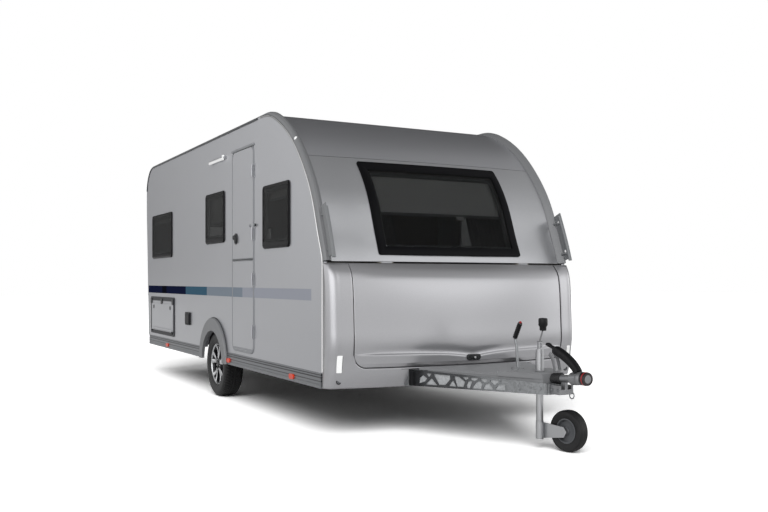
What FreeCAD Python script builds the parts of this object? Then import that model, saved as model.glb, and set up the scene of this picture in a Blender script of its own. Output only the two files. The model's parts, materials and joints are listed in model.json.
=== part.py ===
import FreeCAD, Part
import math
import os

os.makedirs("parts", exist_ok=True)

V = FreeCAD.Vector

# Travel caravan, single axle, standing level on its two road wheels and its jockey wheel.
# All sizes are millimetres. +Z is up, the drawbar points towards -Y and the entrance door
# is on the -X side. Heights are above the floor. Lengths along Y are worked out from the
# wheel axle, and place() moves every piece so that the origin is below the middle of the
# whole length.

# Body shell
BODY_HALF_WIDTH = 1135.0
WALL = 30.0
ROOF_Z = 2578.0
FRONT_EDGE_Y = -2634.0
FRONT_EDGE_TOP_Z = 1285.0
REAR_WALL_Y = 2836.0
REAR_FOOT_Y = 2723.0
REAR_CORNER_R = 330.0
REAR_STRAIGHT_Z = ROOF_Z - REAR_CORNER_R - 218.0
WALL_FOOT_Z = 470.0
FLOOR_Z = 490.0
FLOOR_THICK = 45.0
PANEL_BOW = 0.057
PANEL_BOW_HALF = BODY_HALF_WIDTH - 73.0
PANEL_BOW_FADE = 578.0
PIN_FIT = 0.06
SEAM_Z = ROOF_Z - 438.0
SEAM_GAP = 3.0
PANEL_FOOT_Z = 1300.0
GAP = 5.0
SEAT = 0.3

# Front locker
LID_SIDE = 163.0
LID_HALF_WIDTH = BODY_HALF_WIDTH - LID_SIDE
LID_TOP_Z = 1285.0
LID_FOOT_Z = 515.0
LID_CORNER_R = 70.0
LID_THICK = 28.0
LOCKER_FOOT_Z = 362.0
LID_HINGE_Y = FRONT_EDGE_Y - 66.0
LID_HINGE_Z = 1290.0
LID_HINGE_R = 8.0
LID_PIN_R = 5.0
LID_HINGE_IN = 332.0
LID_HINGE_X = (LID_HINGE_IN - LID_HALF_WIDTH, LID_HALF_WIDTH - LID_HINGE_IN)
LID_HINGE_LENGTH = 90.0
LID_EAR = 10.0
BULKHEAD_Y = FRONT_EDGE_Y + 404.0
SHELF_Z = 1262.0

# Doors and hatches, as (front Y, rear Y, low Z, high Z)
DOOR = (-1144.0, -594.0, 519.0, ROOF_Z - 231.0)
DOOR_SPLIT_Z = 1345.0
DOOR_CORNER_R = 60.0
DOOR_THICK = 30.0
DOOR_PROUD = 5.0
DOOR_HINGE_OUT = 15.0
HATCH = (1490.0, REAR_FOOT_Y - 127.0, 505.0, 958.0)
HATCH_FRAME = 46.0
CASSETTE = (560.0, 960.0, 560.0, 900.0)
CASSETTE_FRAME = 32.0
HATCH_PROUD = 8.0
HATCH_THICK = 28.0
HATCH_HINGE_OUT = 16.0

# Windows, hung from the roof line, in the same form
WINDOW_FRONT_Y = FRONT_EDGE_Y + 637.0
WINDOW_FRONT_LEFT = (WINDOW_FRONT_Y, DOOR[0] - 258.0, ROOF_Z - 1150.0, ROOF_Z - 616.0)
WINDOW_FRONT_RIGHT = (WINDOW_FRONT_Y, -1000.0, ROOF_Z - 1150.0, ROOF_Z - 616.0)
WINDOW_MIDDLE = (-342.0, 254.0, ROOF_Z - 1052.0, ROOF_Z - 552.0)
WINDOW_REAR = (1589.0, REAR_WALL_Y - 329.0, ROOF_Z - 1148.0, ROOF_Z - 622.0)
WINDOW_PROUD = 14.0
WINDOW_THICK = 26.0
WINDOW_CORNER_R = 38.0
WINDOW_LAP = 22.0
FRONT_WINDOW_HALF = 650.0
FRONT_WINDOW_LOW = PANEL_FOOT_Z + 63.0
FRONT_WINDOW_HIGH = SEAM_Z - 42.0
FRONT_WINDOW_R = 45.0
REAR_WINDOW_HALF = 600.0

# Running gear
TYRE_R = 320.0
TYRE_WIDTH = 195.0
TYRE_X = BODY_HALF_WIDTH - 111.0
RIM_R = 205.0
WHEEL_OPENING_R = 342.0
WHEEL_BOX_R = 368.0
WHEEL_BOX_X = BODY_HALF_WIDTH - 230.0
WHEEL_BOX_WALL = 5.0
ARCH_OUTER_R = 437.0
ARCH_INNER_R = 334.0
ARCH_Z = 345.0
ARCH_PROUD = 30.0
ARCH_ROUND = 14.0
AXLE_TUBE = 90.0
TRAIL = 150.0
STUB_R = 22.0
HUB_BORE_R = STUB_R + PIN_FIT
DRUM_R = 125.0

# Drawbar's length ahead of the body's front edge, and the whole reach from the axle
MOULD_LOW = 12.0
DRAWBAR_LENGTH = 1581.0
NOSE = FRONT_EDGE_Y - DRAWBAR_LENGTH
REAR_REACH = REAR_WALL_Y + MOULD_LOW
AXLE_Y = (-NOSE - REAR_REACH) / 2.0

# Chassis
RAIL_X = 545.0
RAIL_THICK = 40.0
RAIL_LOW = 368.0
RAIL_FRONT_Y = FRONT_EDGE_Y - 236.0
RAIL_REAR_Y = REAR_FOOT_Y - 243.0
STEEL = 5.0
CROSS_MEMBER = 60.0
BEAM_NOSE_X = 80.0
BEAM_NOSE_Y = NOSE + 310.0
BEAM_ROOT_Y = RAIL_FRONT_Y + 10.0
BEAM_NOSE_LOW = 394.0
BEAM_NOSE_HIGH = 469.0
BEAM_THICK = 36.0

# Skirts and mouldings
SKIRT_LOW = 355.0
SKIRT_FRONT_Y = FRONT_EDGE_Y + 29.0
SKIRT_REAR_Y = REAR_FOOT_Y - 33.0
SKIRT_THICK = 28.0
SKIRT_GROOVE = 4.0
MOULD_CREST = 44.0
MOULD_WIDTH = 72.0
MOULD_EDGE = 3.0
MOULD_FOOT = 2.0

# Coupling and jockey wheel
COUPLING_BACK_Z = 496.0
COUPLING_NOSE_Z = 528.0
COUPLING_BACK_Y = NOSE + 343.0
BALL_Y = NOSE + 67.0
BALL_R = 25.0
JOCKEY_Y = NOSE + 486.0
JOCKEY_TURN = 8.6
JOCKEY_TRAIL = 188.0
JOCKEY_SIDE = 80.0
JOCKEY_R = 141.0
JOCKEY_WIDTH = 84.0
JOCKEY_HUB_R = 84.0
JOCKEY_OUTER_R = 29.0
JOCKEY_OUTER_WALL = 4.0
JOCKEY_SPIGOT_R = 14.0
JOCKEY_ARM_R = 27.0
JOCKEY_ARM_LOW = 70.0
JOCKEY_ARM_HIGH = 183.0
JOCKEY_ARM_THICK = 12.0
JOCKEY_AXLE_R = 10.0
JOCKEY_COLUMN_TOP = 660.0
JOCKEY_FIT = 0.5
HANDBRAKE_Y = NOSE + 733.0

# Corner steadies
STEADY_LENGTH = 395.0
STEADY_WIDTH = 46.0
STEADY_PIVOT_Z = 395.0
STEADY_X = 700.0
STEADY_FRONT_Y = BULKHEAD_Y
STEADY_REAR_Y = REAR_FOOT_Y - 393.0
STEADY_PAD = 80.0
STEADY_PIN_R = 8.0

# Furniture, rooflights and gas bottles
SEAT_TOP = 960.0
SEAT_DEPTH = 640.0
WORKTOP_Z = 1440.0
KITCHEN_DEPTH = 560.0
BED_TOP = 1060.0
WARDROBE_DEPTH = 640.0
BOARD = 18.0
ROOFLIGHT_HEIGHT = 70.0
ROOFLIGHT_WALL = 8.0
ROOFLIGHT_LAP = 35.0
BOTTLE_R = 150.0
BOTTLE_HEIGHT = 470.0
BOTTLE_SPACING = 360.0
BOTTLE_Y = FRONT_EDGE_Y + 134.0
BOTTLE_STEEL = 5.0

FLOOR_TOP = FLOOR_Z + FLOOR_THICK
WALL_INNER = BODY_HALF_WIDTH - WALL
SIDES = (("left", -1.0), ("right", 1.0))

# Cutting blocks run this far past what they cut, and between these places along Y
OVER = 50.0
FRONT_SPAN = (FRONT_EDGE_Y - 600.0, FRONT_EDGE_Y + 800.0)
REAR_SPAN = (min(REAR_FOOT_Y, REAR_WALL_Y) - 200.0, max(REAR_FOOT_Y, REAR_WALL_Y) + 200.0)


def box(x0, x1, y0, y1, z0, z1):
    """A block between two opposite corners, given in any order."""
    low = V(min(x0, x1), min(y0, y1), min(z0, z1))
    return Part.makeBox(abs(x1 - x0), abs(y1 - y0), abs(z1 - z0), low)


def rod(start, end, radius):
    """A round bar from one point to another."""
    a, b = V(*start), V(*end)
    return Part.makeCylinder(radius, (b - a).Length, a, b - a)


def pipe(start, end, radius, wall):
    """A round tube from one point to another."""
    return rod(start, end, radius).cut(rod(start, end, radius - wall))


def ball(centre, radius):
    return Part.makeSphere(radius, V(*centre))


def join(shapes):
    """All the shapes as one solid, with the seams between coplanar faces removed."""
    result = shapes[0]
    if len(shapes) > 1:
        result = shapes[0].multiFuse(shapes[1:])
    return result.removeSplitter()


def group(shapes):
    """Like solids that don't touch each other, kept apart in one piece."""
    return Part.makeCompound(shapes)


def mirrored(shape):
    """The same shape on the other side of the middle plane."""
    return shape.mirror(V(0, 0, 0), V(1, 0, 0))


def slab_x(points, x0, x1):
    """A polygon in the YZ plane carried along X."""
    low = min(x0, x1)
    wire = Part.makePolygon([V(low, y, z) for y, z in points + points[:1]])
    return Part.Face(wire).extrude(V(abs(x1 - x0), 0, 0))


def slab_y(points, y0, y1):
    """A polygon in the XZ plane carried along Y."""
    low = min(y0, y1)
    wire = Part.makePolygon([V(x, low, z) for x, z in points + points[:1]])
    return Part.Face(wire).extrude(V(0, abs(y1 - y0), 0))


def slab_z(points, z0, z1):
    """A polygon in the XY plane carried along Z."""
    low = min(z0, z1)
    wire = Part.makePolygon([V(x, y, low) for x, y in points + points[:1]])
    return Part.Face(wire).extrude(V(0, 0, abs(z1 - z0)))


def rounded(shape, direction, radius):
    """The shape with its straight edges along one direction rounded."""
    edges = []
    for edge in shape.Edges:
        if len(edge.Vertexes) == 2 and isinstance(edge.Curve, Part.Line):
            run = edge.Vertexes[1].Point - edge.Vertexes[0].Point
            if abs(run.normalize().dot(V(*direction))) > 0.999:
                edges.append(edge)
    return shape.makeFillet(radius, edges)


def plate_x(area, x0, x1, radius):
    """A panel with rounded corners, of (front Y, rear Y, low Z, high Z), carried along X."""
    y0, y1, z0, z1 = area
    return rounded(box(x0, x1, y0, y1, z0, z1), (1, 0, 0), radius)


def grown(area, by):
    """An area made larger by one distance on all four sides."""
    y0, y1, z0, z1 = area
    return (y0 - by, y1 + by, z0 - by, z1 + by)


def turned(shape, centre, axis, degrees):
    """A copy of the shape, turned about an axis through a point."""
    copy = shape.copy()
    copy.rotate(V(*centre), V(*axis), degrees)
    return copy


def place(shape, node):
    """Moves a piece from the axle's frame to the origin below the middle, and writes it."""
    moved = shape.copy()
    moved.translate(V(0, AXLE_Y, 0))
    moved.exportStep("parts/" + node + ".step")


# Side profile of the body: a straight front edge, a long arch over the front, a flat roof,
# a round rear corner and a rear edge that leans forward at its foot.
ARCH_RISE = ROOF_Z - FRONT_EDGE_TOP_Z
ARCH_STEPS = [(0.0, 0.0), (52.0, 0.1168), (192.0, 0.3867), (402.0, 0.628), (691.0, 0.8345), (928.0, 0.9381),
              (1334.0, 1.0)]
ARCH_POINTS = [(FRONT_EDGE_Y + back, FRONT_EDGE_TOP_Z + ARCH_RISE * share) for back, share in ARCH_STEPS]
ARCH_LEAN = 0.12


def arch_curve():
    """The front arch as one smooth curve, upright at its foot and level at the roof."""
    curve = Part.BSplineCurve()
    points = [V(0, y, z) for y, z in ARCH_POINTS]
    curve.interpolate(Points=points, InitialTangent=V(0, ARCH_LEAN, 1), FinalTangent=V(0, 1, 0))
    return curve


ARCH = arch_curve()


def arch_samples(low_z, high_z, count):
    """Points and outward normals on the arch between two heights, evenly along the curve."""
    first = ARCH.parameter(V(0, arch_y(low_z), low_z))
    last = ARCH.parameter(V(0, arch_y(high_z), high_z))
    samples = []
    for i in range(count):
        u = first + (last - first) * i / (count - 1)
        point = ARCH.value(u)
        along = ARCH.tangent(u)[0]
        samples.append((point.y, point.z, -along.z, along.y))
    return samples


def arch_y(height):
    """Where the arch is at one height, found by halving the curve's parameter range."""
    low, high = ARCH.FirstParameter, ARCH.LastParameter
    for _ in range(40):
        middle = (low + high) / 2.0
        if ARCH.value(middle).z < height:
            low = middle
        else:
            high = middle
    return ARCH.value(low).y


def bow(x, z):
    """How far the front stands forward at one width, fading out towards the roof."""
    across = PANEL_BOW * (PANEL_BOW_HALF ** 2 - min(abs(x), PANEL_BOW_HALF) ** 2) / 1000.0
    return across * min(1.0, max(0.0, (ROOF_Z - z) / PANEL_BOW_FADE))


def rear_y(height):
    """The straight rear edge at one height."""
    share = (height - WALL_FOOT_Z) / (REAR_STRAIGHT_Z - WALL_FOOT_Z)
    return REAR_FOOT_Y + (REAR_WALL_Y - REAR_FOOT_Y) * min(1.0, max(0.0, share))


REAR_CORNER_Z = ROOF_Z - REAR_CORNER_R
DIAGONAL = math.sqrt(0.5)


def curve_edge(points):
    """A smooth edge through points given as vectors."""
    curve = Part.BSplineCurve()
    curve.interpolate(points)
    return curve.toShape()


def body_outline(x):
    """The closed side outline at one width, as a face in the YZ plane."""
    def at(y, z):
        return V(x, y, z)

    arch = ARCH.toShape()
    arch.translate(V(x, 0, 0))
    centre_y = REAR_WALL_Y - REAR_CORNER_R
    middle = at(centre_y + REAR_CORNER_R * DIAGONAL, REAR_CORNER_Z + REAR_CORNER_R * DIAGONAL)
    edges = [
        Part.makeLine(at(FRONT_EDGE_Y, WALL_FOOT_Z), at(FRONT_EDGE_Y, FRONT_EDGE_TOP_Z)),
        arch,
        Part.makeLine(at(ARCH_POINTS[-1][0], ROOF_Z), at(centre_y, ROOF_Z)),
        Part.Arc(at(centre_y, ROOF_Z), middle, at(REAR_WALL_Y, REAR_CORNER_Z)).toShape(),
        Part.makeLine(at(REAR_WALL_Y, REAR_CORNER_Z), at(REAR_WALL_Y, REAR_STRAIGHT_Z)),
        Part.makeLine(at(REAR_WALL_Y, REAR_STRAIGHT_Z), at(REAR_FOOT_Y, WALL_FOOT_Z)),
        Part.makeLine(at(REAR_FOOT_Y, WALL_FOOT_Z), at(FRONT_EDGE_Y, WALL_FOOT_Z)),
    ]
    return Part.Face(Part.Wire(edges))


HALF_STATIONS = [0.36 * WALL_INNER, 0.72 * WALL_INNER, PANEL_BOW_HALF, WALL_INNER]
WIDTH_STATIONS = [-x for x in HALF_STATIONS[::-1]] + [0.0] + HALF_STATIONS


def front_shell(low_z, high_z, thick, count, rear_parts=None):
    """A curved shell between the side walls, lofted from one section at each width."""
    samples = arch_samples(low_z, high_z, count)
    wires = []
    for x in WIDTH_STATIONS:
        outer, inner = [], []
        for y, z, ny, nz in samples:
            forward = bow(x, z)
            outer.append(V(x, y - forward, z))
            inner.append(V(x, y - forward - ny * thick, z - nz * thick))
        edges = [curve_edge(outer)]
        if rear_parts:
            edges += rear_parts(x, outer[-1], inner[-1])
        else:
            edges.append(Part.makeLine(outer[-1], inner[-1]))
        edges.append(curve_edge(inner[::-1]))
        edges.append(Part.makeLine(inner[0], outer[0]))
        wires.append(Part.Wire(edges))
    return Part.makeLoft(wires, True)


def roof_rear(x, outer_end, inner_end):
    """The flat roof and its round rear corner, out along the top and back below it."""
    centre_y = REAR_WALL_Y - REAR_CORNER_R
    inner_r = REAR_CORNER_R - WALL
    inner_z = ROOF_Z - WALL

    def corner(radius):
        middle = V(x, centre_y + radius * DIAGONAL, REAR_CORNER_Z + radius * DIAGONAL)
        start = V(x, centre_y, REAR_CORNER_Z + radius)
        end = V(x, centre_y + radius, REAR_CORNER_Z)
        return start, middle, end

    start, middle, end = corner(REAR_CORNER_R)
    start_in, middle_in, end_in = corner(inner_r)
    start_in.z = inner_z
    return [
        Part.makeLine(outer_end, start),
        Part.Arc(start, middle, end).toShape(),
        Part.makeLine(end, end_in),
        Part.Arc(end_in, middle_in, start_in).toShape(),
        Part.makeLine(start_in, inner_end),
    ]


# Side walls, with the door, window, hatch and wheel openings cut through.
LEFT_WINDOWS = [WINDOW_FRONT_LEFT, WINDOW_MIDDLE, WINDOW_REAR]
RIGHT_WINDOWS = [WINDOW_FRONT_RIGHT, WINDOW_MIDDLE, WINDOW_REAR]
WINDOW_CUT = WINDOW_LAP + SEAT
HATCH_HOLE_R = 12.0


def side_wall(side, windows, hatch, hatch_frame):
    inner = side * WALL_INNER
    wall = body_outline(min(inner, side * BODY_HALF_WIDTH)).extrude(V(WALL, 0, 0))
    reach_in, reach_out = side * (WALL_INNER - OVER), side * (BODY_HALF_WIDTH + OVER)
    for area in windows:
        hole = grown(area, -WINDOW_CUT)
        wall = wall.cut(plate_x(hole, reach_in, reach_out, WINDOW_CORNER_R))
    flap_hole = grown(hatch, -hatch_frame)
    wall = wall.cut(plate_x(flap_hole, reach_in, reach_out, HATCH_HOLE_R))
    wheel = rod((reach_in, 0, TYRE_R), (reach_out, 0, TYRE_R), WHEEL_OPENING_R)
    wall = wall.cut(wheel)
    if side < 0:
        wall = wall.cut(plate_x(grown(DOOR, GAP), reach_in, reach_out, DOOR_CORNER_R + GAP))
    return wall


walls = {
    -1.0: side_wall(-1.0, LEFT_WINDOWS, HATCH, HATCH_FRAME),
    1.0: side_wall(1.0, RIGHT_WINDOWS, CASSETTE, CASSETTE_FRAME),
}
for name, side in SIDES:
    place(walls[side], "side_wall_" + name)

# Roof from the front seam to the rear corner.
roof = front_shell(SEAM_Z, ROOF_Z - 0.01, WALL, 12, roof_rear)
ROOFLIGHTS = [(-300.0, -350.0, 600.0, 500.0), (0.0, 1700.0, 400.0, 400.0)]
ROOFLIGHT_HOLE_R = 40.0
for centre_x, centre_y, length, width in ROOFLIGHTS:
    cut = box(centre_x - width / 2.0, centre_x + width / 2.0, centre_y - length / 2.0,
              centre_y + length / 2.0, ROOF_Z - 2.0 * WALL, ROOF_Z + WALL)
    roof = roof.cut(rounded(cut, (0, 0, 1), ROOFLIGHT_HOLE_R))
place(roof, "roof_panel")

# Front panel from the locker up to the seam, with the front window's opening.
panel = front_shell(PANEL_FOOT_Z, SEAM_Z - SEAM_GAP, WALL, 9)


def front_window_prism(shrink):
    """The front window's outline, drawn from the front and carried through the panel."""
    half = FRONT_WINDOW_HALF - shrink
    low, high = FRONT_WINDOW_LOW + shrink, FRONT_WINDOW_HIGH - shrink
    block = box(-half, half, FRONT_SPAN[0], FRONT_SPAN[1], low, high)
    return rounded(block, (0, 1, 0), FRONT_WINDOW_R)


front_panel = panel.cut(front_window_prism(WINDOW_CUT))
place(front_panel, "front_panel")

# Front window: a bowed acrylic pane that laps the panel, and its rebate in the opening.
WINDOW_BAND = (PANEL_FOOT_Z + 20.0, SEAM_Z - 20.0)
PLUG_LAP = WINDOW_LAP + 2.0
PLUG_BITE = 1.0
pane = front_shell(WINDOW_BAND[0], WINDOW_BAND[1], -WINDOW_PROUD, 9)
pane.translate(V(0, -SEAT, 0))
pane = pane.common(front_window_prism(0.0))
plug = front_shell(WINDOW_BAND[0], WINDOW_BAND[1], WALL, 9).common(front_window_prism(PLUG_LAP))
plug.translate(V(0, -SEAT - PLUG_BITE, 0))
place(join([pane, plug]).cut(front_panel), "front_window")

# Rear wall with its window opening.
rear_points = [
    (rear_y(WALL_FOOT_Z), WALL_FOOT_Z),
    (REAR_WALL_Y, REAR_STRAIGHT_Z),
    (REAR_WALL_Y, REAR_CORNER_Z),
    (REAR_WALL_Y - WALL, REAR_CORNER_Z),
    (REAR_WALL_Y - WALL, REAR_STRAIGHT_Z),
    (rear_y(WALL_FOOT_Z) - WALL, WALL_FOOT_Z),
]
rear_wall = slab_x(rear_points, -WALL_INNER, WALL_INNER)


def rear_prism(shrink):
    """The rear window's outline, carried through the leaning rear wall."""
    half = REAR_WINDOW_HALF - shrink
    block = box(-half, half, REAR_SPAN[0], REAR_SPAN[1], WINDOW_REAR[2] + shrink, WINDOW_REAR[3] - shrink)
    return rounded(block, (0, 1, 0), WINDOW_CORNER_R)


rear_wall = rear_wall.cut(rear_prism(WINDOW_CUT))
place(rear_wall, "rear_wall")


def rear_layer(inside, outside):
    """A sheet parallel to the rear wall's lower, leaning part."""
    low, high = WALL_FOOT_Z, REAR_STRAIGHT_Z
    points = [
        (rear_y(low) + inside, low),
        (rear_y(high) + inside, high),
        (rear_y(high) + outside, high),
        (rear_y(low) + outside, low),
    ]
    return slab_x(points, -WALL_INNER, WALL_INNER)


rear_pane = rear_layer(SEAT, WINDOW_PROUD).common(rear_prism(0.0))
rear_plug = rear_layer(WINDOW_PROUD - WINDOW_THICK, SEAT + PLUG_BITE).common(rear_prism(PLUG_LAP))
place(join([rear_pane, rear_plug]), "rear_window")


def side_window(side, area):
    """A hinged acrylic window: a pane that laps the wall and a thinner body in the opening."""
    face = BODY_HALF_WIDTH + SEAT
    outer = plate_x(area, side * face, side * (BODY_HALF_WIDTH + WINDOW_PROUD), WINDOW_CORNER_R)
    inner_area = grown(area, -PLUG_LAP)
    back = BODY_HALF_WIDTH + WINDOW_PROUD - WINDOW_THICK
    inner = plate_x(inner_area, side * back, side * (face + PLUG_BITE), WINDOW_CORNER_R - 2.0)
    return join([outer, inner])


place(group([side_window(-1.0, area) for area in LEFT_WINDOWS]), "windows_left")
place(group([side_window(1.0, area) for area in RIGHT_WINDOWS]), "windows_right")

# Floor between the walls, with a wheel box over each wheel.
floor = box(-WALL_INNER, WALL_INNER, BULKHEAD_Y - WALL, rear_y(FLOOR_Z) - WALL, FLOOR_Z, FLOOR_TOP)
for name, side in SIDES:
    inboard, outboard = side * (WHEEL_BOX_X - WHEEL_BOX_WALL), side * WALL_INNER
    hood = rod((inboard, 0, TYRE_R), (outboard, 0, TYRE_R), WHEEL_BOX_R + WHEEL_BOX_WALL)
    hood = hood.common(box(inboard, outboard, -2 * WHEEL_BOX_R, 2 * WHEEL_BOX_R, FLOOR_Z, 4 * TYRE_R))
    floor = floor.fuse(hood)
for name, side in SIDES:
    inboard, outboard = side * WHEEL_BOX_X, side * (WALL_INNER + OVER)
    floor = floor.cut(rod((inboard, 0, TYRE_R), (outboard, 0, TYRE_R), WHEEL_BOX_R))
place(floor.removeSplitter(), "floor_panel")

# Front bulkhead: the cabin's front wall behind the locker, with the shelf over it.
bulkhead = join([
    box(-WALL_INNER, WALL_INNER, BULKHEAD_Y - WALL, BULKHEAD_Y, FLOOR_TOP, SHELF_Z + WALL),
    box(-WALL_INNER, WALL_INNER, FRONT_EDGE_Y + 40.0, BULKHEAD_Y, SHELF_Z, SHELF_Z + WALL),
])
EAR_ROOT_Y = FRONT_EDGE_Y + 45.0
EAR_CLEAR = 1.0
ears = []
for x in LID_HINGE_X:
    for edge in (-1.0, 1.0):
        near = x + edge * (LID_HINGE_LENGTH / 2.0 + EAR_CLEAR)
        ear = slab_x([(EAR_ROOT_Y, SHELF_Z), (EAR_ROOT_Y, LID_HINGE_Z + 2.0),
                      (LID_HINGE_Y, LID_HINGE_Z + 4.0), (LID_HINGE_Y, LID_HINGE_Z - LID_PIN_R - 2.0)],
                     near, near + edge * LID_EAR)
        ears.append(ear)
    reach = LID_HINGE_LENGTH / 2.0 + EAR_CLEAR + LID_EAR
    ears.append(rod((x - reach, LID_HINGE_Y, LID_HINGE_Z), (x + reach, LID_HINGE_Y, LID_HINGE_Z), LID_PIN_R))
place(join([bulkhead] + ears), "front_bulkhead")

# Front locker's outer skin. Its section leans forward from the ledge under the front panel
# to a soft crease and tucks back at its foot; in plan it bows forward and rounds the corners.
SKIN_STEPS = [(LOCKER_FOOT_Z, 94.0, 0.100), (450.0, 134.0, 0.128), (560.0, 150.0, 0.134),
              (640.0, 163.0, 0.134), (800.0, 162.0, 0.132), (1000.0, 152.0, 0.128), (1130.0, 140.0, 0.120),
              (1205.0, 122.0, 0.106), (1255.0, 88.0, 0.080), (LID_TOP_Z, 56.0, 0.060)]
SKIN_SECTION = [(z, FRONT_EDGE_Y - ahead, curve) for z, ahead, curve in SKIN_STEPS]
CORNER_START = LID_HALF_WIDTH + 4.0
CORNER_WIDTH = BODY_HALF_WIDTH - CORNER_START
CORNER_POWER = 2.6


def skin_y(x, base, curve):
    """The locker skin's place along Y at one width of one level of its section."""
    half = abs(x)
    if half <= CORNER_START:
        return base - curve * (CORNER_START ** 2 - half ** 2) / 1000.0
    share = (half - CORNER_START) / CORNER_WIDTH
    slope = 2.0 * curve * CORNER_START / 1000.0 * CORNER_WIDTH
    drop = FRONT_EDGE_Y - base
    return base + slope * share + (drop - slope) * share ** CORNER_POWER


SKIN_STATIONS = [CORNER_START * share for share in (0.0, 0.256, 0.512, 0.768, 0.922, 1.0)]
SKIN_STATIONS += [CORNER_START + CORNER_WIDTH * share for share in (0.34, 0.62, 0.81, 0.937)]
SKIN_STATIONS.append(BODY_HALF_WIDTH - SEAT)


def locker_skin():
    wires = []
    for x in [-s for s in SKIN_STATIONS[:0:-1]] + SKIN_STATIONS:
        outer = [V(x, skin_y(x, base, curve), z) for z, base, curve in SKIN_SECTION]
        inner = [V(x, point.y + LID_THICK, point.z) for point in outer]
        wires.append(Part.Wire([
            curve_edge(outer),
            Part.makeLine(outer[-1], inner[-1]),
            curve_edge(inner[::-1]),
            Part.makeLine(inner[0], outer[0]),
        ]))
    return Part.makeLoft(wires, True)


skin = locker_skin()


def lid_prism(grow):
    """The lid's outline from the front, open at the top, with two round lower corners."""
    half = LID_HALF_WIDTH + grow
    top = LID_TOP_Z + 100.0
    block = box(-half, half, FRONT_SPAN[0], FRONT_SPAN[1], LID_FOOT_Z - grow, top + LID_CORNER_R)
    block = rounded(block, (0, 1, 0), LID_CORNER_R + grow)
    return block.common(box(-half, half, FRONT_SPAN[0], FRONT_SPAN[1], LID_FOOT_Z - grow, top))




def hinge_rod(x0, x1, radius):
    """A round bar along the lid's hinge line."""
    return rod((x0, LID_HINGE_Y, LID_HINGE_Z), (x1, LID_HINGE_Y, LID_HINGE_Z), radius)


EAR_ROOM = 4.0
EAR_ROOM_R = LID_HINGE_R + 7.0
lid = skin.common(lid_prism(0.0))
half = LID_HINGE_LENGTH / 2.0
for x in LID_HINGE_X:
    for edge in (-1.0, 1.0):
        lid = lid.cut(hinge_rod(x + edge * half, x + edge * (half + LID_EAR + EAR_ROOM), EAR_ROOM_R))
lid = join([lid] + [hinge_rod(x - half, x + half, LID_HINGE_R) for x in LID_HINGE_X])
for x in LID_HINGE_X:
    lid = lid.cut(hinge_rod(x - LID_HINGE_LENGTH, x + LID_HINGE_LENGTH, LID_PIN_R + PIN_FIT))
place(lid, "locker_lid")
surround = skin.cut(lid_prism(GAP))
DRAWBAR_CUT_TOP = FLOOR_Z + 13.0
DRAWBAR_CUT_FOOT = LOCKER_FOOT_Z - 20.0
DRAWBAR_CUT = [(-RAIL_X - 55.0, DRAWBAR_CUT_FOOT), (5.0 - RAIL_X, DRAWBAR_CUT_TOP),
               (RAIL_X - 5.0, DRAWBAR_CUT_TOP), (RAIL_X + 55.0, DRAWBAR_CUT_FOOT)]
surround = surround.cut(slab_y(DRAWBAR_CUT, FRONT_SPAN[0], FRONT_SPAN[1]))
for name, side in SIDES:
    surround = surround.cut(box(side * (WALL_INNER - SEAT), side * (BODY_HALF_WIDTH + OVER),
                                FRONT_EDGE_Y - SEAT, FRONT_SPAN[1], 0.0, ROOF_Z))

# Behind the skin a cheek stands beside the lid on each side, with a tray between them. Their
# front edges follow the skin and end inside its thickness.
TRAY_Z = LID_FOOT_Z - GAP
TRAY_THICK = 12.0
CHEEK_INNER = LID_HALF_WIDTH + 14.0
CHEEK_OUTER = LID_HALF_WIDTH + 40.0
CHEEK_TOP = SHELF_Z - SEAT
LOCKER_BACK = BULKHEAD_Y - WALL - SEAT


def skin_middle(x, z):
    """The middle of the skin's thickness at one width and height."""
    for (z0, base0, curve0), (z1, base1, curve1) in zip(SKIN_SECTION, SKIN_SECTION[1:]):
        if z0 <= z <= z1:
            share = (z - z0) / (z1 - z0)
            base = base0 + (base1 - base0) * share
            curve = curve0 + (curve1 - curve0) * share
            return skin_y(x, base, curve) + LID_THICK / 2.0


tray_low = TRAY_Z - TRAY_THICK
cheek_levels = [tray_low] + [z for z, _, _ in SKIN_SECTION if tray_low < z < CHEEK_TOP] + [CHEEK_TOP]
cheek_side = [(skin_middle(CHEEK_OUTER, z), z) for z in cheek_levels]
cheek_side += [(LOCKER_BACK, CHEEK_TOP), (LOCKER_BACK, tray_low)]
tray_widths = [x for x in SKIN_STATIONS if x < CHEEK_OUTER] + [CHEEK_OUTER]
tray_front = [(x, skin_middle(x, tray_low)) for x in [-w for w in tray_widths[:0:-1]] + tray_widths]
tray = slab_z(tray_front + [(CHEEK_OUTER, LOCKER_BACK), (-CHEEK_OUTER, LOCKER_BACK)], tray_low, TRAY_Z)
returns = [slab_x(cheek_side, side * CHEEK_INNER, side * CHEEK_OUTER) for name, side in SIDES]
place(join([surround, tray] + returns), "locker_surround")

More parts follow.
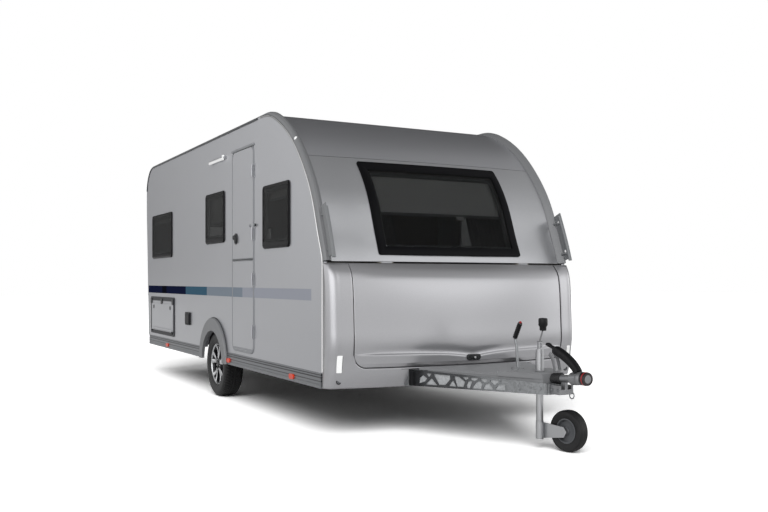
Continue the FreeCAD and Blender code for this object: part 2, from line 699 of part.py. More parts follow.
# Doors: a stable door in two halves, each on two hinges along its front edge.
HINGE_X = -(BODY_HALF_WIDTH + DOOR_HINGE_OUT)
HINGE_Y = DOOR[0] - 6.0
HINGE_R = 6.0
HINGE_PIN_R = 3.0
HINGE_HALF = 45.0
HINGE_EAR = 14.0
HINGE_LEAF = 40.0
DOOR_FACE = -(BODY_HALF_WIDTH + DOOR_PROUD)
HINGE_SHARES = (0.22, 0.78)
door_hinges = []
for node, low, high in (
    ("door_lower", DOOR[2], DOOR_SPLIT_Z - GAP / 2.0),
    ("door_upper", DOOR_SPLIT_Z + GAP / 2.0, DOOR[3]),
):
    inside = DOOR_FACE + DOOR_THICK
    whole = plate_x(DOOR, DOOR_FACE, inside, DOOR_CORNER_R)
    leaf = whole.common(box(DOOR_FACE - 1.0, inside + 1.0, DOOR[0] - 1.0, DOOR[1] + 1.0, low, high))
    parts = [leaf]
    holes = []
    for share in HINGE_SHARES:
        z = low + (high - low) * share
        parts.append(rod((HINGE_X, HINGE_Y, z - HINGE_HALF), (HINGE_X, HINGE_Y, z + HINGE_HALF), HINGE_R))
        parts.append(box(HINGE_X - 2.0, DOOR_FACE + 1.0, HINGE_Y, DOOR[0] + HINGE_LEAF, z - HINGE_HALF,
                         z + HINGE_HALF))
        reach = HINGE_HALF + SEAT + HINGE_EAR
        holes.append(rod((HINGE_X, HINGE_Y, z - reach), (HINGE_X, HINGE_Y, z + reach), HINGE_PIN_R + PIN_FIT))
        hinge = [rod((HINGE_X, HINGE_Y, z - reach), (HINGE_X, HINGE_Y, z + reach), HINGE_PIN_R)]
        for edge in (-1.0, 1.0):
            near, far = z + edge * (HINGE_HALF + SEAT), z + edge * reach
            hinge.append(rod((HINGE_X, HINGE_Y, near), (HINGE_X, HINGE_Y, far), HINGE_R))
            hinge.append(box(HINGE_X, -BODY_HALF_WIDTH - SEAT, HINGE_Y - 5.0, HINGE_Y, near, far))
            hinge.append(box(-BODY_HALF_WIDTH - 4.0, -BODY_HALF_WIDTH - SEAT, HINGE_Y - HINGE_LEAF, HINGE_Y,
                             near, far))
        door_hinges.append(join(hinge))
    leaf = join(parts)
    for hole in holes:
        leaf = leaf.cut(hole)
    place(leaf, node)
place(group(door_hinges), "door_hinges")


FLAP_PIN_R = 2.5
FLAP_BARREL_R = 5.0
FLAP_PIN_IN = 30.0
FLAP_LUG = 12.0
FLAP_BORE = 14.0
FLAP_CORNER_R = 8.0


def flap(side, area, frame):
    """A storage flap in its frame, with a hinge barrel along its foot."""
    opening = grown(area, -frame - GAP)
    outer = side * (BODY_HALF_WIDTH + HATCH_PROUD)
    leaf = plate_x(opening, outer, side * (BODY_HALF_WIDTH + HATCH_PROUD - HATCH_THICK), FLAP_CORNER_R)
    x = side * (BODY_HALF_WIDTH + HATCH_HINGE_OUT)
    z = area[2] + frame + GAP
    y0, y1 = opening[0] + FLAP_PIN_IN, opening[1] - FLAP_PIN_IN
    barrel = rod((x, y0, z), (x, y1, z), FLAP_BARREL_R)
    tab = box(x, side * (BODY_HALF_WIDTH + HATCH_PROUD - 2.0), y0, y1, z - 1.0, z + 24.0)
    bores = [rod((x, y0 - 1.0, z), (x, y0 + FLAP_BORE, z), FLAP_PIN_R + PIN_FIT),
             rod((x, y1 - FLAP_BORE, z), (x, y1 + 1.0, z), FLAP_PIN_R + PIN_FIT)]
    return join([leaf, barrel, tab]).cut(bores[0]).cut(bores[1])


def flap_frame(side, area, frame):
    """The frame around a flap, screwed to the wall's outside."""
    outer = plate_x(area, side * (BODY_HALF_WIDTH + SEAT), side * (BODY_HALF_WIDTH + HATCH_PROUD), 26.0)
    hole = plate_x(grown(area, -frame), side * (BODY_HALF_WIDTH - OVER), side * (BODY_HALF_WIDTH + OVER),
                   HATCH_HOLE_R)
    x = side * (BODY_HALF_WIDTH + HATCH_HINGE_OUT)
    face = side * (BODY_HALF_WIDTH + HATCH_PROUD)
    z = area[2] + frame + GAP
    lugs = []
    foot = z - GAP - 22.0
    profile = [(face - side * 2.0, foot), (x, foot), (x + side * 4.0, z - 2.0), (x, z + 4.0),
               (face + side * 1.0, z + 3.0), (face + side * 1.0, z - GAP), (face - side * 2.0, z - GAP)]
    pin_in = frame + GAP + FLAP_PIN_IN
    for end, inward in ((area[0] + pin_in, 1.0), (area[1] - pin_in, -1.0)):
        stop = end - inward * SEAT
        lugs.append(slab_y(profile, stop - inward * FLAP_LUG, stop))
        lugs.append(rod((x, stop - inward * FLAP_LUG, z), (x, end + inward * 12.0, z), FLAP_PIN_R))
    return join([outer.cut(hole)] + lugs)


place(flap(-1.0, HATCH, HATCH_FRAME), "service_hatch")
place(flap(1.0, CASSETTE, CASSETTE_FRAME), "cassette_hatch")
frames = [flap_frame(-1.0, HATCH, HATCH_FRAME), flap_frame(1.0, CASSETTE, CASSETTE_FRAME)]
place(group(frames), "hatch_frames")

# Wheel arch mouldings, proud of the walls, down to the skirts' lower edge.
for name, side in SIDES:
    face = side * (BODY_HALF_WIDTH + SEAT)
    proud = side * (BODY_HALF_WIDTH + ARCH_PROUD)
    ring = rod((face, 0, ARCH_Z), (proud, 0, ARCH_Z), ARCH_OUTER_R)
    ring = ring.cut(rod((face - side * 1.0, 0, TYRE_R), (proud + side * 1.0, 0, TYRE_R), ARCH_INNER_R))
    ring = ring.common(box(face, proud, -2 * ARCH_OUTER_R, 2 * ARCH_OUTER_R, SKIRT_LOW, 4 * TYRE_R))
    edges = [e for e in ring.Edges
             if abs(e.BoundBox.XMin - proud) < 0.1 and abs(e.BoundBox.XMax - proud) < 0.1
             and e.BoundBox.ZMax > ARCH_Z + ARCH_OUTER_R - 2.0]
    ring = ring.makeFillet(ARCH_ROUND, edges)
    place(ring, "arch_moulding_" + name)

# Skirts along the sides, grooved lengthwise and cut for the wheels.
GROOVE_HEIGHTS = [SKIRT_LOW + 28.0, SKIRT_LOW + 84.0, SKIRT_LOW + 98.0]
GROOVE_WIDTH = 5.0
for name, side in SIDES:
    outer = side * (BODY_HALF_WIDTH + DOOR_PROUD)
    inner = side * (BODY_HALF_WIDTH + DOOR_PROUD - SKIRT_THICK)
    strip = box(inner, outer, SKIRT_FRONT_Y, SKIRT_REAR_Y, SKIRT_LOW, WALL_FOOT_Z - SEAT)
    for height in GROOVE_HEIGHTS:
        strip = strip.cut(box(outer - side * SKIRT_GROOVE, outer + side, SKIRT_FRONT_Y - OVER,
                              SKIRT_REAR_Y + OVER, height, height + GROOVE_WIDTH))
    cut = rod((inner - side * 5.0, 0, ARCH_Z), (outer + side * 5.0, 0, ARCH_Z), ARCH_OUTER_R + SEAT)
    strip = strip.cut(cut)
    place(group(strip.Solids), "side_skirt_" + name)


# Corner mouldings: a hump along the front arch that thins out over the roof and down the rear.
def moulding_path():
    """Points, normals and crest heights along the arch, the roof and the rear corner."""
    path = []
    samples = arch_samples(PANEL_FOOT_Z, ROOF_Z - 0.01, 15)
    for i, (y, z, ny, nz) in enumerate(samples):
        share = i / (len(samples) - 1.0)
        fade = min(1.0, (1.0 - share) / 0.3)
        path.append((y, z, ny, nz, MOULD_LOW + (MOULD_CREST - MOULD_LOW) * math.sin(fade * math.pi / 2.0)))
    centre_y = REAR_WALL_Y - REAR_CORNER_R
    for share in (0.01, 0.04, 0.2, 0.5, 0.8, 0.96, 0.99):
        y = samples[-1][0] + (centre_y - samples[-1][0]) * share
        path.append((y, ROOF_Z, 0.0, 1.0, MOULD_LOW))
    for i in range(7):
        angle = math.pi / 2.0 * i / 6.0
        ny, nz = math.sin(angle), math.cos(angle)
        path.append((centre_y + REAR_CORNER_R * ny, REAR_CORNER_Z + REAR_CORNER_R * nz, ny, nz, MOULD_LOW))
    for z in (REAR_CORNER_Z - 30.0, REAR_CORNER_Z - 110.0, REAR_STRAIGHT_Z + 40.0):
        path.append((REAR_WALL_Y, z, 1.0, 0.0, MOULD_LOW))
    lean = math.atan2(REAR_WALL_Y - REAR_FOOT_Y, REAR_STRAIGHT_Z - WALL_FOOT_Z)
    for share in (0.974, 0.904, 0.66, 0.34, 0.0):
        z = WALL_FOOT_Z + (REAR_STRAIGHT_Z - WALL_FOOT_Z) * share
        path.append((rear_y(z), z, math.cos(lean), -math.sin(lean), MOULD_LOW))
    return path


MOULD_STATIONS = [(1.0, 0.04), (0.72, 0.62), (0.42, 1.0), (0.2, 0.96), (0.06, 0.62), (0.0, 0.12)]


def corner_moulding(side):
    path = moulding_path()
    outer_x = BODY_HALF_WIDTH + MOULD_FOOT
    wires = []
    for inward, height in MOULD_STATIONS:
        x = side * (outer_x - MOULD_WIDTH * inward)
        top = []
        for y, z, ny, nz, crest in path:
            rise = SEAT + max(MOULD_EDGE, crest * height)
            top.append(V(x, y + ny * rise, z + nz * rise))
        low = [V(x, y + ny * SEAT, z + nz * SEAT) for y, z, ny, nz, h in path]
        wires.append(Part.Wire([
            curve_edge(top),
            Part.makeLine(top[-1], low[-1]),
            curve_edge(low[::-1]),
            Part.makeLine(low[0], top[0]),
        ]))
    return Part.makeLoft(wires, True, True)


moulds = {}
for name, side in SIDES:
    mould = corner_moulding(side)
    for neighbour in (walls[side], roof, front_panel, rear_wall):
        mould = mould.cut(neighbour)
    moulds[side] = mould
    place(mould, "corner_moulding_" + name)

# Chassis: two longitudinal rails, cross members, and the bridge to the drawbar.
rails = []
for name, side in SIDES:
    inner = side * (RAIL_X - RAIL_THICK)
    rails.append(box(side * RAIL_X, side * (RAIL_X - STEEL), RAIL_FRONT_Y, RAIL_REAR_Y, RAIL_LOW, FLOOR_Z))
    rails.append(box(side * RAIL_X, inner, RAIL_FRONT_Y, RAIL_REAR_Y, RAIL_LOW, RAIL_LOW + STEEL))
    rails.append(box(side * RAIL_X, inner, RAIL_FRONT_Y, RAIL_REAR_Y, FLOOR_Z - STEEL, FLOOR_Z))
FULL_SPAN = BODY_HALF_WIDTH - 235.0
CROSS_MEMBERS = [(FRONT_EDGE_Y + 74.0, FULL_SPAN), (-1250.0, RAIL_X), (1250.0, RAIL_X),
                 (REAR_FOOT_Y - 323.0, FULL_SPAN)]
CROSS_HALF = 25.0
for y, half in CROSS_MEMBERS:
    rails.append(box(-half, half, y - CROSS_HALF, y + CROSS_HALF, FLOOR_Z - CROSS_MEMBER, FLOOR_Z))
place(join(rails), "chassis_rails")

# Drawbar: two tapering beams that meet at a nose plate, with cell-shaped pockets outside.
BEAM_ROOT_LOW = RAIL_LOW + 6.0
BEAM_ROOT_HIGH = FLOOR_Z + 6.0
BEAM_RUN = BEAM_ROOT_Y - BEAM_NOSE_Y
BEAM_ANGLE = math.atan2(RAIL_X - BEAM_NOSE_X, BEAM_RUN)
BEAM_LENGTH = BEAM_RUN / math.cos(BEAM_ANGLE)
CELLS = [
    [(0.095, 0.53), (0.121, 0.723), (0.153, 0.533), (0.137, 0.339), (0.09, 0.18)],
    [(0.142, 0.86), (0.187, 0.86), (0.166, 0.62)],
    [(0.14, 0.14), (0.186, 0.577), (0.231, 0.14)],
    [(0.199, 0.86), (0.327, 0.87), (0.329, 0.611), (0.292, 0.20), (0.245, 0.18)],
    [(0.316, 0.142), (0.349, 0.567), (0.375, 0.142)],
    [(0.357, 0.86), (0.393, 0.84), (0.438, 0.532), (0.428, 0.165), (0.38, 0.145)],
    [(0.414, 0.86), (0.462, 0.87), (0.462, 0.762), (0.442, 0.66)],
    [(0.448, 0.297), (0.462, 0.588), (0.491, 0.63), (0.473, 0.10), (0.454, 0.10)],
    [(0.48, 0.87), (0.534, 0.88), (0.53, 0.786), (0.505, 0.64), (0.482, 0.711)],
    [(0.488, 0.10), (0.516, 0.52), (0.542, 0.69), (0.562, 0.502), (0.553, 0.11)],
    [(0.549, 0.87), (0.599, 0.86), (0.597, 0.718), (0.576, 0.575), (0.553, 0.756)],
    [(0.567, 0.10), (0.581, 0.456), (0.609, 0.61), (0.638, 0.2), (0.634, 0.11)],
    [(0.615, 0.86), (0.677, 0.87), (0.676, 0.748), (0.649, 0.45), (0.622, 0.685)],
    [(0.652, 0.12), (0.676, 0.56), (0.722, 0.59), (0.722, 0.132)],
    [(0.692, 0.866), (0.75, 0.87), (0.738, 0.75), (0.694, 0.73)],
]
CELL_DEPTH = 7.0


def beam_height(share, rise):
    """A height on a beam: share runs from its root to its nose, rise from its foot to its top."""
    low = BEAM_ROOT_LOW + (BEAM_NOSE_LOW - BEAM_ROOT_LOW) * share
    high = BEAM_ROOT_HIGH + (BEAM_NOSE_HIGH - BEAM_ROOT_HIGH) * share
    return low + (high - low) * rise


def beam():
    """The right-hand beam, drawn along -Y from its root and then swung to its angle."""
    outline = [(0.0, beam_height(0, 0)), (-BEAM_LENGTH, beam_height(1, 0)),
               (-BEAM_LENGTH, beam_height(1, 1)), (0.0, beam_height(0, 1))]
    solid = slab_x(outline, -BEAM_THICK, 0.0)
    for cell in CELLS:
        points = [(-BEAM_LENGTH * share, beam_height(share, rise)) for share, rise in cell]
        solid = solid.cut(slab_x(points, -CELL_DEPTH, 1.0))
    solid.rotate(V(0, 0, 0), V(0, 0, 1), -math.degrees(BEAM_ANGLE))
    solid.translate(V(RAIL_X, BEAM_ROOT_Y, 0))
    return solid


right_beam = beam()
nose_plate = box(-BEAM_NOSE_X - 4.0, BEAM_NOSE_X + 4.0, BEAM_NOSE_Y - 6.0, BEAM_NOSE_Y + 8.0,
                 BEAM_NOSE_LOW, BEAM_NOSE_HIGH)
bridge = box(-RAIL_X + 8.0, RAIL_X - 8.0, BEAM_ROOT_Y - 60.0, BEAM_ROOT_Y, RAIL_LOW + 12.0, FLOOR_Z - 5.0)
JOCKEY_HOLE_R = JOCKEY_OUTER_R + SEAT
CLAMP_HALF = 45.0


def beam_x(y):
    """The drawbar's outer half width at one place along it."""
    return BEAM_NOSE_X + (y - BEAM_NOSE_Y) * math.tan(BEAM_ANGLE)


def drawbar_plate(y0, y1, inset, z0, z1):
    """A plate between the beams, narrower than their outsides by an inset."""
    a, b = beam_x(y0) - inset, beam_x(y1) - inset
    return slab_z([(-a, y0), (a, y0), (b, y1), (-b, y1)], z0, z1)


clamp_plate = drawbar_plate(JOCKEY_Y - CLAMP_HALF, JOCKEY_Y + CLAMP_HALF, 20.0, BEAM_NOSE_LOW + 12.0,
                            BEAM_NOSE_LOW + 40.0)
clamp_plate = clamp_plate.cut(rod((0, JOCKEY_Y, 0), (0, JOCKEY_Y, JOCKEY_COLUMN_TOP), JOCKEY_HOLE_R))
drawbar = join([right_beam, mirrored(right_beam), nose_plate, bridge, clamp_plate])
drawbar = drawbar.cut(box(-BODY_HALF_WIDTH, BODY_HALF_WIDTH, RAIL_FRONT_Y, 0, 0, ROOF_Z))
place(drawbar, "drawbar_frame")

# Drawbar cover: a low tray over the beams with a raised hood behind the coupling.
COVER_LOW_Z = 512.0
COVER_HIGH_Z = 530.0
HOOD_REAR_Y = NOSE + 660.0
COVER_BASE_Z = beam_height(0, 1) + SEAT
COVER_FRONT_Y = COUPLING_BACK_Y + SEAT
hood = drawbar_plate(COVER_FRONT_Y, HOOD_REAR_Y, 4.0, COVER_BASE_Z, COVER_HIGH_Z)
low_cover = drawbar_plate(HOOD_REAR_Y - 10.0, BEAM_ROOT_Y - 85.0, 10.0, COVER_BASE_Z, COVER_LOW_Z)
legs = drawbar_plate(COVER_FRONT_Y, COVER_FRONT_Y + 60.0, 8.0, BEAM_NOSE_HIGH, COVER_BASE_Z + 2.0)
FLANGE_SHARES = (0.15, 0.96)


def cover_flange():
    """The cover's right-hand edge: a wedge that closes the gap down to the falling beam."""
    outline = [(-BEAM_LENGTH * share, beam_height(share, 1) + SEAT) for share in FLANGE_SHARES]
    outline += [(-BEAM_LENGTH * share, COVER_BASE_Z + 2.0) for share in reversed(FLANGE_SHARES)]
    solid = slab_x(outline, -20.0, -11.0)
    solid.rotate(V(0, 0, 0), V(0, 0, 1), -math.degrees(BEAM_ANGLE))
    solid.translate(V(RAIL_X, BEAM_ROOT_Y, 0))
    return solid


flange = cover_flange()
cover = join([hood, low_cover, legs, flange, mirrored(flange)]).cut(drawbar)
cover = cover.cut(rod((0, JOCKEY_Y, 0), (0, JOCKEY_Y, JOCKEY_COLUMN_TOP), JOCKEY_HOLE_R + 2.0))
place(cover, "drawbar_cover")

# Coupling: rubber gaiter, shaft, and the ball housing with its open socket below.
COUPLING_RISE = (COUPLING_NOSE_Z - COUPLING_BACK_Z) / (COUPLING_BACK_Y - NOSE)


def on_coupling(y, up=0.0, side=0.0):
    """A point beside the coupling's centre line, which rises a little towards its nose."""
    return (side, y, COUPLING_BACK_Z + (COUPLING_BACK_Y - y) * COUPLING_RISE + up)


GAITER_FOLDS = 5
GAITER_LENGTH = 92.0
GAITER_R = 34.0
GAITER_VALLEY_R = 28.0
fold = GAITER_LENGTH / GAITER_FOLDS
gaiter_rings = []
for i in range(GAITER_FOLDS):
    start = COUPLING_BACK_Y - fold * i
    gaiter_rings.append(rod(on_coupling(start), on_coupling(start - fold * 0.6), GAITER_R))
    valley = start - fold * 0.5
    gaiter_rings.append(rod(on_coupling(valley), on_coupling(start - fold - 0.5), GAITER_VALLEY_R))

GAITER_FRONT = COUPLING_BACK_Y - GAITER_LENGTH
BRACKET_BACK = BEAM_NOSE_Y - 6.0 - SEAT
BRACKET_NOSE = GAITER_FRONT - 42.0
BRACKET_LOW = BEAM_NOSE_LOW + 8.0
BRACKET_X = 58.0
CHEEK = 14.0
SHAFT_R = 26.0
HOUSING_R = 42.0
DOME_R = 46.0
NOSE_RING_R = 40.0
cheeks = [box(side * (BRACKET_X - CHEEK), side * BRACKET_X, BRACKET_NOSE, BRACKET_BACK, BRACKET_LOW,
              BRACKET_LOW + 60.0) for name, side in SIDES]
base = box(-BRACKET_X, BRACKET_X, BRACKET_NOSE, BRACKET_BACK, BRACKET_LOW, BRACKET_LOW + 34.0)
web = box(-12.0, 12.0, BRACKET_NOSE, GAITER_FRONT - 4.0, BRACKET_LOW + 28.0, BRACKET_LOW + 88.0)
shaft = rod(on_coupling(GAITER_FRONT - SEAT), on_coupling(BALL_Y - 20.0), SHAFT_R)
housing = rod(on_coupling(BALL_Y + 78.0), on_coupling(BALL_Y - 10.0), HOUSING_R)
dome = ball(on_coupling(BALL_Y), DOME_R)
ring_z = COUPLING_NOSE_Z - 2.0
nose_ring = rod((0, BALL_Y - 8.0, ring_z), (0, NOSE, ring_z), NOSE_RING_R)
socket_point = on_coupling(BALL_Y)
socket = ball(socket_point, BALL_R + 0.5)
mouth = rod((0, BALL_Y, socket_point[2]), (0, BALL_Y, socket_point[2] - 3 * DOME_R), BALL_R - 1.0)
head = join([shaft, housing, dome, nose_ring, base, web] + cheeks)
head = head.cut(socket).cut(mouth)
place(head, "coupling_head")
place(join(gaiter_rings).cut(head).cut(drawbar).cut(cover), "coupling_gaiter")

# Coupling handle: a long curved grip over the housing, on a pivot.
GRIP_HALF = 24.0
FORK_HALF = 16.0
GRIP_STEPS = [(408.0, 731.0), (380.0, 722.0), (310.0, 704.0), (215.0, 668.0), (135.0, 622.0), (87.0, 575.0),
              (115.0, 562.0), (175.0, 592.0), (230.0, 618.0), (285.0, 648.0), (335.0, 662.0), (359.0, 684.0),
              (395.0, 714.0)]
FORK_STEPS = [(353.0, 674.0), (315.0, 660.0), (290.0, 600.0), (280.0, 556.0), (310.0, 556.0), (325.0, 600.0)]
grip = slab_x([(NOSE + back, z) for back, z in GRIP_STEPS], -GRIP_HALF, GRIP_HALF)
fork = slab_x([(NOSE + back, z) for back, z in FORK_STEPS], -FORK_HALF, FORK_HALF)
neck_y = NOSE + 91.0
neck = box(-FORK_HALF, FORK_HALF, neck_y, neck_y + 36.0, on_coupling(neck_y)[2] + 20.0, 596.0).cut(head)
place(join([grip, fork, neck]), "coupling_handle")

# Handbrake: a cranked lever with a round grip, standing in a boot on the cover.
LEVER_R = 10.0
GRIP_R = 15.0
BOOT_HALF = 26.0
lever_foot = (0.0, HANDBRAKE_Y, COVER_LOW_Z + LEVER_R)
lever_bend = (0.0, HANDBRAKE_Y + 12.0, 686.0)
lever_neck = (0.0, HANDBRAKE_Y + 34.0, 746.0)
lever_tip = (0.0, HANDBRAKE_Y - 28.0, 855.0)
boot = box(-BOOT_HALF, BOOT_HALF, HANDBRAKE_Y - 38.0, HANDBRAKE_Y + 42.0, COVER_LOW_Z + SEAT,
           COVER_LOW_Z + 22.0)
place(join([
    rod(lever_foot, lever_bend, LEVER_R),
    ball(lever_bend, LEVER_R),
    rod(lever_bend, lever_neck, LEVER_R),
    ball(lever_neck, LEVER_R),
    rod(lever_neck, lever_tip, GRIP_R),
    boot,
]), "handbrake_lever")

# Jockey wheel. The outer tube is clamped in the drawbar; the inner tube slides in it, the
# arm swivels about the tube, and the wheel runs on an axle at the arm's end.
CRANK_X = 28.0
KNOB_LOW = JOCKEY_COLUMN_TOP + 154.0
KNOB_TOP = JOCKEY_COLUMN_TOP + 232.0
LOOP_LOW = JOCKEY_COLUMN_TOP + 20.0
LOOP_TOP = JOCKEY_COLUMN_TOP + 80.0


def upright(radius, low, high, x=0.0):
    """A round bar along the jockey wheel's column, or beside it."""
    return rod((x, JOCKEY_Y, low), (x, JOCKEY_Y, high), radius)


column = pipe((0, JOCKEY_Y, BEAM_NOSE_LOW - 20.0), (0, JOCKEY_Y, JOCKEY_COLUMN_TOP), JOCKEY_OUTER_R,
              JOCKEY_OUTER_WALL)
cap = upright(JOCKEY_OUTER_R - 3.0, JOCKEY_COLUMN_TOP - 6.0, JOCKEY_COLUMN_TOP + 24.0)
loop = box(-16.0, 16.0, JOCKEY_Y - 9.0, JOCKEY_Y + 9.0, LOOP_LOW, LOOP_TOP)
loop = loop.cut(box(-9.0, 9.0, JOCKEY_Y - 12.0, JOCKEY_Y + 12.0, LOOP_LOW + 12.0, LOOP_TOP - 12.0))
crank = rod((0, JOCKEY_Y, LOOP_TOP - 2.0), (CRANK_X, JOCKEY_Y, KNOB_LOW + 4.0), 5.0)
knob = upright(20.0, KNOB_LOW, KNOB_TOP, CRANK_X)
knob_top = upright(29.0, KNOB_LOW + 32.0, KNOB_TOP, CRANK_X)
place(join([column, cap, loop, crank, knob, knob_top]), "jockey_column")

stem_r = JOCKEY_OUTER_R - JOCKEY_OUTER_WALL - JOCKEY_FIT
stem = upright(stem_r, JOCKEY_ARM_HIGH + 12.0, JOCKEY_COLUMN_TOP - 130.0)
spigot = upright(JOCKEY_SPIGOT_R, JOCKEY_ARM_LOW + 10.0, JOCKEY_ARM_HIGH + 14.0)
place(join([stem, spigot]), "jockey_stem")


def swung(shape):
    """Turns a shape drawn with the arm along -Y to the arm's place."""
    shape.translate(V(0, JOCKEY_Y, 0))
    return turned(shape, (0, JOCKEY_Y, 0), (0, 0, 1), JOCKEY_TURN)


SPIGOT_BORE_R = JOCKEY_SPIGOT_R + PIN_FIT
hub_tube = pipe((0, 0, JOCKEY_ARM_LOW), (0, 0, JOCKEY_ARM_HIGH + 10.0), JOCKEY_ARM_R,
                JOCKEY_ARM_R - SPIGOT_BORE_R)
ARM_INNER = JOCKEY_SIDE - JOCKEY_WIDTH / 2.0 - 8.0
arm_points = [(10.0, JOCKEY_ARM_LOW), (-JOCKEY_TRAIL - 10.0, JOCKEY_ARM_LOW + 32.0),
              (-JOCKEY_TRAIL - 34.0, JOCKEY_R), (-JOCKEY_TRAIL - 10.0, JOCKEY_R + 30.0),
              (10.0, JOCKEY_ARM_HIGH)]
arm = slab_x(arm_points, ARM_INNER - JOCKEY_ARM_THICK, ARM_INNER)
arm = arm.cut(rod((0, 0, 0), (0, 0, 2 * JOCKEY_ARM_HIGH), SPIGOT_BORE_R))


def jockey_bar(x0, x1, radius):
    """A round bar along the jockey wheel's axle."""
    return rod((x0, -JOCKEY_TRAIL, JOCKEY_R), (x1, -JOCKEY_TRAIL, JOCKEY_R), radius)


WHEEL_IN = JOCKEY_SIDE - JOCKEY_WIDTH / 2.0
WHEEL_OUT = JOCKEY_SIDE + JOCKEY_WIDTH / 2.0
HUB_RECESS = 8.0
DISH_DEPTH = 22.0
DISH_RIM = 10.0
BOSS_R = 24.0
JOCKEY_SHOULDER = 26.0
TYRE_FIT = 0.05
axle_pin = jockey_bar(ARM_INNER - 4.0, WHEEL_OUT - 6.0, JOCKEY_AXLE_R)
place(swung(join([hub_tube, arm, axle_pin])), "jockey_arm")

jockey_tyre = jockey_bar(WHEEL_IN, WHEEL_OUT, JOCKEY_R)
round_edges = [e for e in jockey_tyre.Edges if isinstance(e.Curve, Part.Circle)]
jockey_tyre = jockey_tyre.makeFillet(JOCKEY_SHOULDER, round_edges)
place(swung(jockey_tyre.cut(jockey_bar(WHEEL_IN, WHEEL_OUT, JOCKEY_HUB_R))), "jockey_tyre")
jockey_hub = jockey_bar(WHEEL_IN + HUB_RECESS, WHEEL_OUT - HUB_RECESS, JOCKEY_HUB_R - TYRE_FIT)
for face, out in ((WHEEL_IN + HUB_RECESS, -1.0), (WHEEL_OUT - HUB_RECESS, 1.0)):
    dish = jockey_bar(face - out * DISH_DEPTH, face + out, JOCKEY_HUB_R - DISH_RIM)
    jockey_hub = jockey_hub.cut(dish.cut(jockey_bar(face - out * DISH_DEPTH, face, BOSS_R)))
jockey_hub = jockey_hub.cut(jockey_bar(WHEEL_IN, WHEEL_OUT, JOCKEY_AXLE_R + PIN_FIT))
place(swung(jockey_hub), "jockey_hub")

# Axle: a tube across the chassis with a trailing arm and a stub for each wheel.
AXLE_TUBE_Y = -TRAIL
AXLE_TUBE_Z = RAIL_LOW - AXLE_TUBE / 2.0
AXLE_TUBE_ROUND = 14.0
ARM_X = TYRE_X - 194.0
PAD_REACH = 10.0
STUB_END = 10.0
tube_block = box(-ARM_X - 40.0, ARM_X + 40.0, AXLE_TUBE_Y - AXLE_TUBE / 2.0, AXLE_TUBE_Y + AXLE_TUBE / 2.0,
                 RAIL_LOW - AXLE_TUBE - SEAT, RAIL_LOW - SEAT)
axle_parts = [rounded(tube_block, (1, 0, 0), AXLE_TUBE_ROUND)]
for name, side in SIDES:
    arm_outline = [(AXLE_TUBE_Y - 40.0, AXLE_TUBE_Z - 40.0), (AXLE_TUBE_Y - 40.0, AXLE_TUBE_Z + 36.0),
                   (38.0, TYRE_R + 38.0), (38.0, TYRE_R - 38.0)]
    crank_arm = slab_x(arm_outline, side * (ARM_X - 5.0), side * (ARM_X + 35.0))
    stub = rod((side * ARM_X, 0, TYRE_R), (side * (TYRE_X + STUB_END), 0, TYRE_R), STUB_R)
    axle_parts += [crank_arm, stub]
    axle_parts.append(box(side * (RAIL_X - RAIL_THICK - PAD_REACH), side * (RAIL_X + PAD_REACH),
                          AXLE_TUBE_Y - AXLE_TUBE, AXLE_TUBE_Y + AXLE_TUBE, RAIL_LOW - 12.0, RAIL_LOW - SEAT))
place(join(axle_parts), "axle_tube")

# Road wheels: tyre with rounded shoulders, rim barrel with five twin spokes, hub and drum.
BEAD_R = RIM_R - 2.0
SPOKE_COUNT = 5
SPOKE_SPREAD = 13.0
SPOKE_WIDTH = 26.0
HUB_R = 62.0


def tyre(side):
    """A ring turned from a section with a flat tread, round shoulders and bulging walls."""
    half = TYRE_WIDTH / 2.0
    section = [(BEAD_R, half - 18.0), (BEAD_R + 30.0, half - 4.0), (BEAD_R + 62.0, half),
               (TYRE_R - 26.0, half - 6.0), (TYRE_R - 8.0, half - 20.0), (TYRE_R, half - 42.0)]
    points = section + [(r, -w) for r, w in section[::-1]]
    wire = Part.makePolygon([V(w, 0, r) for r, w in points + points[:1]])
    ring = Part.Face(wire).revolve(V(0, 0, 0), V(1, 0, 0), 360)
    ring.translate(V(side * TYRE_X, 0, TYRE_R))
    return ring


def rim(side):
    """The alloy wheel, drawn with its outside towards +X and mirrored for the other side."""
    half = TYRE_WIDTH / 2.0 - 20.0
    outer = BEAD_R - TYRE_FIT
    barrel = pipe((-half, 0, 0), (half, 0, 0), outer, 9.0)
    lip = pipe((half - 10.0, 0, 0), (half, 0, 0), outer, 22.0)
    parts = [barrel, lip]
    for i in range(SPOKE_COUNT):
        for lean in (-1.0, 1.0):
            spoke = slab_x([(-SPOKE_WIDTH / 2.0, HUB_R - 22.0), (SPOKE_WIDTH / 2.0, HUB_R - 22.0),
                            (SPOKE_WIDTH / 2.0 - 4.0 + lean * 6.0, outer - 5.0),
                            (-SPOKE_WIDTH / 2.0 + 4.0 + lean * 6.0, outer - 5.0)], half - 34.0, half - 8.0)
            spoke.rotate(V(0, 0, 0), V(1, 0, 0), 360.0 / SPOKE_COUNT * i + lean * SPOKE_SPREAD)
            parts.append(spoke)
    parts.append(rod((half - 52.0, 0, 0), (half - 8.0, 0, 0), HUB_R))
    parts.append(rod((half - 10.0, 0, 0), (half - 2.0, 0, 0), 32.0))
    parts.append(rod((-half + 20.0, 0, 0), (half - 50.0, 0, 0), DRUM_R))
    wheel = join(parts)
    wheel = wheel.cut(rod((-half - 10.0, 0, 0), (STUB_END + 4.0, 0, 0), HUB_BORE_R))
    wheel.translate(V(TYRE_X, 0, TYRE_R))
    return wheel if side > 0 else mirrored(wheel)


for name, side in SIDES:
    place(tyre(side), "tyre_" + name)
    place(rim(side), "rim_" + name)


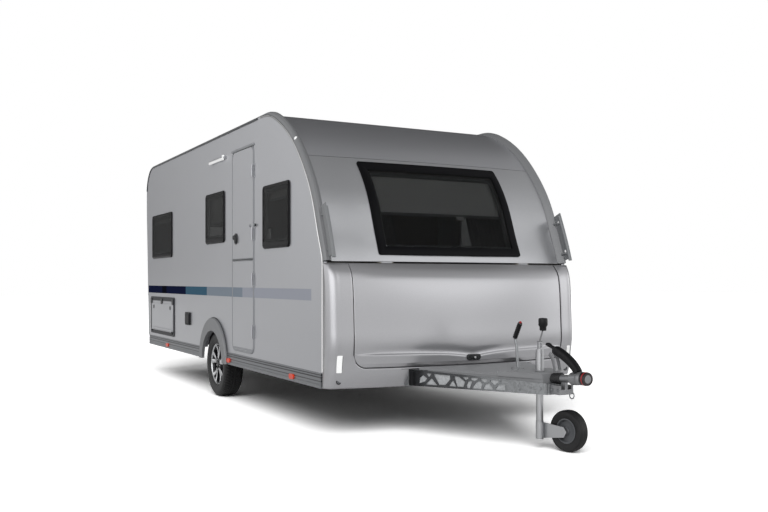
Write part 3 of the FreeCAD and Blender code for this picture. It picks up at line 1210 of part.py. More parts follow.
# Corner steadies: folded flat under the floor, each on its own pin in a bracket.
STEADY_EYE_R = 20.0
STEADY_FOOT = 8.0
BRACKET_HALF = 30.0
BRACKET_EAR = 8.0
BRACKET_ROOM = 6.0
BRACKET_SPAN = STEADY_WIDTH / 2.0 + BRACKET_ROOM + BRACKET_EAR


def steady(side, pivot_y, ahead):
    """A leg folded along Y, with a foot pad at its free end; ahead is its direction."""
    x, half, z = side * STEADY_X, STEADY_WIDTH / 2.0, STEADY_PIVOT_Z
    end = pivot_y + ahead * STEADY_LENGTH
    leg = box(x - half, x + half, pivot_y, end, z - 16.0, z + 16.0)
    eye = rod((x - half, pivot_y, z), (x + half, pivot_y, z), STEADY_EYE_R)
    foot = box(x - STEADY_PAD / 2.0, x + STEADY_PAD / 2.0, end - ahead * STEADY_FOOT, end,
               z - STEADY_PAD / 2.0, z + STEADY_PAD / 2.0)
    hole = rod((x - STEADY_PAD, pivot_y, z), (x + STEADY_PAD, pivot_y, z), STEADY_PIN_R + PIN_FIT)
    return join([leg, eye, foot]).cut(hole)


def steady_bracket(x, pivot_y):
    """Two ears and their pin, hung from a plate under the floor."""
    y0, y1, top = pivot_y - BRACKET_HALF, pivot_y + BRACKET_HALF, FLOOR_Z - SEAT
    parts = [rod((x - BRACKET_SPAN, pivot_y, STEADY_PIVOT_Z), (x + BRACKET_SPAN, pivot_y, STEADY_PIVOT_Z),
                 STEADY_PIN_R)]
    for edge in (-1.0, 1.0):
        parts.append(box(x + edge * (BRACKET_SPAN - BRACKET_EAR), x + edge * BRACKET_SPAN, y0, y1,
                         STEADY_PIVOT_Z - 22.0, top))
    parts.append(box(x - BRACKET_SPAN, x + BRACKET_SPAN, y0, y1, FLOOR_Z - 10.0, top))
    return join(parts)


brackets = []
for row, pivot_y, ahead in (("front", STEADY_FRONT_Y, 1.0), ("rear", STEADY_REAR_Y, -1.0)):
    for name, side in SIDES:
        place(steady(side, pivot_y, ahead), "steady_" + row + "_" + name)
        brackets.append(steady_bracket(side * STEADY_X, pivot_y))
place(group(brackets), "steady_brackets")

# Lamps, handles and small fittings.
REAR_LAMP = (WALL_INNER - 285.0, WALL_INNER - 65.0, 600.0, 1010.0)
REAR_LAMP_PROUD = 26.0
REAR_LAMP_R = 50.0


def rear_lamp(side):
    """A tall lamp cluster, cut from a layer parallel to the rear wall."""
    x0, x1, z0, z1 = REAR_LAMP
    layer = rear_layer(SEAT, REAR_LAMP_PROUD)
    return layer.common(rounded(box(side * x0, side * x1, REAR_SPAN[0], REAR_SPAN[1], z0, z1), (0, 1, 0),
                                REAR_LAMP_R))


place(group([rear_lamp(side) for name, side in SIDES]), "rear_lamps")

BUMPER_TOP_Z = WALL_FOOT_Z + 90.0
foot_y = rear_y(WALL_FOOT_Z)
bumper_points = [(foot_y - 60.0, SKIRT_LOW), (foot_y + 18.0, SKIRT_LOW), (foot_y + 34.0, WALL_FOOT_Z),
                 (rear_y(BUMPER_TOP_Z) + 30.0, BUMPER_TOP_Z), (rear_y(BUMPER_TOP_Z) + SEAT, BUMPER_TOP_Z),
                 (foot_y + SEAT, WALL_FOOT_Z - SEAT), (foot_y - 60.0, WALL_FOOT_Z - SEAT)]
bumper_half = BODY_HALF_WIDTH + MOULD_FOOT - MOULD_WIDTH - SEAT
place(slab_x(bumper_points, -bumper_half, bumper_half), "rear_bumper")

# White lamps and reflectors at the front, and the awning lamp over the door.
BALL_LAMP_R = 24.0
BALL_LAMP_X = BODY_HALF_WIDTH - 23.0
REFLECTOR_X = (BODY_HALF_WIDTH - 83.0, BODY_HALF_WIDTH - 39.0)
REFLECTOR_Z = (470.0, 634.0)
AWNING_LAMP_Y = (-367.0, 103.0)
AWNING_LAMP_Z = (DOOR[3] - 35.0, DOOR[3] + 21.0)
lamp_y, lamp_z, ny, nz = arch_samples(ROOF_Z - 348.0, ROOF_Z - 288.0, 3)[1]
lamps = []
for name, side in SIDES:
    out = MOULD_CREST + SEAT
    centre = (side * BALL_LAMP_X, lamp_y + ny * out, lamp_z + nz * out)
    lamps.append(ball(centre, BALL_LAMP_R).cut(moulds[side]))
    reflector = skin.common(box(side * REFLECTOR_X[0], side * REFLECTOR_X[1], FRONT_EDGE_Y - 196.0,
                                FRONT_EDGE_Y - 56.0, REFLECTOR_Z[0], REFLECTOR_Z[1]))
    reflector.translate(V(0, -LID_THICK - SEAT, 0))
    lamps.append(reflector.cut(skin.copy()))
awning = box(-BODY_HALF_WIDTH - SEAT, -BODY_HALF_WIDTH - ARCH_PROUD, AWNING_LAMP_Y[0], AWNING_LAMP_Y[1],
             AWNING_LAMP_Z[0], AWNING_LAMP_Z[1])
lamps.append(rounded(awning, (0, 1, 0), 12.0))
place(group(lamps), "white_lamps")

SIDE_MARKERS = [1783.0, -482.0, FRONT_EDGE_Y + 582.0]
MARKER_Z = SKIRT_LOW + 40.0
MARKER_HALF = (45.0, 20.0)
markers = []
for name, side in SIDES:
    for y in SIDE_MARKERS:
        face = side * (BODY_HALF_WIDTH + DOOR_PROUD)
        marker = box(face + side * SEAT, face + side * 12.0, y - MARKER_HALF[0], y + MARKER_HALF[0],
                     MARKER_Z - MARKER_HALF[1], MARKER_Z + MARKER_HALF[1])
        markers.append(rounded(marker, (1, 0, 0), MARKER_HALF[1] - 1.0))
place(group(markers), "side_markers")

GRAB_TOP = (FRONT_EDGE_Y + 16.0, 1708.0)
GRAB_FOOT = (FRONT_EDGE_Y - 125.0, 1327.0)
GRAB_X = BODY_HALF_WIDTH - 33.0
GRAB_WIDTH = 26.0
GRAB_THICK = 14.0
GRAB_POST_R = 11.0


def front_grab(side):
    """A flat bar on two round standoffs, parallel to the front arch's lower part."""
    (y1, z1), (y0, z0) = GRAB_TOP, GRAB_FOOT
    bar = slab_x([(y0, z0), (y1, z1), (y1 + GRAB_THICK, z1), (y0 + GRAB_THICK, z0)],
                 side * (GRAB_X - GRAB_WIDTH / 2.0), side * (GRAB_X + GRAB_WIDTH / 2.0))
    bar_parts = [bar]
    crest = arch_samples(PANEL_FOOT_Z, 1900.0, 60)
    for share in (0.16, 0.84):
        y, z = y0 + (y1 - y0) * share, z0 + (z1 - z0) * share
        back_y, back_z, ny, nz = min(crest, key=lambda sample: abs(sample[1] - z + 20.0))
        seat = (side * GRAB_X, back_y + ny * MOULD_CREST * 0.9, back_z + nz * MOULD_CREST * 0.9)
        bar_parts.append(rod((side * GRAB_X, y + GRAB_THICK / 2.0, z), seat, GRAB_POST_R))
    return join(bar_parts)


REAR_GRAB_X = WALL_INNER - 145.0
REAR_GRAB_Z = (1120.0, 1380.0)
REAR_GRAB_OUT = 38.0
REAR_GRAB_R = 10.0
REAR_POST_R = 8.0


def rear_grab(side):
    """A round rail on two posts, upright on the rear wall."""
    def at(z, out):
        return (side * REAR_GRAB_X, rear_y(z) + out, z)

    parts = [rod(at(REAR_GRAB_Z[0], REAR_GRAB_OUT), at(REAR_GRAB_Z[1], REAR_GRAB_OUT), REAR_GRAB_R)]
    for z in (REAR_GRAB_Z[0] + 20.0, REAR_GRAB_Z[1] - 20.0):
        parts.append(rod(at(z, SEAT), at(z, REAR_GRAB_OUT), REAR_POST_R))
    return join(parts).cut(rear_wall)


handles = [front_grab(side).cut(moulds[side]) for name, side in SIDES]
handles += [rear_grab(side) for name, side in SIDES]
place(group([solid for handle in handles for solid in handle.Solids]), "grab_handles")

# Door retainer, mains inlet, fridge vents and water filler on the walls.
FACE = BODY_HALF_WIDTH + SEAT
RETAINER = (DOOR[0] - 67.0, DOOR_SPLIT_Z + 299.0)
INLET = (835.0, 1004.0, 671.0, 809.0)
VENT_Y = (-330.0, 170.0)
VENT_FEET = (860.0, 1200.0)
VENT_HEIGHT = 210.0
VENT_OUT = BODY_HALF_WIDTH + 14.0
VENT_SLOTS = 7
VENT_STEP = 25.0
FILLER = (1180.0, 760.0)
FILLER_R = 70.0
retainer = rod((-FACE, RETAINER[0], RETAINER[1]), (-VENT_OUT, RETAINER[0], RETAINER[1]), 12.0)
inlet = plate_x(INLET, -FACE, -BODY_HALF_WIDTH - 16.0, 14.0)
vents = []
for z0 in VENT_FEET:
    grille = plate_x((VENT_Y[0], VENT_Y[1], z0, z0 + VENT_HEIGHT), FACE, VENT_OUT, 12.0)
    for i in range(VENT_SLOTS):
        low = z0 + 24.0 + i * VENT_STEP
        slot = box(VENT_OUT - 8.0, VENT_OUT + 6.0, VENT_Y[0] + 30.0, VENT_Y[1] - 30.0, low, low + 12.0)
        grille = grille.cut(slot)
    vents.append(grille)
filler = rod((FACE, FILLER[0], FILLER[1]), (BODY_HALF_WIDTH + 16.0, FILLER[0], FILLER[1]), FILLER_R)
place(group([retainer, inlet, filler] + vents), "wall_fittings")

# Rooflights: low acrylic domes over the two roof openings.
DOME_CORNER_R = 60.0
DOME_ROUND = 28.0


def dome_block(rooflight, inset, low, high, roundness):
    """A rounded block over a roof opening, smaller than the dome by an inset all round."""
    centre_x, centre_y, length, width = rooflight
    half_x = width / 2.0 + ROOFLIGHT_LAP - inset
    half_y = length / 2.0 + ROOFLIGHT_LAP - inset
    block = box(centre_x - half_x, centre_x + half_x, centre_y - half_y, centre_y + half_y, low, high)
    block = rounded(block, (0, 0, 1), DOME_CORNER_R - inset)
    return block.makeFillet(roundness, [e for e in block.Edges if e.BoundBox.ZMin > high - 1.0])


domes = []
for rooflight in ROOFLIGHTS:
    outside = dome_block(rooflight, 0.0, ROOF_Z + SEAT, ROOF_Z + ROOFLIGHT_HEIGHT, DOME_ROUND)
    inside = dome_block(rooflight, ROOFLIGHT_WALL, ROOF_Z, ROOF_Z + ROOFLIGHT_HEIGHT - ROOFLIGHT_WALL,
                        DOME_ROUND - ROOFLIGHT_WALL)
    domes.append(outside.cut(inside))
place(group(domes), "rooflights")

# Furniture seen through the windows: cabinets of board, open at the foot where they stand
# on the floor.
REAR_INNER = rear_y(FLOOR_TOP) - WALL - 4.0
FURNITURE_FOOT = FLOOR_TOP + SEAT
CABIN_SIDE = WALL_INNER - 2.0


def cabinet(x0, x1, y0, y1, top):
    """A board box without a bottom, standing on the floor."""
    outer = box(x0, x1, y0, y1, FURNITURE_FOOT, top)
    low_x, high_x = min(x0, x1) + BOARD, max(x0, x1) - BOARD
    return outer.cut(box(low_x, high_x, y0 + BOARD, y1 - BOARD, FURNITURE_FOOT - 1.0, top - BOARD))


hood_r = WHEEL_BOX_R + WHEEL_BOX_WALL + SEAT
wheel_bar = rod((-BODY_HALF_WIDTH, 0, TYRE_R), (BODY_HALF_WIDTH, 0, TYRE_R), hood_r)
inner_side = WHEEL_BOX_X - WHEEL_BOX_WALL - SEAT
wheel_gap = wheel_bar.cut(box(-inner_side, inner_side, -2 * WHEEL_BOX_R, 2 * WHEEL_BOX_R, 0.0, 4 * TYRE_R))

BENCH_INNER = CABIN_SIDE - SEAT_DEPTH
SEAT_FRONT_Y = BULKHEAD_Y + SEAT
BENCH_END_LEFT = DOOR[0] - 90.0
BENCH_END_RIGHT = -700.0
KITCHEN_Y = (DOOR[1] + 120.0, 900.0)
BED_FRONT_Y = 1180.0
WASHROOM_Y = (-640.0, 1100.0)
lounge = [
    cabinet(-CABIN_SIDE, -BENCH_INNER, SEAT_FRONT_Y, BENCH_END_LEFT, SEAT_TOP),
    cabinet(BENCH_INNER, CABIN_SIDE, SEAT_FRONT_Y, BENCH_END_RIGHT, SEAT_TOP),
    cabinet(-BENCH_INNER - BOARD, BENCH_INNER + BOARD, SEAT_FRONT_Y, BULKHEAD_Y + 380.0, SEAT_TOP),
]
place(join(lounge), "lounge_seats")
kitchen = cabinet(-CABIN_SIDE, KITCHEN_DEPTH - CABIN_SIDE, KITCHEN_Y[0], KITCHEN_Y[1], WORKTOP_Z)
place(kitchen.cut(wheel_gap), "kitchen_unit")
place(cabinet(-CABIN_SIDE, CABIN_SIDE, BED_FRONT_Y, REAR_INNER, BED_TOP), "rear_bed")
washroom = cabinet(CABIN_SIDE - WARDROBE_DEPTH, CABIN_SIDE, WASHROOM_Y[0], WASHROOM_Y[1],
                   ROOF_Z - WALL - SEAT)
NICHE = 90.0


def niche(area, by):
    """The room that the washroom's boards leave behind an opening in the right wall."""
    y0, y1, z0, z1 = grown(area, by)
    return box(CABIN_SIDE - NICHE, CABIN_SIDE + 1.0, y0, y1, z0, z1)


place(washroom.cut(wheel_gap).cut(niche(WINDOW_MIDDLE, 30.0)).cut(niche(CASSETTE, -20.0)), "washroom")

# Two gas bottles side by side on the front locker's tray.
BOTTLE_SHOULDER = 40.0
COLLAR_R = 80.0
COLLAR_HEIGHT = 90.0
VALVE_R = 16.0
BOTTLE_TOP = TRAY_Z + BOTTLE_HEIGHT
bottles = []
for name, side in SIDES:
    x = side * BOTTLE_SPACING / 2.0
    body = rod((x, BOTTLE_Y, TRAY_Z + SEAT), (x, BOTTLE_Y, BOTTLE_TOP), BOTTLE_R)
    body = body.makeFillet(BOTTLE_SHOULDER, [e for e in body.Edges if e.BoundBox.ZMin > BOTTLE_TOP - 5.0])
    body = body.cut(rod((x, BOTTLE_Y, FLOOR_Z), (x, BOTTLE_Y, BOTTLE_TOP - 36.0), BOTTLE_R - BOTTLE_STEEL))
    collar = pipe((x, BOTTLE_Y, BOTTLE_TOP - 8.0), (x, BOTTLE_Y, BOTTLE_TOP + COLLAR_HEIGHT), COLLAR_R, 4.0)
    valve = rod((x, BOTTLE_Y, BOTTLE_TOP - 8.0), (x, BOTTLE_Y, BOTTLE_TOP + COLLAR_HEIGHT - 20.0), VALVE_R)
    bottles.append(join([body, collar, valve]))
place(group(bottles), "gas_bottles")
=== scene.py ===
import bmesh
import bpy
import json
import math
import numpy as np
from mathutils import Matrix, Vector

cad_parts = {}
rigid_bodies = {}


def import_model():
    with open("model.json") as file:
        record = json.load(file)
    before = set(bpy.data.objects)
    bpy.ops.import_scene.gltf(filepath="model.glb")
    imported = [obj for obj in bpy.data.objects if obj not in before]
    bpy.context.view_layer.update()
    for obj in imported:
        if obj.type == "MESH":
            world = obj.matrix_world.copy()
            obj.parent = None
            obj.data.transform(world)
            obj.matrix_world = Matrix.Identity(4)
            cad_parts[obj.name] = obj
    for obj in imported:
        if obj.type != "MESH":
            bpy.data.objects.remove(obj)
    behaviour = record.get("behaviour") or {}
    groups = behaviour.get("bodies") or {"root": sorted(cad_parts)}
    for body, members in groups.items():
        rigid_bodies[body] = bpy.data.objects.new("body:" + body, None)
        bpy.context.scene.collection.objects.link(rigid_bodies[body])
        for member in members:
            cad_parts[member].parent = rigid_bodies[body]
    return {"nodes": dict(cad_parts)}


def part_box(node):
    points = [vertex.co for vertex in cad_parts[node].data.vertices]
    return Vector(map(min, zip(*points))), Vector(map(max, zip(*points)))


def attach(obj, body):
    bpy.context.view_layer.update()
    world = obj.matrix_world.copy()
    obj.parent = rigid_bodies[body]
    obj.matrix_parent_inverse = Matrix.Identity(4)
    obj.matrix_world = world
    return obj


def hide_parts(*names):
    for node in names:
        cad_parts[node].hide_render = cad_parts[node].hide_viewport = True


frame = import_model()
for leftover in [o for o in bpy.data.objects if o.name in ("Cube", "Light", "Camera")]:
    bpy.data.objects.remove(leftover)
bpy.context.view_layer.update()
nodes = frame["nodes"]

# Travel caravan on its road wheels and jockey wheel. Everything is in metres. Lengths along Y
# are worked out from the wheel axle, and AXLE_Y moves them to the frame's origin.
tyre_low, tyre_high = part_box("tyre_left")
AXLE_Y = (tyre_low.y + tyre_high.y) / 2

# Camera: level, at a standing person's chest height, off the drawbar's left.
CAMERA_FROM_AXLE = (-3.792, -8.4913, 1.1557)
CAMERA_TURN = math.radians(28.4)
LENS_MM = 40.875
HORIZON_SHIFT = 0.0319

camera_data = bpy.data.cameras.new("photo_camera")
camera_data.lens = LENS_MM
camera_data.sensor_width = 36.0
camera_data.shift_y = HORIZON_SHIFT
camera_data.clip_end = 200.0
camera = bpy.data.objects.new("photo_camera", camera_data)
camera.location = (CAMERA_FROM_AXLE[0], CAMERA_FROM_AXLE[1] + AXLE_Y, CAMERA_FROM_AXLE[2])
camera.rotation_euler = (math.pi / 2, 0.0, -CAMERA_TURN)
bpy.context.scene.collection.objects.link(camera)
bpy.context.scene.camera = camera
bpy.context.scene.view_settings.view_transform = "Standard"


# Studio: a white paper floor that keeps the shadow, lit by one broad key light from above the
# camera's left, in a room whose bright horizon draws the long highlights on the metallic paint.
def linear(code):
    """An sRGB hex colour as linear red, green, blue and an alpha of 1."""
    parts = [int(code[i:i + 2], 16) / 255.0 for i in (1, 3, 5)]
    return tuple(c / 12.92 if c <= 0.04045 else ((c + 0.055) / 1.055) ** 2.4 for c in parts) + (1.0,)


def put(tree, kind, sockets=(), stops=(), **settings):
    """Adds a node: settings are its options, stops a ramp's (place, colour) pairs, and sockets pair
    an input with a value or with another node's output."""
    made = tree.nodes.new("ShaderNode" + kind)
    for name, value in settings.items():
        setattr(made, name, value)
    for i, (share, colour) in enumerate(stops):
        stop = made.color_ramp.elements[i] if i < 2 else made.color_ramp.elements.new(share)
        stop.position = share
        stop.color = colour
    for name, value in sockets:
        if isinstance(value, bpy.types.NodeSocket):
            tree.links.new(value, made.inputs[name])
        else:
            made.inputs[name].default_value = value
    return made


FLOOR_HALF = 60.0
floor_mesh = bpy.data.meshes.new("studio_floor")
floor_mesh.from_pydata([(x * FLOOR_HALF, y * FLOOR_HALF, 0) for x,
                        y in ((-1, -1), (1, -1), (1, 1), (-1, 1))],
                       [], [(0, 1, 2, 3)])
studio_floor = bpy.data.objects.new("studio_floor", floor_mesh)
bpy.context.scene.collection.objects.link(studio_floor)

# Only the camera sees the paper lighter than it is; the light it throws on the caravan is plain.
PAPER_TONE, FIBRE_TONE, FIBRES_PER_M, SEEN_WHITE = 0.78, 0.01, 900.0, 1.45
paper = bpy.data.materials.new("matt_white_paper")
paper.use_nodes = True
tree = paper.node_tree
tree.nodes.clear()
seen = put(tree, "LightPath").outputs["Is Camera Ray"]
fibres = put(tree, "TexNoise", [("Scale", FIBRES_PER_M)])
paper_tone = put(tree, "MapRange", [("Value", fibres.outputs["Fac"]), ("To Min", PAPER_TONE - FIBRE_TONE),
                                    ("To Max", PAPER_TONE + FIBRE_TONE)])
lifted = put(tree, "MapRange", [("Value", seen), ("To Min", 1.0), ("To Max", SEEN_WHITE / PAPER_TONE)])
strong = put(tree, "Math", [(0, paper_tone.outputs[0]), (1, lifted.outputs[0])], operation="MULTIPLY")
diffuse = put(tree, "BsdfDiffuse", [("Color", strong.outputs[0])])
put(tree, "OutputMaterial", [("Surface", diffuse.outputs[0])])
floor_mesh.materials.append(paper)

world = bpy.data.worlds.new("studio_air")
bpy.context.scene.world = world
world.use_nodes = True
tree = world.node_tree
tree.nodes.clear()
rays = put(tree, "LightPath").outputs
way = put(tree, "TexCoord").outputs["Generated"]
axes = put(tree, "SeparateXYZ", [("Vector", way)]).outputs
# What the paint mirrors: a bright band above the horizon under a dark ceiling, dim behind the
# caravan, with four soft boxes. They stand off its door corner, off its far side, low ahead of
# it and, faintly, high over its far side.
HORIZON = [(0.0, 0.70), (0.17, 1.00), (0.37, 1.22), (0.55, 0.86), (0.70, 0.52), (0.85, 0.28)]
HORIZON_LOW, AHEAD_Y, BEHIND_X = -0.2, (0.35, -0.25), (-0.20, -0.44)
REAR_DIM, REAR_BRIGHT = 0.02, 1.15
rise = put(tree, "MapRange", [("Value", axes["Z"]), ("From Min", HORIZON_LOW), ("From Max", 1.0)])
band = put(tree, "ValToRGB", [("Fac", rise.outputs[0])],
           stops=[(share, (level, level, level, 1.0)) for share, level in HORIZON])
ahead = put(tree, "MapRange", [("Value", axes["Y"]), ("From Min", AHEAD_Y[0]), ("From Max", AHEAD_Y[1])])
behind = put(tree, "MapRange", [("Value", axes["X"]), ("From Min", BEHIND_X[0]), ("From Max", BEHIND_X[1]),
                                ("To Min", REAR_DIM), ("To Max", REAR_BRIGHT)])
turned = put(tree, "Mix", [(0, ahead.outputs[0]), (2, behind.outputs[0]), (3, 1.0)])
level = put(tree, "Math", [(0, band.outputs["Color"]), (1, turned.outputs[0])],
            operation="MULTIPLY").outputs[0]
# Each soft box is the direction it stands in, the cosines at its edge and core, and its strength.
SOFT_BOXES = [((-0.80, -0.57, 0.20), 0.80, 0.97, 1.5), ((0.985, -0.16, 0.06), 0.90, 0.985, 1.0),
              ((0.46, -0.76, 0.46), 0.88, 0.99, 0.75), ((0.66, -0.05, 0.75), 0.88, 0.99, 0.20)]
for centre, edge, core, strength in SOFT_BOXES:
    towards = put(tree, "VectorMath", [(0, way), (1, centre)], operation="DOT_PRODUCT")
    box = put(tree, "MapRange", [("Value", towards.outputs["Value"]), ("From Min", edge), ("From Max", core),
                                 ("To Max", strength)], interpolation_type="SMOOTHSTEP")
    level = put(tree, "Math", [(0, level), (1, box.outputs[0])], operation="ADD").outputs[0]
AIR_LIGHT, BACKDROP_LIGHT = 0.36, 1.0
soft, mirror, white = [put(tree, "Background", [("Color", linear("#ffffff")),
                                                ("Strength", strength)]).outputs[0]
                       for strength in (AIR_LIGHT, level, BACKDROP_LIGHT)]
gloss = put(tree, "MixShader", [(0, rays["Is Glossy Ray"]), (1, soft), (2, mirror)])
through = put(tree, "Math", [(0, rays["Is Camera Ray"]), (1, rays["Is Transmission Ray"])],
              operation="MAXIMUM")
# Light that has already met the cabin's inside leaves through the windows into a dim room.
direct = put(tree, "Math", [(0, rays["Diffuse Depth"]), (1, 0.5)], operation="LESS_THAN")
backdrop = put(tree, "Math", [(0, through.outputs[0]), (1, direct.outputs[0])], operation="MULTIPLY")
room = put(tree, "MixShader", [(0, backdrop.outputs[0]), (1, gloss.outputs[0]), (2, white)])
put(tree, "OutputWorld", [("Surface", room.outputs[0])])

# The key light is too broad to leave a mark on the paint: what the paint mirrors is the room.
KEY_FROM, KEY_POWER, KEY_WIDTH = (-4.0, -6.2, 6.8), 2.5, math.radians(46)
key_data = bpy.data.lights.new("key_light", "SUN")
key_data.energy = KEY_POWER
key_data.angle = KEY_WIDTH
key_light = bpy.data.objects.new("key_light", key_data)
key_light.location = KEY_FROM
key_light.rotation_euler = (math.atan2(math.hypot(KEY_FROM[0], KEY_FROM[1]), KEY_FROM[2]), 0.0,
                            math.atan2(KEY_FROM[1], KEY_FROM[0]) + math.pi / 2)
key_light.visible_glossy = False
bpy.context.scene.collection.objects.link(key_light)


# Side walls, rear wall and roof: painted aluminium sheet of about 0.8 mm glued on foam. The
# paint is a silver metallic under a clear coat, and the sheet waves very slightly between its
# ribs. The stripes are a band of matt film along both walls, in five tones.
def start_material(name, colour, metallic, roughness, **more):
    """A new material with one Principled shader. Returns the material, its node tree, the shader and
    the surface's own place in metres."""
    material = bpy.data.materials.new(name)
    material.use_nodes = True
    tree = material.node_tree
    tree.nodes.clear()
    sockets = [("Base Color", linear(colour)), ("Metallic", metallic), ("Roughness", roughness)]
    sockets += [(key.replace("_", " "), value) for key, value in more.items()]
    shader = put(tree, "BsdfPrincipled", sockets)
    put(tree, "OutputMaterial", [("Surface", shader.outputs[0])])
    return material, tree, shader, put(tree, "TexCoord").outputs["Object"]


def reopen(material):
    """A finished material's node tree, its shader, its place as X, Y and Z, and its colour so far."""
    tree = material.node_tree
    shader = tree.nodes["Principled BSDF"]
    axes = put(tree, "SeparateXYZ", [("Vector", put(tree, "TexCoord").outputs["Object"])])
    return tree, shader, axes.outputs, shader.inputs["Base Color"].links[0].from_socket


def shift(tree, shader, amount, **changes):
    """Moves sockets of the shader from a first value to a last as an amount goes from 0 to 1."""
    for socket, (first, last) in changes.items():
        change = put(tree, "MapRange", [("Value", amount), ("To Min", first), ("To Max", last)])
        tree.links.new(change.outputs[0], shader.inputs[socket.replace("_", " ")])


def textured(tree, shader, colour, shade, height, strength, depth):
    """Scales the base colour by a shade, and bends the light by a height map some metres deep."""
    tint = put(tree, "VectorMath", [(0, linear(colour)[:3]), ("Scale", shade.outputs[0])], operation="SCALE")
    tree.links.new(tint.outputs[0], shader.inputs["Base Color"])
    bump = put(tree, "Bump", [("Height", height), ("Strength", strength), ("Distance", depth)])
    tree.links.new(bump.outputs[0], shader.inputs["Normal"])


def dress(material, *names):
    """Gives CAD nodes a finish; their meshes stay as they are."""
    for name in names:
        mesh = nodes[name].data
        for i in range(len(mesh.materials)):
            mesh.materials[i] = material


WALL_X = -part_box("side_wall_left")[0].x
SHEET_RIB, FLAKE, FLAKE_TONE = 0.45, 0.005, 0.08
PAINT_METALLIC, PAINT_ROUGH, PAINT_COAT = 0.72, 0.34, 0.3


def paint(name, colour="#a9aaae", roughness=PAINT_ROUGH):
    """Silver metallic paint: flakes vary its tone, slow waves bend its reflections."""
    material, tree, shader, place = start_material(name, colour, PAINT_METALLIC, roughness,
                                                   Coat_Weight=PAINT_COAT, Coat_Roughness=0.15)
    flakes = put(tree, "TexNoise", [("Vector", place), ("Scale", 1 / FLAKE), ("Detail", 2.0)])
    waves = put(tree, "TexNoise", [("Vector", place), ("Scale", 1 / SHEET_RIB), ("Detail", 1.0)])
    tone = put(tree, "MapRange", [("Value", flakes.outputs["Fac"]), ("To Min", 1 - FLAKE_TONE),
                                  ("To Max", 1 + FLAKE_TONE)])
    textured(tree, shader, colour, tone, waves.outputs["Fac"], 0.05, 0.02)
    return material


sheet_silver = paint("silver_painted_aluminium_sheet")
dress(sheet_silver, "rear_wall", "door_hinges", "service_hatch", "cassette_hatch")

# Film stripes: a band of printed vinyl on both outer faces, in tones that step along the wall.
# It is matt, so it hides the paint's metal, coat and gloss under it.
STRIPE_Z, STRIPE_Y, STRIPE_SKIN = (1.003, 1.092), (-2.42, 2.749), 0.002
STRIPE_STEPS = [(-2.42, "#9a9da6"), (-0.884, "#7f8892"), (0.24, "#3e5c6f"), (1.02, "#171c35"),
                (1.842, "#101119"), (2.054, "#171c35")]
striped_silver = paint("silver_painted_sheet_with_film_stripes")
tree, shader, axes, painted = reopen(striped_silver)
first, last = [y + AXLE_Y for y in STRIPE_Y]
along = put(tree, "MapRange", [("Value", axes["Y"]), ("From Min", first), ("From Max", last)])
bands = put(tree, "ValToRGB", [("Fac", along.outputs[0])], stops=[
    ((y - STRIPE_Y[0]) / (STRIPE_Y[1] - STRIPE_Y[0]), linear(code)) for y, code in STRIPE_STEPS])
bands.color_ramp.interpolation = "CONSTANT"
half = put(tree, "Math", [(0, axes["X"])], operation="ABSOLUTE")
film = put(tree, "Math", [(0, half.outputs[0]), (1, WALL_X - STRIPE_SKIN)],
           operation="GREATER_THAN").outputs[0]
for axis, low, high in (("Z", *STRIPE_Z), ("Y", first, last)):
    inside = put(tree, "Math", [(0, axes[axis]), (1, (low + high) / 2), (2, (high - low) / 2)],
                 operation="COMPARE")
    film = put(tree, "Math", [(0, film), (1, inside.outputs[0])], operation="MULTIPLY").outputs[0]
stripe = put(tree, "Mix", [(0, film), (6, painted), (7, bands.outputs["Color"])], data_type="RGBA")
tree.links.new(stripe.outputs[2], shader.inputs["Base Color"])
shift(tree, shader, film, Metallic=(PAINT_METALLIC, 0.0), Coat_Weight=(PAINT_COAT, 0.0),
      Specular_IOR_Level=(0.5, 0.0))
dress(striped_silver, "side_wall_left", "side_wall_right", "door_lower", "door_upper")

# Roof: the same sheet with a matt walk-on coat on its flat, so the roof shows the paint's own
# tone from above; the gloss comes back where the sheet bends down to the front panel.
ROOF_BEND_Y = (-1.35, -1.05)
roof_silver = paint("silver_painted_roof_sheet_with_matt_coat")
tree, shader, axes, painted = reopen(roof_silver)
flatness = put(tree, "MapRange", [("Value", axes["Y"]), ("From Min", ROOF_BEND_Y[0] + AXLE_Y),
                                  ("From Max", ROOF_BEND_Y[1] + AXLE_Y)])
shift(tree, shader, flatness.outputs[0], Metallic=(PAINT_METALLIC, 0.05), Roughness=(PAINT_ROUGH, 0.75),
      Coat_Weight=(PAINT_COAT, 0.0), Specular_IOR_Level=(0.5, 0.2))
dress(roof_silver, "roof_panel")

# Front panel and locker surround: moulded glass-fibre in the same paint, a little smoother
# than the wall sheet, bowed forward between the corner mouldings.
front_silver = paint("silver_painted_moulded_GRP", colour="#a6a7aa", roughness=0.3)
dress(front_silver, "front_panel", "locker_surround")


# Corner mouldings: a thick grey ABS moulding over each front arch that thins out along the
# roof. A bright insert strip covers its screws along the wall's front edge, with a dark
# sealant bead beside it.
def moulded(name, colour, metallic, roughness, grain, depth, tone, **more):
    """A finish whose tone and height follow one fine pattern of a real grain size in metres, over
    slow clouds sixty times as broad."""
    material, tree, shader, place = start_material(name, colour, metallic, roughness, **more)
    fine = put(tree, "TexNoise", [("Vector", place), ("Scale", 1 / grain)]).outputs["Fac"]
    broad = put(tree, "TexNoise", [("Vector", place), ("Scale", 1 / (60 * grain)), ("Detail", 3.0)])
    both = put(tree, "Math", [(0, fine), (1, 0.4), (2, broad.outputs["Fac"])], operation="MULTIPLY_ADD")
    shade = put(tree, "MapRange", [("Value", both.outputs[0]), ("From Max", 1.4), ("To Min", 1 - tone),
                                   ("To Max", 1 + tone)])
    textured(tree, shader, colour, shade, fine, 0.4, depth)
    return material


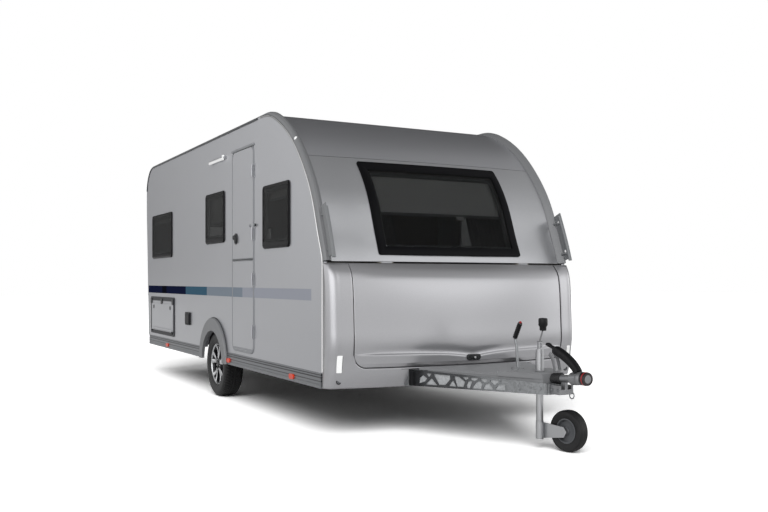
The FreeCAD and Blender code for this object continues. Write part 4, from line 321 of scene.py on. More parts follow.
def fade(material, axis, start, end, share):
    """Scales a finish's colour along one axis: as it is up to start, and share times it past end."""
    tree, shader, axes, tone = reopen(material)
    amount = put(tree, "MapRange", [("Value", axes[axis]), ("From Min", start), ("From Max", end),
                                    ("To Min", 1.0), ("To Max", share)])
    faded = put(tree, "VectorMath", [(0, tone), ("Scale", amount.outputs[0])], operation="SCALE")
    tree.links.new(faded.outputs[0], shader.inputs["Base Color"])
    return material


def spline(points, count):
    """A natural cubic spline through points, spaced by the lengths of its chords."""
    p = np.array(points, float)
    t = np.concatenate([[0.0], np.cumsum(np.linalg.norm(np.diff(p, axis=0), axis=1))])
    h, n = np.diff(t), len(p)
    bend, load = np.eye(n), np.zeros_like(p)
    for i in range(1, n - 1):
        bend[i, i - 1:i + 2] = (h[i - 1], 2.0 * (h[i - 1] + h[i]), h[i])
        load[i] = 6.0 * ((p[i + 1] - p[i]) / h[i] - (p[i] - p[i - 1]) / h[i - 1])
    second = np.linalg.solve(bend, load)
    u = np.linspace(0.0, t[-1], count)
    k = np.clip(np.searchsorted(t, u, side="right") - 1, 0, n - 2)
    a, b, w = (t[k + 1] - u)[:, None], (u - t[k])[:, None], h[k][:, None]
    ends = second[k] * a ** 3 / (6 * w) + second[k + 1] * b ** 3 / (6 * w)
    return ends + (p[k] / w - second[k] * w / 6) * a + (p[k + 1] / w - second[k + 1] * w / 6) * b


def piece(name, grids, material, body="caravan", slot="", replaced=(), wall=0.0, sharp=40.0):
    """One finished piece. Each grid is an array (rows, columns, 3) of points in the axle's frame,
    whose neighbours make quads; points that touch are merged, which closes seams and poles.
    A piece with a wall is an open surface, thickened inwards."""
    points, quads, start = [], [], 0
    for grid in grids:
        rows, columns = grid.shape[:2]
        index = start + np.arange(rows * columns).reshape(rows, columns)
        corners = (index[:-1, :-1], index[:-1, 1:], index[1:, 1:], index[1:, :-1])
        quads.append(np.stack(corners, -1).reshape(-1, 4))
        points.append(grid.reshape(-1, 3) + (0.0, AXLE_Y, 0.0))
        start += rows * columns
    mesh = bpy.data.meshes.new(name)
    mesh.from_pydata(np.concatenate(points).tolist(), [], np.concatenate(quads).tolist())
    form = bmesh.new()
    form.from_mesh(mesh)
    bmesh.ops.remove_doubles(form, verts=form.verts, dist=0.00002)
    if not wall:
        bmesh.ops.recalc_face_normals(form, faces=form.faces)
    form.to_mesh(mesh)
    form.free()
    mesh.shade_smooth()
    mesh.set_sharp_from_angle(angle=math.radians(sharp))
    mesh.materials.append(material)
    made = bpy.data.objects.new(name, mesh)
    bpy.context.scene.collection.objects.link(made)
    if wall:
        made.modifiers.new("wall", "SOLIDIFY").thickness = wall
    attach(made, body)
    if replaced:
        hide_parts(*replaced)
    return made


def sweep(path, section, up=(0.0, 0.0, 1.0)):
    """A closed section of (across, up) pairs carried along a path, closed at both ends."""
    path, up = np.array(path, float), np.array(up, float)
    run = np.gradient(path, axis=0)
    run /= np.linalg.norm(run, axis=1)[:, None]
    across = np.cross(run, up)
    across /= np.linalg.norm(across, axis=1)[:, None]
    lift = np.cross(across, run)
    skin = path[:, None] + section[None, :, :1] * across[:, None] + section[None, :, 1:] * lift[:, None]
    ends = [np.repeat(path[i][None], len(section), 0)[None] for i in (0, -1)]
    return np.concatenate([ends[0], skin, ends[1]])


def oval(half_across, half_up, count, power=2.0):
    """A closed superellipse section: power 2 is an ellipse, higher powers are squarer."""
    angle = np.linspace(0.0, 2 * math.pi, count + 1)
    c, s = np.cos(angle), np.sin(angle)
    return np.stack([half_across * np.sign(c) * np.abs(c) ** (2 / power),
                     half_up * np.sign(s) * np.abs(s) ** (2 / power)], -1)


ROOF_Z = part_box("roof_panel")[1].z
FRONT_EDGE_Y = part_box("side_wall_left")[0].y - AXLE_Y
ROOF_START_Y = FRONT_EDGE_Y + 1.334
EDGE_TOP_Z = 1.285
REAR_WALL_Y, REAR_CORNER_R = 2.836, 0.33
WALL_FOOT_Z, REAR_FOOT_Y, REAR_STRAIGHT_Z = 0.47, 2.723, 2.03
wall_mesh = nodes["side_wall_left"].data
flat = np.empty(3 * len(wall_mesh.vertices))
wall_mesh.vertices.foreach_get("co", flat)
wall_points = flat.reshape(-1, 3) - (0.0, AXLE_Y, 0.0)
# The front arch is read from the wall's outline: points on its outer face beyond an ellipse
# that keeps the windows' corners out.
reach = ((wall_points[:, 1] - ROOF_START_Y) / 1.334) ** 2 + ((wall_points[:, 2] - EDGE_TOP_Z) / 1.293) ** 2
on_arch = (wall_points[:, 0] < 0.0005 - WALL_X) & (wall_points[:, 1] <= ROOF_START_Y + 0.001)
on_arch &= (wall_points[:, 2] >= EDGE_TOP_Z - 0.001) & (reach > 0.8)
arch_line = np.unique(wall_points[on_arch][:, 1:].round(5), axis=0)
arch_line = arch_line[np.argsort(arch_line[:, 1])]
arch_line = spline(arch_line, 240)


def lay_side(side):
    """Puts (Y, Z, height) on the outside of one wall."""
    return lambda a, b, h: np.stack([side * (WALL_X + h), a, b], -1)


moulding_grey = moulded("silver_grey_moulded_ABS", "#7c7d7f", 0.40, 0.5, grain=0.0012, depth=0.0001,
                        tone=0.03)
# The insert is bright at hand height; its colour darkens towards the roof as painted shade, standing in for
# its highlight fading up the strip.
INSERT_SHADE_Z, INSERT_SHADE_SHARE = (1.5, 2.45), 0.28
bright_strip = moulded("bright_extruded_PVC_insert", "#f4f4f4", 0.0, 0.3, grain=0.001, depth=0.00005,
                       tone=0.02)
fade(bright_strip, "Z", INSERT_SHADE_Z[0], INSERT_SHADE_Z[1], INSERT_SHADE_SHARE)
sealant = moulded("dark_grey_sealant", "#3a3b3d", 0.0, 0.6, grain=0.002, depth=0.0002, tone=0.1)
dress(moulding_grey, "corner_moulding_left", "corner_moulding_right")
STRIP_HALF, STRIP_PROUD, STRIP_BACK = 0.0075, 0.006, 0.009
BEAD_HALF, BEAD_PROUD, BEAD_BACK = 0.0025, 0.0035, 0.0005
front_foot = np.array([[FRONT_EDGE_Y, z] for z in np.linspace(WALL_FOOT_Z + 0.01, EDGE_TOP_Z - 0.02, 12)])
edge_line = np.concatenate([front_foot, arch_line[::4]])
along = np.gradient(edge_line, axis=0)
along /= np.linalg.norm(along, axis=1)[:, None]
inward = np.stack([along[:, 1], -along[:, 0]], -1)
SIDES = (("left", -1.0), ("right", 1.0))
for label, side in SIDES:
    for part, back, section, material in (
            ("edge_insert_", STRIP_BACK, oval(STRIP_PROUD, STRIP_HALF, 12, 3.0), bright_strip),
            ("edge_bead_", BEAD_BACK, oval(BEAD_PROUD, BEAD_HALF, 8), sealant)):
        line = edge_line + inward * back
        path = np.stack([np.full(len(line), side * WALL_X), line[:, 0], line[:, 1]], -1)
        piece(part + label, [sweep(path, section, up=(1e-3, 1.0, 0.3))], material, slot="moulding_grey")


# Windows: double acrylic panes with a tinted skin, hinged at their top edge. Each has a black
# printed border, deepest at its foot, around a smoky clear middle, in front of a grey cassette
# frame that holds a pleated blind. They stand 14 mm proud of the wall on a black rubber seal.
def loop(a0, a1, b0, b1, radius):
    """A closed rounded rectangle of (a, b) points, ending on its first point."""
    turn = np.linspace(0.0, math.pi / 2, 8)
    corners = ((a1 - radius, b0 + radius, 3), (a1 - radius, b1 - radius, 0),
               (a0 + radius, b1 - radius, 1), (a0 + radius, b0 + radius, 2))
    arcs = [np.stack([a + radius * np.cos(turn + quarter * math.pi / 2),
                      b + radius * np.sin(turn + quarter * math.pi / 2)], -1) for a, b, quarter in corners]
    return np.concatenate(arcs + [arcs[0][:1]])


def inner_loop(area, radius, inset, least=0.001):
    """The loop inside an area (a0, a1, b0, b1) by one distance, or by four, one for each side."""
    i0, i1, i2, i3 = inset if isinstance(inset, tuple) else (inset,) * 4
    return loop(area[0] + i0, area[1] - i1, area[2] + i2, area[3] - i3, max(radius - max(i0, 0.0), least))


def laid(ring, height, lay):
    """A flat ring of (a, b) points, laid on a surface by lay(a, b, height)."""
    return lay(ring[:, 0], ring[:, 1], np.full(len(ring), height))


def rings(area, radius, levels, lay, filled=True):
    """Rounded rectangles over an area, one for each (inset, height). Filled closes both ends at the
    middle; without it the first ring must come again last, as a closed frame."""
    made = [laid(inner_loop(area, radius, inset), height, lay) for inset, height in levels]
    if filled:
        centre = np.full((len(made[0]), 2), ((area[0] + area[1]) / 2, (area[2] + area[3]) / 2))
        made = [laid(centre, levels[0][1], lay)] + made + [laid(centre, levels[-1][1], lay)]
    return np.stack(made)


def slab(area, radius, low, high, soft, lay):
    """A closed slab over an area between two heights, its outer edge rounded by soft."""
    turns = (math.pi / 2, 1.0, 0.5, 0.0)
    bend = [(soft * (1 - math.sin(t)), high - soft * (1 - math.cos(t))) for t in turns]
    return rings(area, radius, [(0.0, low)] + bend + [(soft + 0.003, high)], lay)


def frame_levels(low, high, soft, width, foot_width=None):
    """The rings of a closed frame: up its outside, over its face and down its opening."""
    foot = width if foot_width is None else foot_width

    def inner(more):
        return (width + more, width + more, foot + more, width + more)

    return [(0.0, low), (0.0, high - soft), (soft * 0.3, high - soft * 0.3), (soft, high),
            (inner(-soft), high), (inner(-soft * 0.3), high - soft * 0.3), (inner(0.0), high - soft),
            (inner(0.0), low), (0.0, low)]


border_black, tree, shader, place = start_material("black_printed_acrylic_border", "#0d0d0f", 0.0, 0.2,
                                                   Specular_IOR_Level=0.05)
dots = put(tree, "TexNoise", [("Vector", place), ("Scale", 160.0), ("Detail", 2.0)])
shift(tree, shader, dots.outputs["Fac"], Roughness=(0.16, 0.26))

# Clear tinted acrylic: cast sheet, so it is glossy and slightly wavy.
smoke_pane, tree, shader, place = start_material("smoke_tinted_cast_acrylic", "#727373", 0.0, 0.02, IOR=1.08,
                                                 Transmission_Weight=0.97, Specular_IOR_Level=0.02)
wave = put(tree, "TexNoise", [("Vector", place), ("Scale", 3.0), ("Detail", 1.0)])
bump = put(tree, "Bump", [("Height", wave.outputs["Fac"]), ("Strength", 0.08), ("Distance", 0.01)])
tree.links.new(bump.outputs[0], shader.inputs["Normal"])
shift(tree, shader, wave.outputs["Fac"], Roughness=(0.01, 0.04))

cassette_grey = moulded("grey_moulded_ABS_cassette", "#7d7f81", 0.0, 0.5, grain=0.0015, depth=0.0001,
                        tone=0.03)
seal_black = moulded("black_EPDM_rubber_seal", "#141416", 0.0, 0.65, grain=0.0015, depth=0.0002, tone=0.2)

PLEAT, BLIND_TONE = 0.016, "#b9b8b4"
blind_cloth, tree, shader, place = start_material("silver_backed_pleated_blind_cloth", BLIND_TONE, 0.2, 0.7)
weave = put(tree, "TexNoise", [("Vector", place), ("Scale", 700.0), ("Detail", 2.0)])
# The folds are painted shade: the cloth's tone rises and falls in bands at the pleats' pitch.
folds = put(tree, "TexWave", [("Vector", place), ("Scale", 0.314 / PLEAT)], bands_direction="Z")
pleat_shade = put(tree, "MapRange", [("Value", folds.outputs["Fac"]), ("To Min", 0.82), ("To Max", 1.1)])
weave_tone = put(tree, "MapRange", [("Value", weave.outputs["Fac"]), ("To Min", 0.9), ("To Max", 1.1)])
both = put(tree, "Math", [(0, pleat_shade.outputs[0]), (1, weave_tone.outputs[0])], operation="MULTIPLY")
cloth = put(tree, "VectorMath", [(0, linear(BLIND_TONE)[:3]), ("Scale", both.outputs[0])], operation="SCALE")
tree.links.new(cloth.outputs[0], shader.inputs["Base Color"])

WINDOW_PROUD, BORDER, BORDER_FOOT, BORDER_LAP, WINDOW_R = 0.0143, 0.024, 0.052, 0.003, 0.038
PLEAT_DEPTH, BLIND_BACK, BLIND_GAP = 0.007, 0.045, 0.01
WINDOWS = {
    "front": {"left": (-1.997, -1.402, 1.428, 1.962), "right": (-1.997, -1.000, 1.428, 1.962)},
    "middle": {"left": (-0.342, 0.254, 1.526, 2.026), "right": (-0.342, 0.254, 1.526, 2.026)},
    "rear": {"left": (1.589, 2.507, 1.430, 1.956), "right": (1.589, 2.507, 1.430, 1.956)},
}
# How far each blind is drawn down, as a share of the window's height.
BLINDS = {"front": 0.2, "middle": 0.62, "rear": 0.16}


def lay_grown(lay):
    """The same surface, for a seal that lies just outside a window."""
    return lambda a, b, h: lay(a + 0.003 * np.sign(a - a.mean()), b + 0.003 * np.sign(b - b.mean()), h)


def window(label, area, lay, drawn, replaced):
    """One window: seal, printed border, pane, inner frame, and a pleated blind on its bar."""
    def part(kind, grids, material, slot="glazing", **more):
        piece("window_%s_%s" % (kind, label), grids, material, slot=slot, **more)

    border = frame_levels(-0.006, WINDOW_PROUD, 0.004, BORDER, BORDER_FOOT)
    part("border", [rings(area, WINDOW_R, border, lay, False)], border_black)
    seal = frame_levels(0.0, 0.005, 0.002, 0.02)
    part("seal", [rings(area, WINDOW_R, seal, lay_grown(lay), False)], seal_black)
    a0, a1 = area[0] + BORDER - BORDER_LAP, area[1] - BORDER + BORDER_LAP
    b0, b1 = area[2] + BORDER_FOOT - BORDER_LAP, area[3] - BORDER + BORDER_LAP
    clear = (a0, a1, b0, b1)
    part("pane", [slab(clear, WINDOW_R - 0.02, 0.006, WINDOW_PROUD - 0.002, 0.001, lay)], smoke_pane,
         replaced=replaced)
    part("cassette", [rings(clear, 0.02, frame_levels(-0.028, -0.008, 0.004, 0.03), lay, False)],
         cassette_grey, "moulding_grey")
    drop = (b1 - b0) * drawn
    rows = max(int(drop / (PLEAT / 2)), 4)
    a, b = np.meshgrid(np.linspace(a0 + BLIND_GAP, a1 - BLIND_GAP, 6),
                       np.linspace(b1 - BLIND_GAP, b1 - drop, rows))
    zigzag = np.where(np.arange(rows) % 2 == 0, 0.0, PLEAT_DEPTH)[:, None] * np.ones((1, 6))
    pleats = lay(a.ravel(), b.ravel(), zigzag.ravel() - BLIND_BACK).reshape(rows, 6, 3)
    part("blind", [pleats], blind_cloth, "seat_fabric", wall=0.0015, sharp=180.0)
    bar = (a0 + BLIND_GAP, a1 - BLIND_GAP, b1 - drop - 0.016, b1 - drop + 0.002)
    part("bar", [slab(bar, 0.004, -0.05, -0.034, 0.003, lay)], cassette_grey, "moulding_grey")


for label, side in SIDES:
    for place_name, areas in WINDOWS.items():
        window(label + "_" + place_name, areas[label], lay_side(side), BLINDS[place_name],
               ("windows_" + label,) if place_name == "front" else ())


# Rear window: the same build on the leaning rear wall.
REAR_LEAN = (REAR_WALL_Y - REAR_FOOT_Y) / (REAR_STRAIGHT_Z - WALL_FOOT_Z)


def lay_rear(a, b, h):
    """Puts (X, Z, height) on the outside of the rear wall's leaning part."""
    return np.stack([a, REAR_FOOT_Y + (b - WALL_FOOT_Z) * REAR_LEAN + h, b], -1)


REAR_WINDOW, REAR_BLIND = (-0.6, 0.6, 1.430, 1.956), 0.12
window("rear_wall", REAR_WINDOW, lay_rear, REAR_BLIND, ("rear_window",))

# Front window: one wide bowed pane in the front panel, hinged at its top, with a roller blind
# drawn a little over half way and five latches along its foot and sides.
BOW, BOW_HALF, BOW_FADE = 0.057, 1.062, 0.578


def front_y(x, z):
    """The front panel's place along Y: the arch, less a parabola across that fades to the roof."""
    arch = np.interp(z, arch_line[:, 1], arch_line[:, 0])
    across = BOW * (BOW_HALF ** 2 - np.minimum(np.abs(x), BOW_HALF) ** 2)
    return arch - across * np.clip((ROOF_Z - z) / BOW_FADE, 0.0, 1.0)


def lay_front(a, b, h):
    """Puts (X, Z, height) on the outside of the front panel, square to its slope."""
    slope = (front_y(a, b + 0.01) - front_y(a, b - 0.01)) / 0.02
    steep = 1.0 / np.sqrt(1.0 + slope ** 2)
    return np.stack([a, front_y(a, b) - h * steep, b + h * slope * steep], -1)


def filled_grid(area, rows, columns, lay, height, radius=0.0):
    """A curved sheet over (a0, a1, b0, b1) at one height, its sides drawn in at round corners."""
    b = np.linspace(area[2], area[3], rows)
    near = np.minimum(b - area[2], area[3] - b)
    corner = np.maximum(radius - near, 0.0)
    cut = radius - np.sqrt(np.maximum(radius ** 2 - corner ** 2, 0.0))
    share = np.linspace(0.0, 1.0, columns)
    a = area[0] + cut[:, None] + share[None, :] * (area[1] - area[0] - 2 * cut[:, None])
    return lay(a.ravel(), np.repeat(b, columns), np.full(rows * columns, height)).reshape(rows, columns, 3)


FRONT_WINDOW = (-0.682, 0.645, 1.350, 2.100)
FRONT_BORDER, FRONT_FOOT, FRONT_LAP, CURVE_STEP = 0.070, 0.062, 0.004, 0.04


def dense(area, radius, levels, lay):
    """The same frame as rings, with its straight sides split so that they follow a curve."""
    lengths = np.linalg.norm(np.diff(loop(*area, radius), axis=0), axis=1)
    splits = np.maximum(np.ceil(lengths / CURVE_STEP).astype(int), 1)
    made = []
    for inset, height in levels:
        ring = inner_loop(area, radius, inset, 0.004)
        parts = [np.linspace(ring[i], ring[i + 1], splits[i] + 1)[:-1] for i in range(len(splits))]
        made.append(laid(np.concatenate(parts + [ring[:1]]), height, lay))
    return np.stack(made)


border = frame_levels(-0.004, WINDOW_PROUD, 0.004, FRONT_BORDER, FRONT_FOOT)
piece("front_window_border", [dense(FRONT_WINDOW, 0.020, border, lay_front)], border_black, slot="glazing",
      replaced=("front_window",))
clear = (FRONT_WINDOW[0] + FRONT_BORDER - FRONT_LAP, FRONT_WINDOW[1] - FRONT_BORDER + FRONT_LAP,
         FRONT_WINDOW[2] + FRONT_FOOT - FRONT_LAP, FRONT_WINDOW[3] - FRONT_BORDER + FRONT_LAP)
# The raked front pane faces the key light, so its smoke tint shows no film of glare.
front_pane = smoke_pane.copy()
front_pane.name = "smoke_tinted_cast_acrylic_front"
front_pane.node_tree.nodes["Principled BSDF"].inputs["IOR"].default_value = 1.04
piece("front_window_pane", [filled_grid(clear, 24, 32, lay_front, WINDOW_PROUD - 0.002, 0.02)], front_pane,
      slot="glazing", wall=0.005)
piece("front_window_cassette", [dense(clear, 0.02, frame_levels(-0.034, -0.010, 0.004, 0.03), lay_front)],
      cassette_grey, slot="moulding_grey")
FRONT_BLIND_FOOT = 1.70
blind_area = (clear[0] + 0.03, clear[1] - 0.03, FRONT_BLIND_FOOT, clear[3] - 0.02)
roller_cloth = moulded("grey_coated_roller_blind_cloth", "#f2f1ef", 0.0, 0.6, grain=0.0012, depth=0.0001,
                       tone=0.05)
piece("front_window_blind", [filled_grid(blind_area, 20, 26, lay_front, -0.03)], roller_cloth,
      slot="seat_fabric", wall=0.001)
bar_area = (blind_area[0], blind_area[1], FRONT_BLIND_FOOT - 0.022, FRONT_BLIND_FOOT)
piece("front_window_bar", [filled_grid(bar_area, 4, 32, lay_front, -0.024)],
      cassette_grey, slot="moulding_grey", wall=0.008)
pull_area = (0.1, 0.17, FRONT_BLIND_FOOT - 0.045, FRONT_BLIND_FOOT - 0.018)
piece("front_window_pull", [slab(pull_area, 0.008, -0.03, -0.016, 0.003, lay_front)], bright_strip,
      slot="moulding_grey")
latch_black = moulded("black_moulded_nylon_latch", "#1b1c1e", 0.0, 0.4, grain=0.001, depth=0.0001, tone=0.15)
LATCHES = ((-0.5, 1.44), (0.5, 1.44), (0.6, 1.62), (0.6, 1.9), (-0.6, 1.62))
for number, (x, z) in enumerate(LATCHES):
    latch = (x - 0.03, x + 0.03, z - 0.02, z + 0.02)
    piece("front_window_latch_%d" % number, [slab(latch, 0.01, -0.04, -0.012, 0.004, lay_front)],
          latch_black, slot="black_plastic")


# Stable door: two painted leaves in a dark rubber seal, with a thick weather strip over the
# top, another at the foot and one over the split. The lock is an oval black plate with a round
# barrel, and a ball retainer holds each open leaf to the wall.
DOOR = (-1.144, -0.594, 0.519, 2.347)
DOOR_SPLIT = 1.345
DOOR_FACE, SEAL_WIDTH = 0.0052, 0.016
lay_left, lay_right = lay_side(-1.0), lay_side(1.0)
door_seal = (DOOR[0] - 0.003 - SEAL_WIDTH, DOOR[1] + 0.003 + SEAL_WIDTH, DOOR[2] - 0.02, DOOR[3] + 0.022)
seal_grey = moulded("grey_EPDM_door_seal", "#86888b", 0.0, 0.6, grain=0.0015, depth=0.0002, tone=0.12)
seal_levels = frame_levels(0.0, 0.007, 0.003, SEAL_WIDTH - 0.002, 0.02)
piece("door_seal", [rings(door_seal, 0.08, seal_levels, lay_left, False)], seal_grey, slot="black_plastic")
rain_strip = (DOOR[0] - 0.02, DOOR[1] + 0.02, DOOR[3] + 0.004, DOOR[3] + 0.026)
piece("door_rain_strip", [slab(rain_strip, 0.008, 0.0, 0.014, 0.004, lay_left)], seal_grey,
      slot="black_plastic")
for label, low, high, proud in (("lower", -0.012, -0.0035, 0.009), ("upper", 0.0035, 0.012, 0.011)):
    strip = (DOOR[0] + 0.004, DOOR[1] - 0.004, DOOR_SPLIT + low, DOOR_SPLIT + high)
    piece("door_split_strip_" + label, [slab(strip, 0.003, DOOR_FACE - 0.001, proud, 0.002, lay_left)],
          seal_grey, "door_%s_body" % label, "black_plastic")
foot_strip = (DOOR[0] + 0.02, DOOR[1] - 0.02, DOOR[2] + 0.004, DOOR[2] + 0.022)
piece("door_foot_strip", [slab(foot_strip, 0.004, DOOR_FACE - 0.001, 0.009, 0.002, lay_left)],
      seal_grey, "door_lower_body", "black_plastic")

LOCK_Y, LOCK_Z = -0.689, 1.543
RETAINER_Y, SOCKET_Y, RETAINER_Z = -1.211, -1.077, 1.644


def lathe(profile, start, axis, count=32):
    """Pairs (radius, distance along the axis) turned about an axis; a radius of 0 closes an end."""
    axis = np.array(axis, float) / np.linalg.norm(axis)
    across = np.cross(axis, (0.0, 0.0, 1.0) if abs(axis[2]) < 0.9 else (0.0, 1.0, 0.0))
    across /= np.linalg.norm(across)
    other = np.cross(axis, across)
    angle = np.linspace(0.0, 2 * math.pi, count + 1)[None, :, None]
    r, t = np.array(profile, float).T[:, :, None, None]
    return np.array(start, float) + t * axis + r * (np.cos(angle) * across + np.sin(angle) * other)


out_left, out_right = (-1.0, 0.0, 0.0), (1.0, 0.0, 0.0)
lock_plate = (LOCK_Y - 0.046, LOCK_Y + 0.046, LOCK_Z - 0.052, LOCK_Z + 0.052)
lock_paddle = (LOCK_Y - 0.034, LOCK_Y - 0.012, LOCK_Z - 0.04, LOCK_Z + 0.03)
barrel = [(0.0, 0.0), (0.021, 0.0), (0.021, 0.016), (0.017, 0.02), (0.0, 0.02)]
piece("door_lock", [slab(lock_plate, 0.044, DOOR_FACE - 0.001, 0.013, 0.005, lay_left),
                    lathe(barrel, (-WALL_X - 0.012, LOCK_Y + 0.012, LOCK_Z + 0.012), out_left),
                    slab(lock_paddle, 0.01, 0.012, 0.028, 0.006, lay_left)],
      latch_black, "door_upper_body", "black_plastic")
stud = [(0.0, 0.0), (0.015, 0.0), (0.015, 0.003), (0.008, 0.005), (0.006, 0.014), (0.009, 0.018),
        (0.008, 0.024), (0.0, 0.026)]
piece("door_retainer", [lathe(stud, (-WALL_X - 0.0003, RETAINER_Y, RETAINER_Z), out_left, 20)], seal_grey,
      slot="black_plastic")
socket = [(0.0, 0.0), (0.014, 0.0), (0.014, 0.003), (0.011, 0.008), (0.008, 0.009), (0.007, 0.004),
          (0.0, 0.004)]
piece("door_retainer_socket", [lathe(socket, (-WALL_X - DOOR_FACE + 0.001, SOCKET_Y, RETAINER_Z), out_left,
                                     20)],
      seal_grey, "door_upper_body", "black_plastic")

# Service hatch and cassette hatch: each leaf shows a pressed inner panel with a rubber seal in
# its frame, and turns on the hinge at its foot. Push locks and corner tabs hold it shut.
HATCH, HATCH_FRAME = (1.490, 2.596, 0.505, 0.958), 0.046
CASSETTE, CASSETTE_FRAME = (0.560, 0.960, 0.560, 0.900), 0.032
LEAF_FACE = 0.008
frame_dark = moulded("dark_grey_anodised_hatch_frame", "#2b2c2f", 0.0, 0.45, grain=0.002, depth=0.0001,
                     tone=0.1, Specular_IOR_Level=0.15)
dress(frame_dark, "hatch_frames")
hatch_lock = [(0.0, 0.0), (0.024, 0.0), (0.024, 0.003), (0.02, 0.005), (0.012, 0.004), (0.0, 0.004)]
for label, area, width, lay, side in (("service", HATCH, HATCH_FRAME, lay_left, -1.0),
                                      ("cassette", CASSETTE, CASSETTE_FRAME, lay_right, 1.0)):
    body = label + "_hatch_body"
    gap = (area[0] + width - 0.001, area[1] - width + 0.001, area[2] + width + 0.028,
           area[3] - width + 0.001)
    piece(label + "_hatch_seal", [rings(gap, 0.012, frame_levels(0.0005, 0.0075, 0.002, 0.0062), lay,
                                        False)],
          seal_grey, slot="black_plastic")
    inner = (gap[0] + 0.03, gap[1] - 0.03, gap[2] + 0.012, gap[3] - 0.03)
    piece(label + "_hatch_panel", [slab(inner, 0.02, LEAF_FACE - 0.001, LEAF_FACE + 0.003, 0.003, lay)],
          sheet_silver, body, "body_silver")
    middle = (inner[0] + inner[1]) / 2
    lock_places = (inner[0] + 0.09, inner[1] - 0.09) if label == "service" else (middle,)
    piece(label + "_hatch_locks", [lathe(hatch_lock, (side * (WALL_X + LEAF_FACE + 0.002), y,
                                                      inner[3] - 0.05),
                                         (side, 0, 0), 24) for y in lock_places], latch_black, body,
                                         "black_plastic")
tab_places = (HATCH[0] + 0.05, (HATCH[0] + HATCH[1]) / 2, HATCH[1] - 0.05)
piece("service_hatch_tabs", [slab((y - 0.03, y + 0.03, HATCH[3] - 0.085, HATCH[3] - 0.02), 0.008, 0.0075,
                                  0.019, 0.004, lay_left) for y in tab_places], latch_black,
                                  slot="black_plastic")

# Small wall fittings: the mains inlet's black flap, two louvred fridge vents in white-grey ABS
# with a shadowed grille, and the water filler's blue-black cap.
INLET = (0.835, 1.004, 0.671, 0.809)
fitting_black = moulded("black_moulded_ABS_fitting", "#1b1c1e", 0.0, 0.45, grain=0.0015, depth=0.0002,
                        tone=0.12, Specular_IOR_Level=0.15)
dress(fitting_black, "wall_fittings")
flap = (INLET[0] + 0.012, INLET[1] - 0.012, INLET[2] + 0.012, INLET[3] - 0.02)
flap_lip = (INLET[0] + 0.06, INLET[1] - 0.06, INLET[2] + 0.004, INLET[2] + 0.012)
piece("mains_inlet_flap", [slab(flap, 0.01, 0.015, 0.022, 0.004, lay_left),
                           slab(flap_lip, 0.003, 0.015, 0.024, 0.002, lay_left)],
      fitting_black, slot="black_plastic")
vent_white = moulded("pale_grey_moulded_ABS_vent", "#c9cacb", 0.0, 0.45, grain=0.0015, depth=0.0001,
                     tone=0.03)
VENT_Y, VENT_FEET, VENT_HEIGHT, LOUVRES = (-0.330, 0.170), (0.860, 1.200), 0.210, 9
LOUVRE_X, LOUVRE_END, LOUVRE_EDGE = WALL_X + 0.014, 0.018, 0.028
for number, foot in enumerate(VENT_FEET):
    outline = (*VENT_Y, foot, foot + VENT_HEIGHT)
    blades = [rings(outline, 0.014, frame_levels(0.0135, 0.018, 0.003, 0.02), lay_right, False)]
    for z in np.linspace(foot + LOUVRE_EDGE, foot + VENT_HEIGHT - LOUVRE_EDGE, LOUVRES):
        blades.append(sweep([(LOUVRE_X, VENT_Y[0] + LOUVRE_END, z), (LOUVRE_X, VENT_Y[1] - LOUVRE_END, z)],
                            oval(0.006, 0.0035, 10, 3.0)))
    piece("fridge_vent_louvres_%d" % number, blades, vent_white, slot="black_plastic")
FILLER_Y, FILLER_Z = 1.180, 0.760
filler = [(0.0, 0.0), (0.072, 0.0), (0.072, 0.004), (0.066, 0.006), (0.05, 0.006), (0.05, 0.014),
          (0.045, 0.018), (0.0, 0.018)]
piece("water_filler_cap", [lathe(filler, (WALL_X + 0.012, FILLER_Y, FILLER_Z), out_right, 40)],
      fitting_black, slot="black_plastic")

# Locker lid: one moulded glass-fibre shell between the lamps' corners. Near its foot a crease
# runs across and dips to the lock in a shallow V, with a ledge that catches the light above a
# darker tucked-in band.
SKIN = np.array([(0.362, -2.728, 0.100), (0.450, -2.768, 0.128), (0.560, -2.784, 0.134),
                 (0.640, -2.797, 0.134), (0.800, -2.796, 0.132), (1.000, -2.786, 0.128),
                 (1.130, -2.774, 0.120), (1.205, -2.756, 0.106), (1.255, -2.722, 0.080),
                 (1.285, -2.690, 0.060)])
skin_line = spline(SKIN, 200)
CORNER_START = 0.976


def skin_y(x, z):
    """The locker skin's place along Y: a parabola across, and a power curve round the corners."""
    base, curve = (np.interp(z, skin_line[:, 0], skin_line[:, i]) for i in (1, 2))
    half = np.abs(x)
    share = np.maximum(half - CORNER_START, 0.0) / (WALL_X - CORNER_START)
    slope = 2.0 * curve * CORNER_START * (WALL_X - CORNER_START)
    flat = base - curve * (CORNER_START ** 2 - np.minimum(half, CORNER_START) ** 2)
    return flat + slope * share + (FRONT_EDGE_Y - base - slope) * share ** 2.6


def lay_skin(a, b, h):
    """Puts (X, Z, height) on the outside of the locker skin."""
    return np.stack([a, skin_y(a, b) - h, b], -1)


LID_HALF, LID_FOOT, LID_TOP, LID_R, LID_THICK = 0.960, 0.514, 1.285, 0.10, 0.026
CREASE_Z, CREASE_DIP, CREASE_REACH, LEDGE = 0.612, 0.036, 0.20, 0.012


def lid_relief(x, z):
    """Height on the lid: a ledge under the crease line, a valley over it, all fading to the sides."""
    crease = CREASE_Z - CREASE_DIP * np.exp(-(np.abs(x) / CREASE_REACH) ** 1.2)
    below = crease - z
    ledge = 1.0 / (1.0 + np.exp(-below / 0.0030))
    fade = np.clip((z - LID_FOOT) / 0.03, 0.0, 1.0)
    side_fade = np.clip((LID_HALF - np.abs(x)) / 0.16, 0.0, 1.0) ** 0.7
    valley = np.exp(-((below + 0.030) / 0.026) ** 2) * np.exp(-(x / 0.88) ** 8)
    upper = 0.005 * (0.5 + 0.5 * np.tanh((z - 1.185) / 0.022))
    return side_fade * (LEDGE * ledge * fade - 0.007 * valley) - upper * side_fade


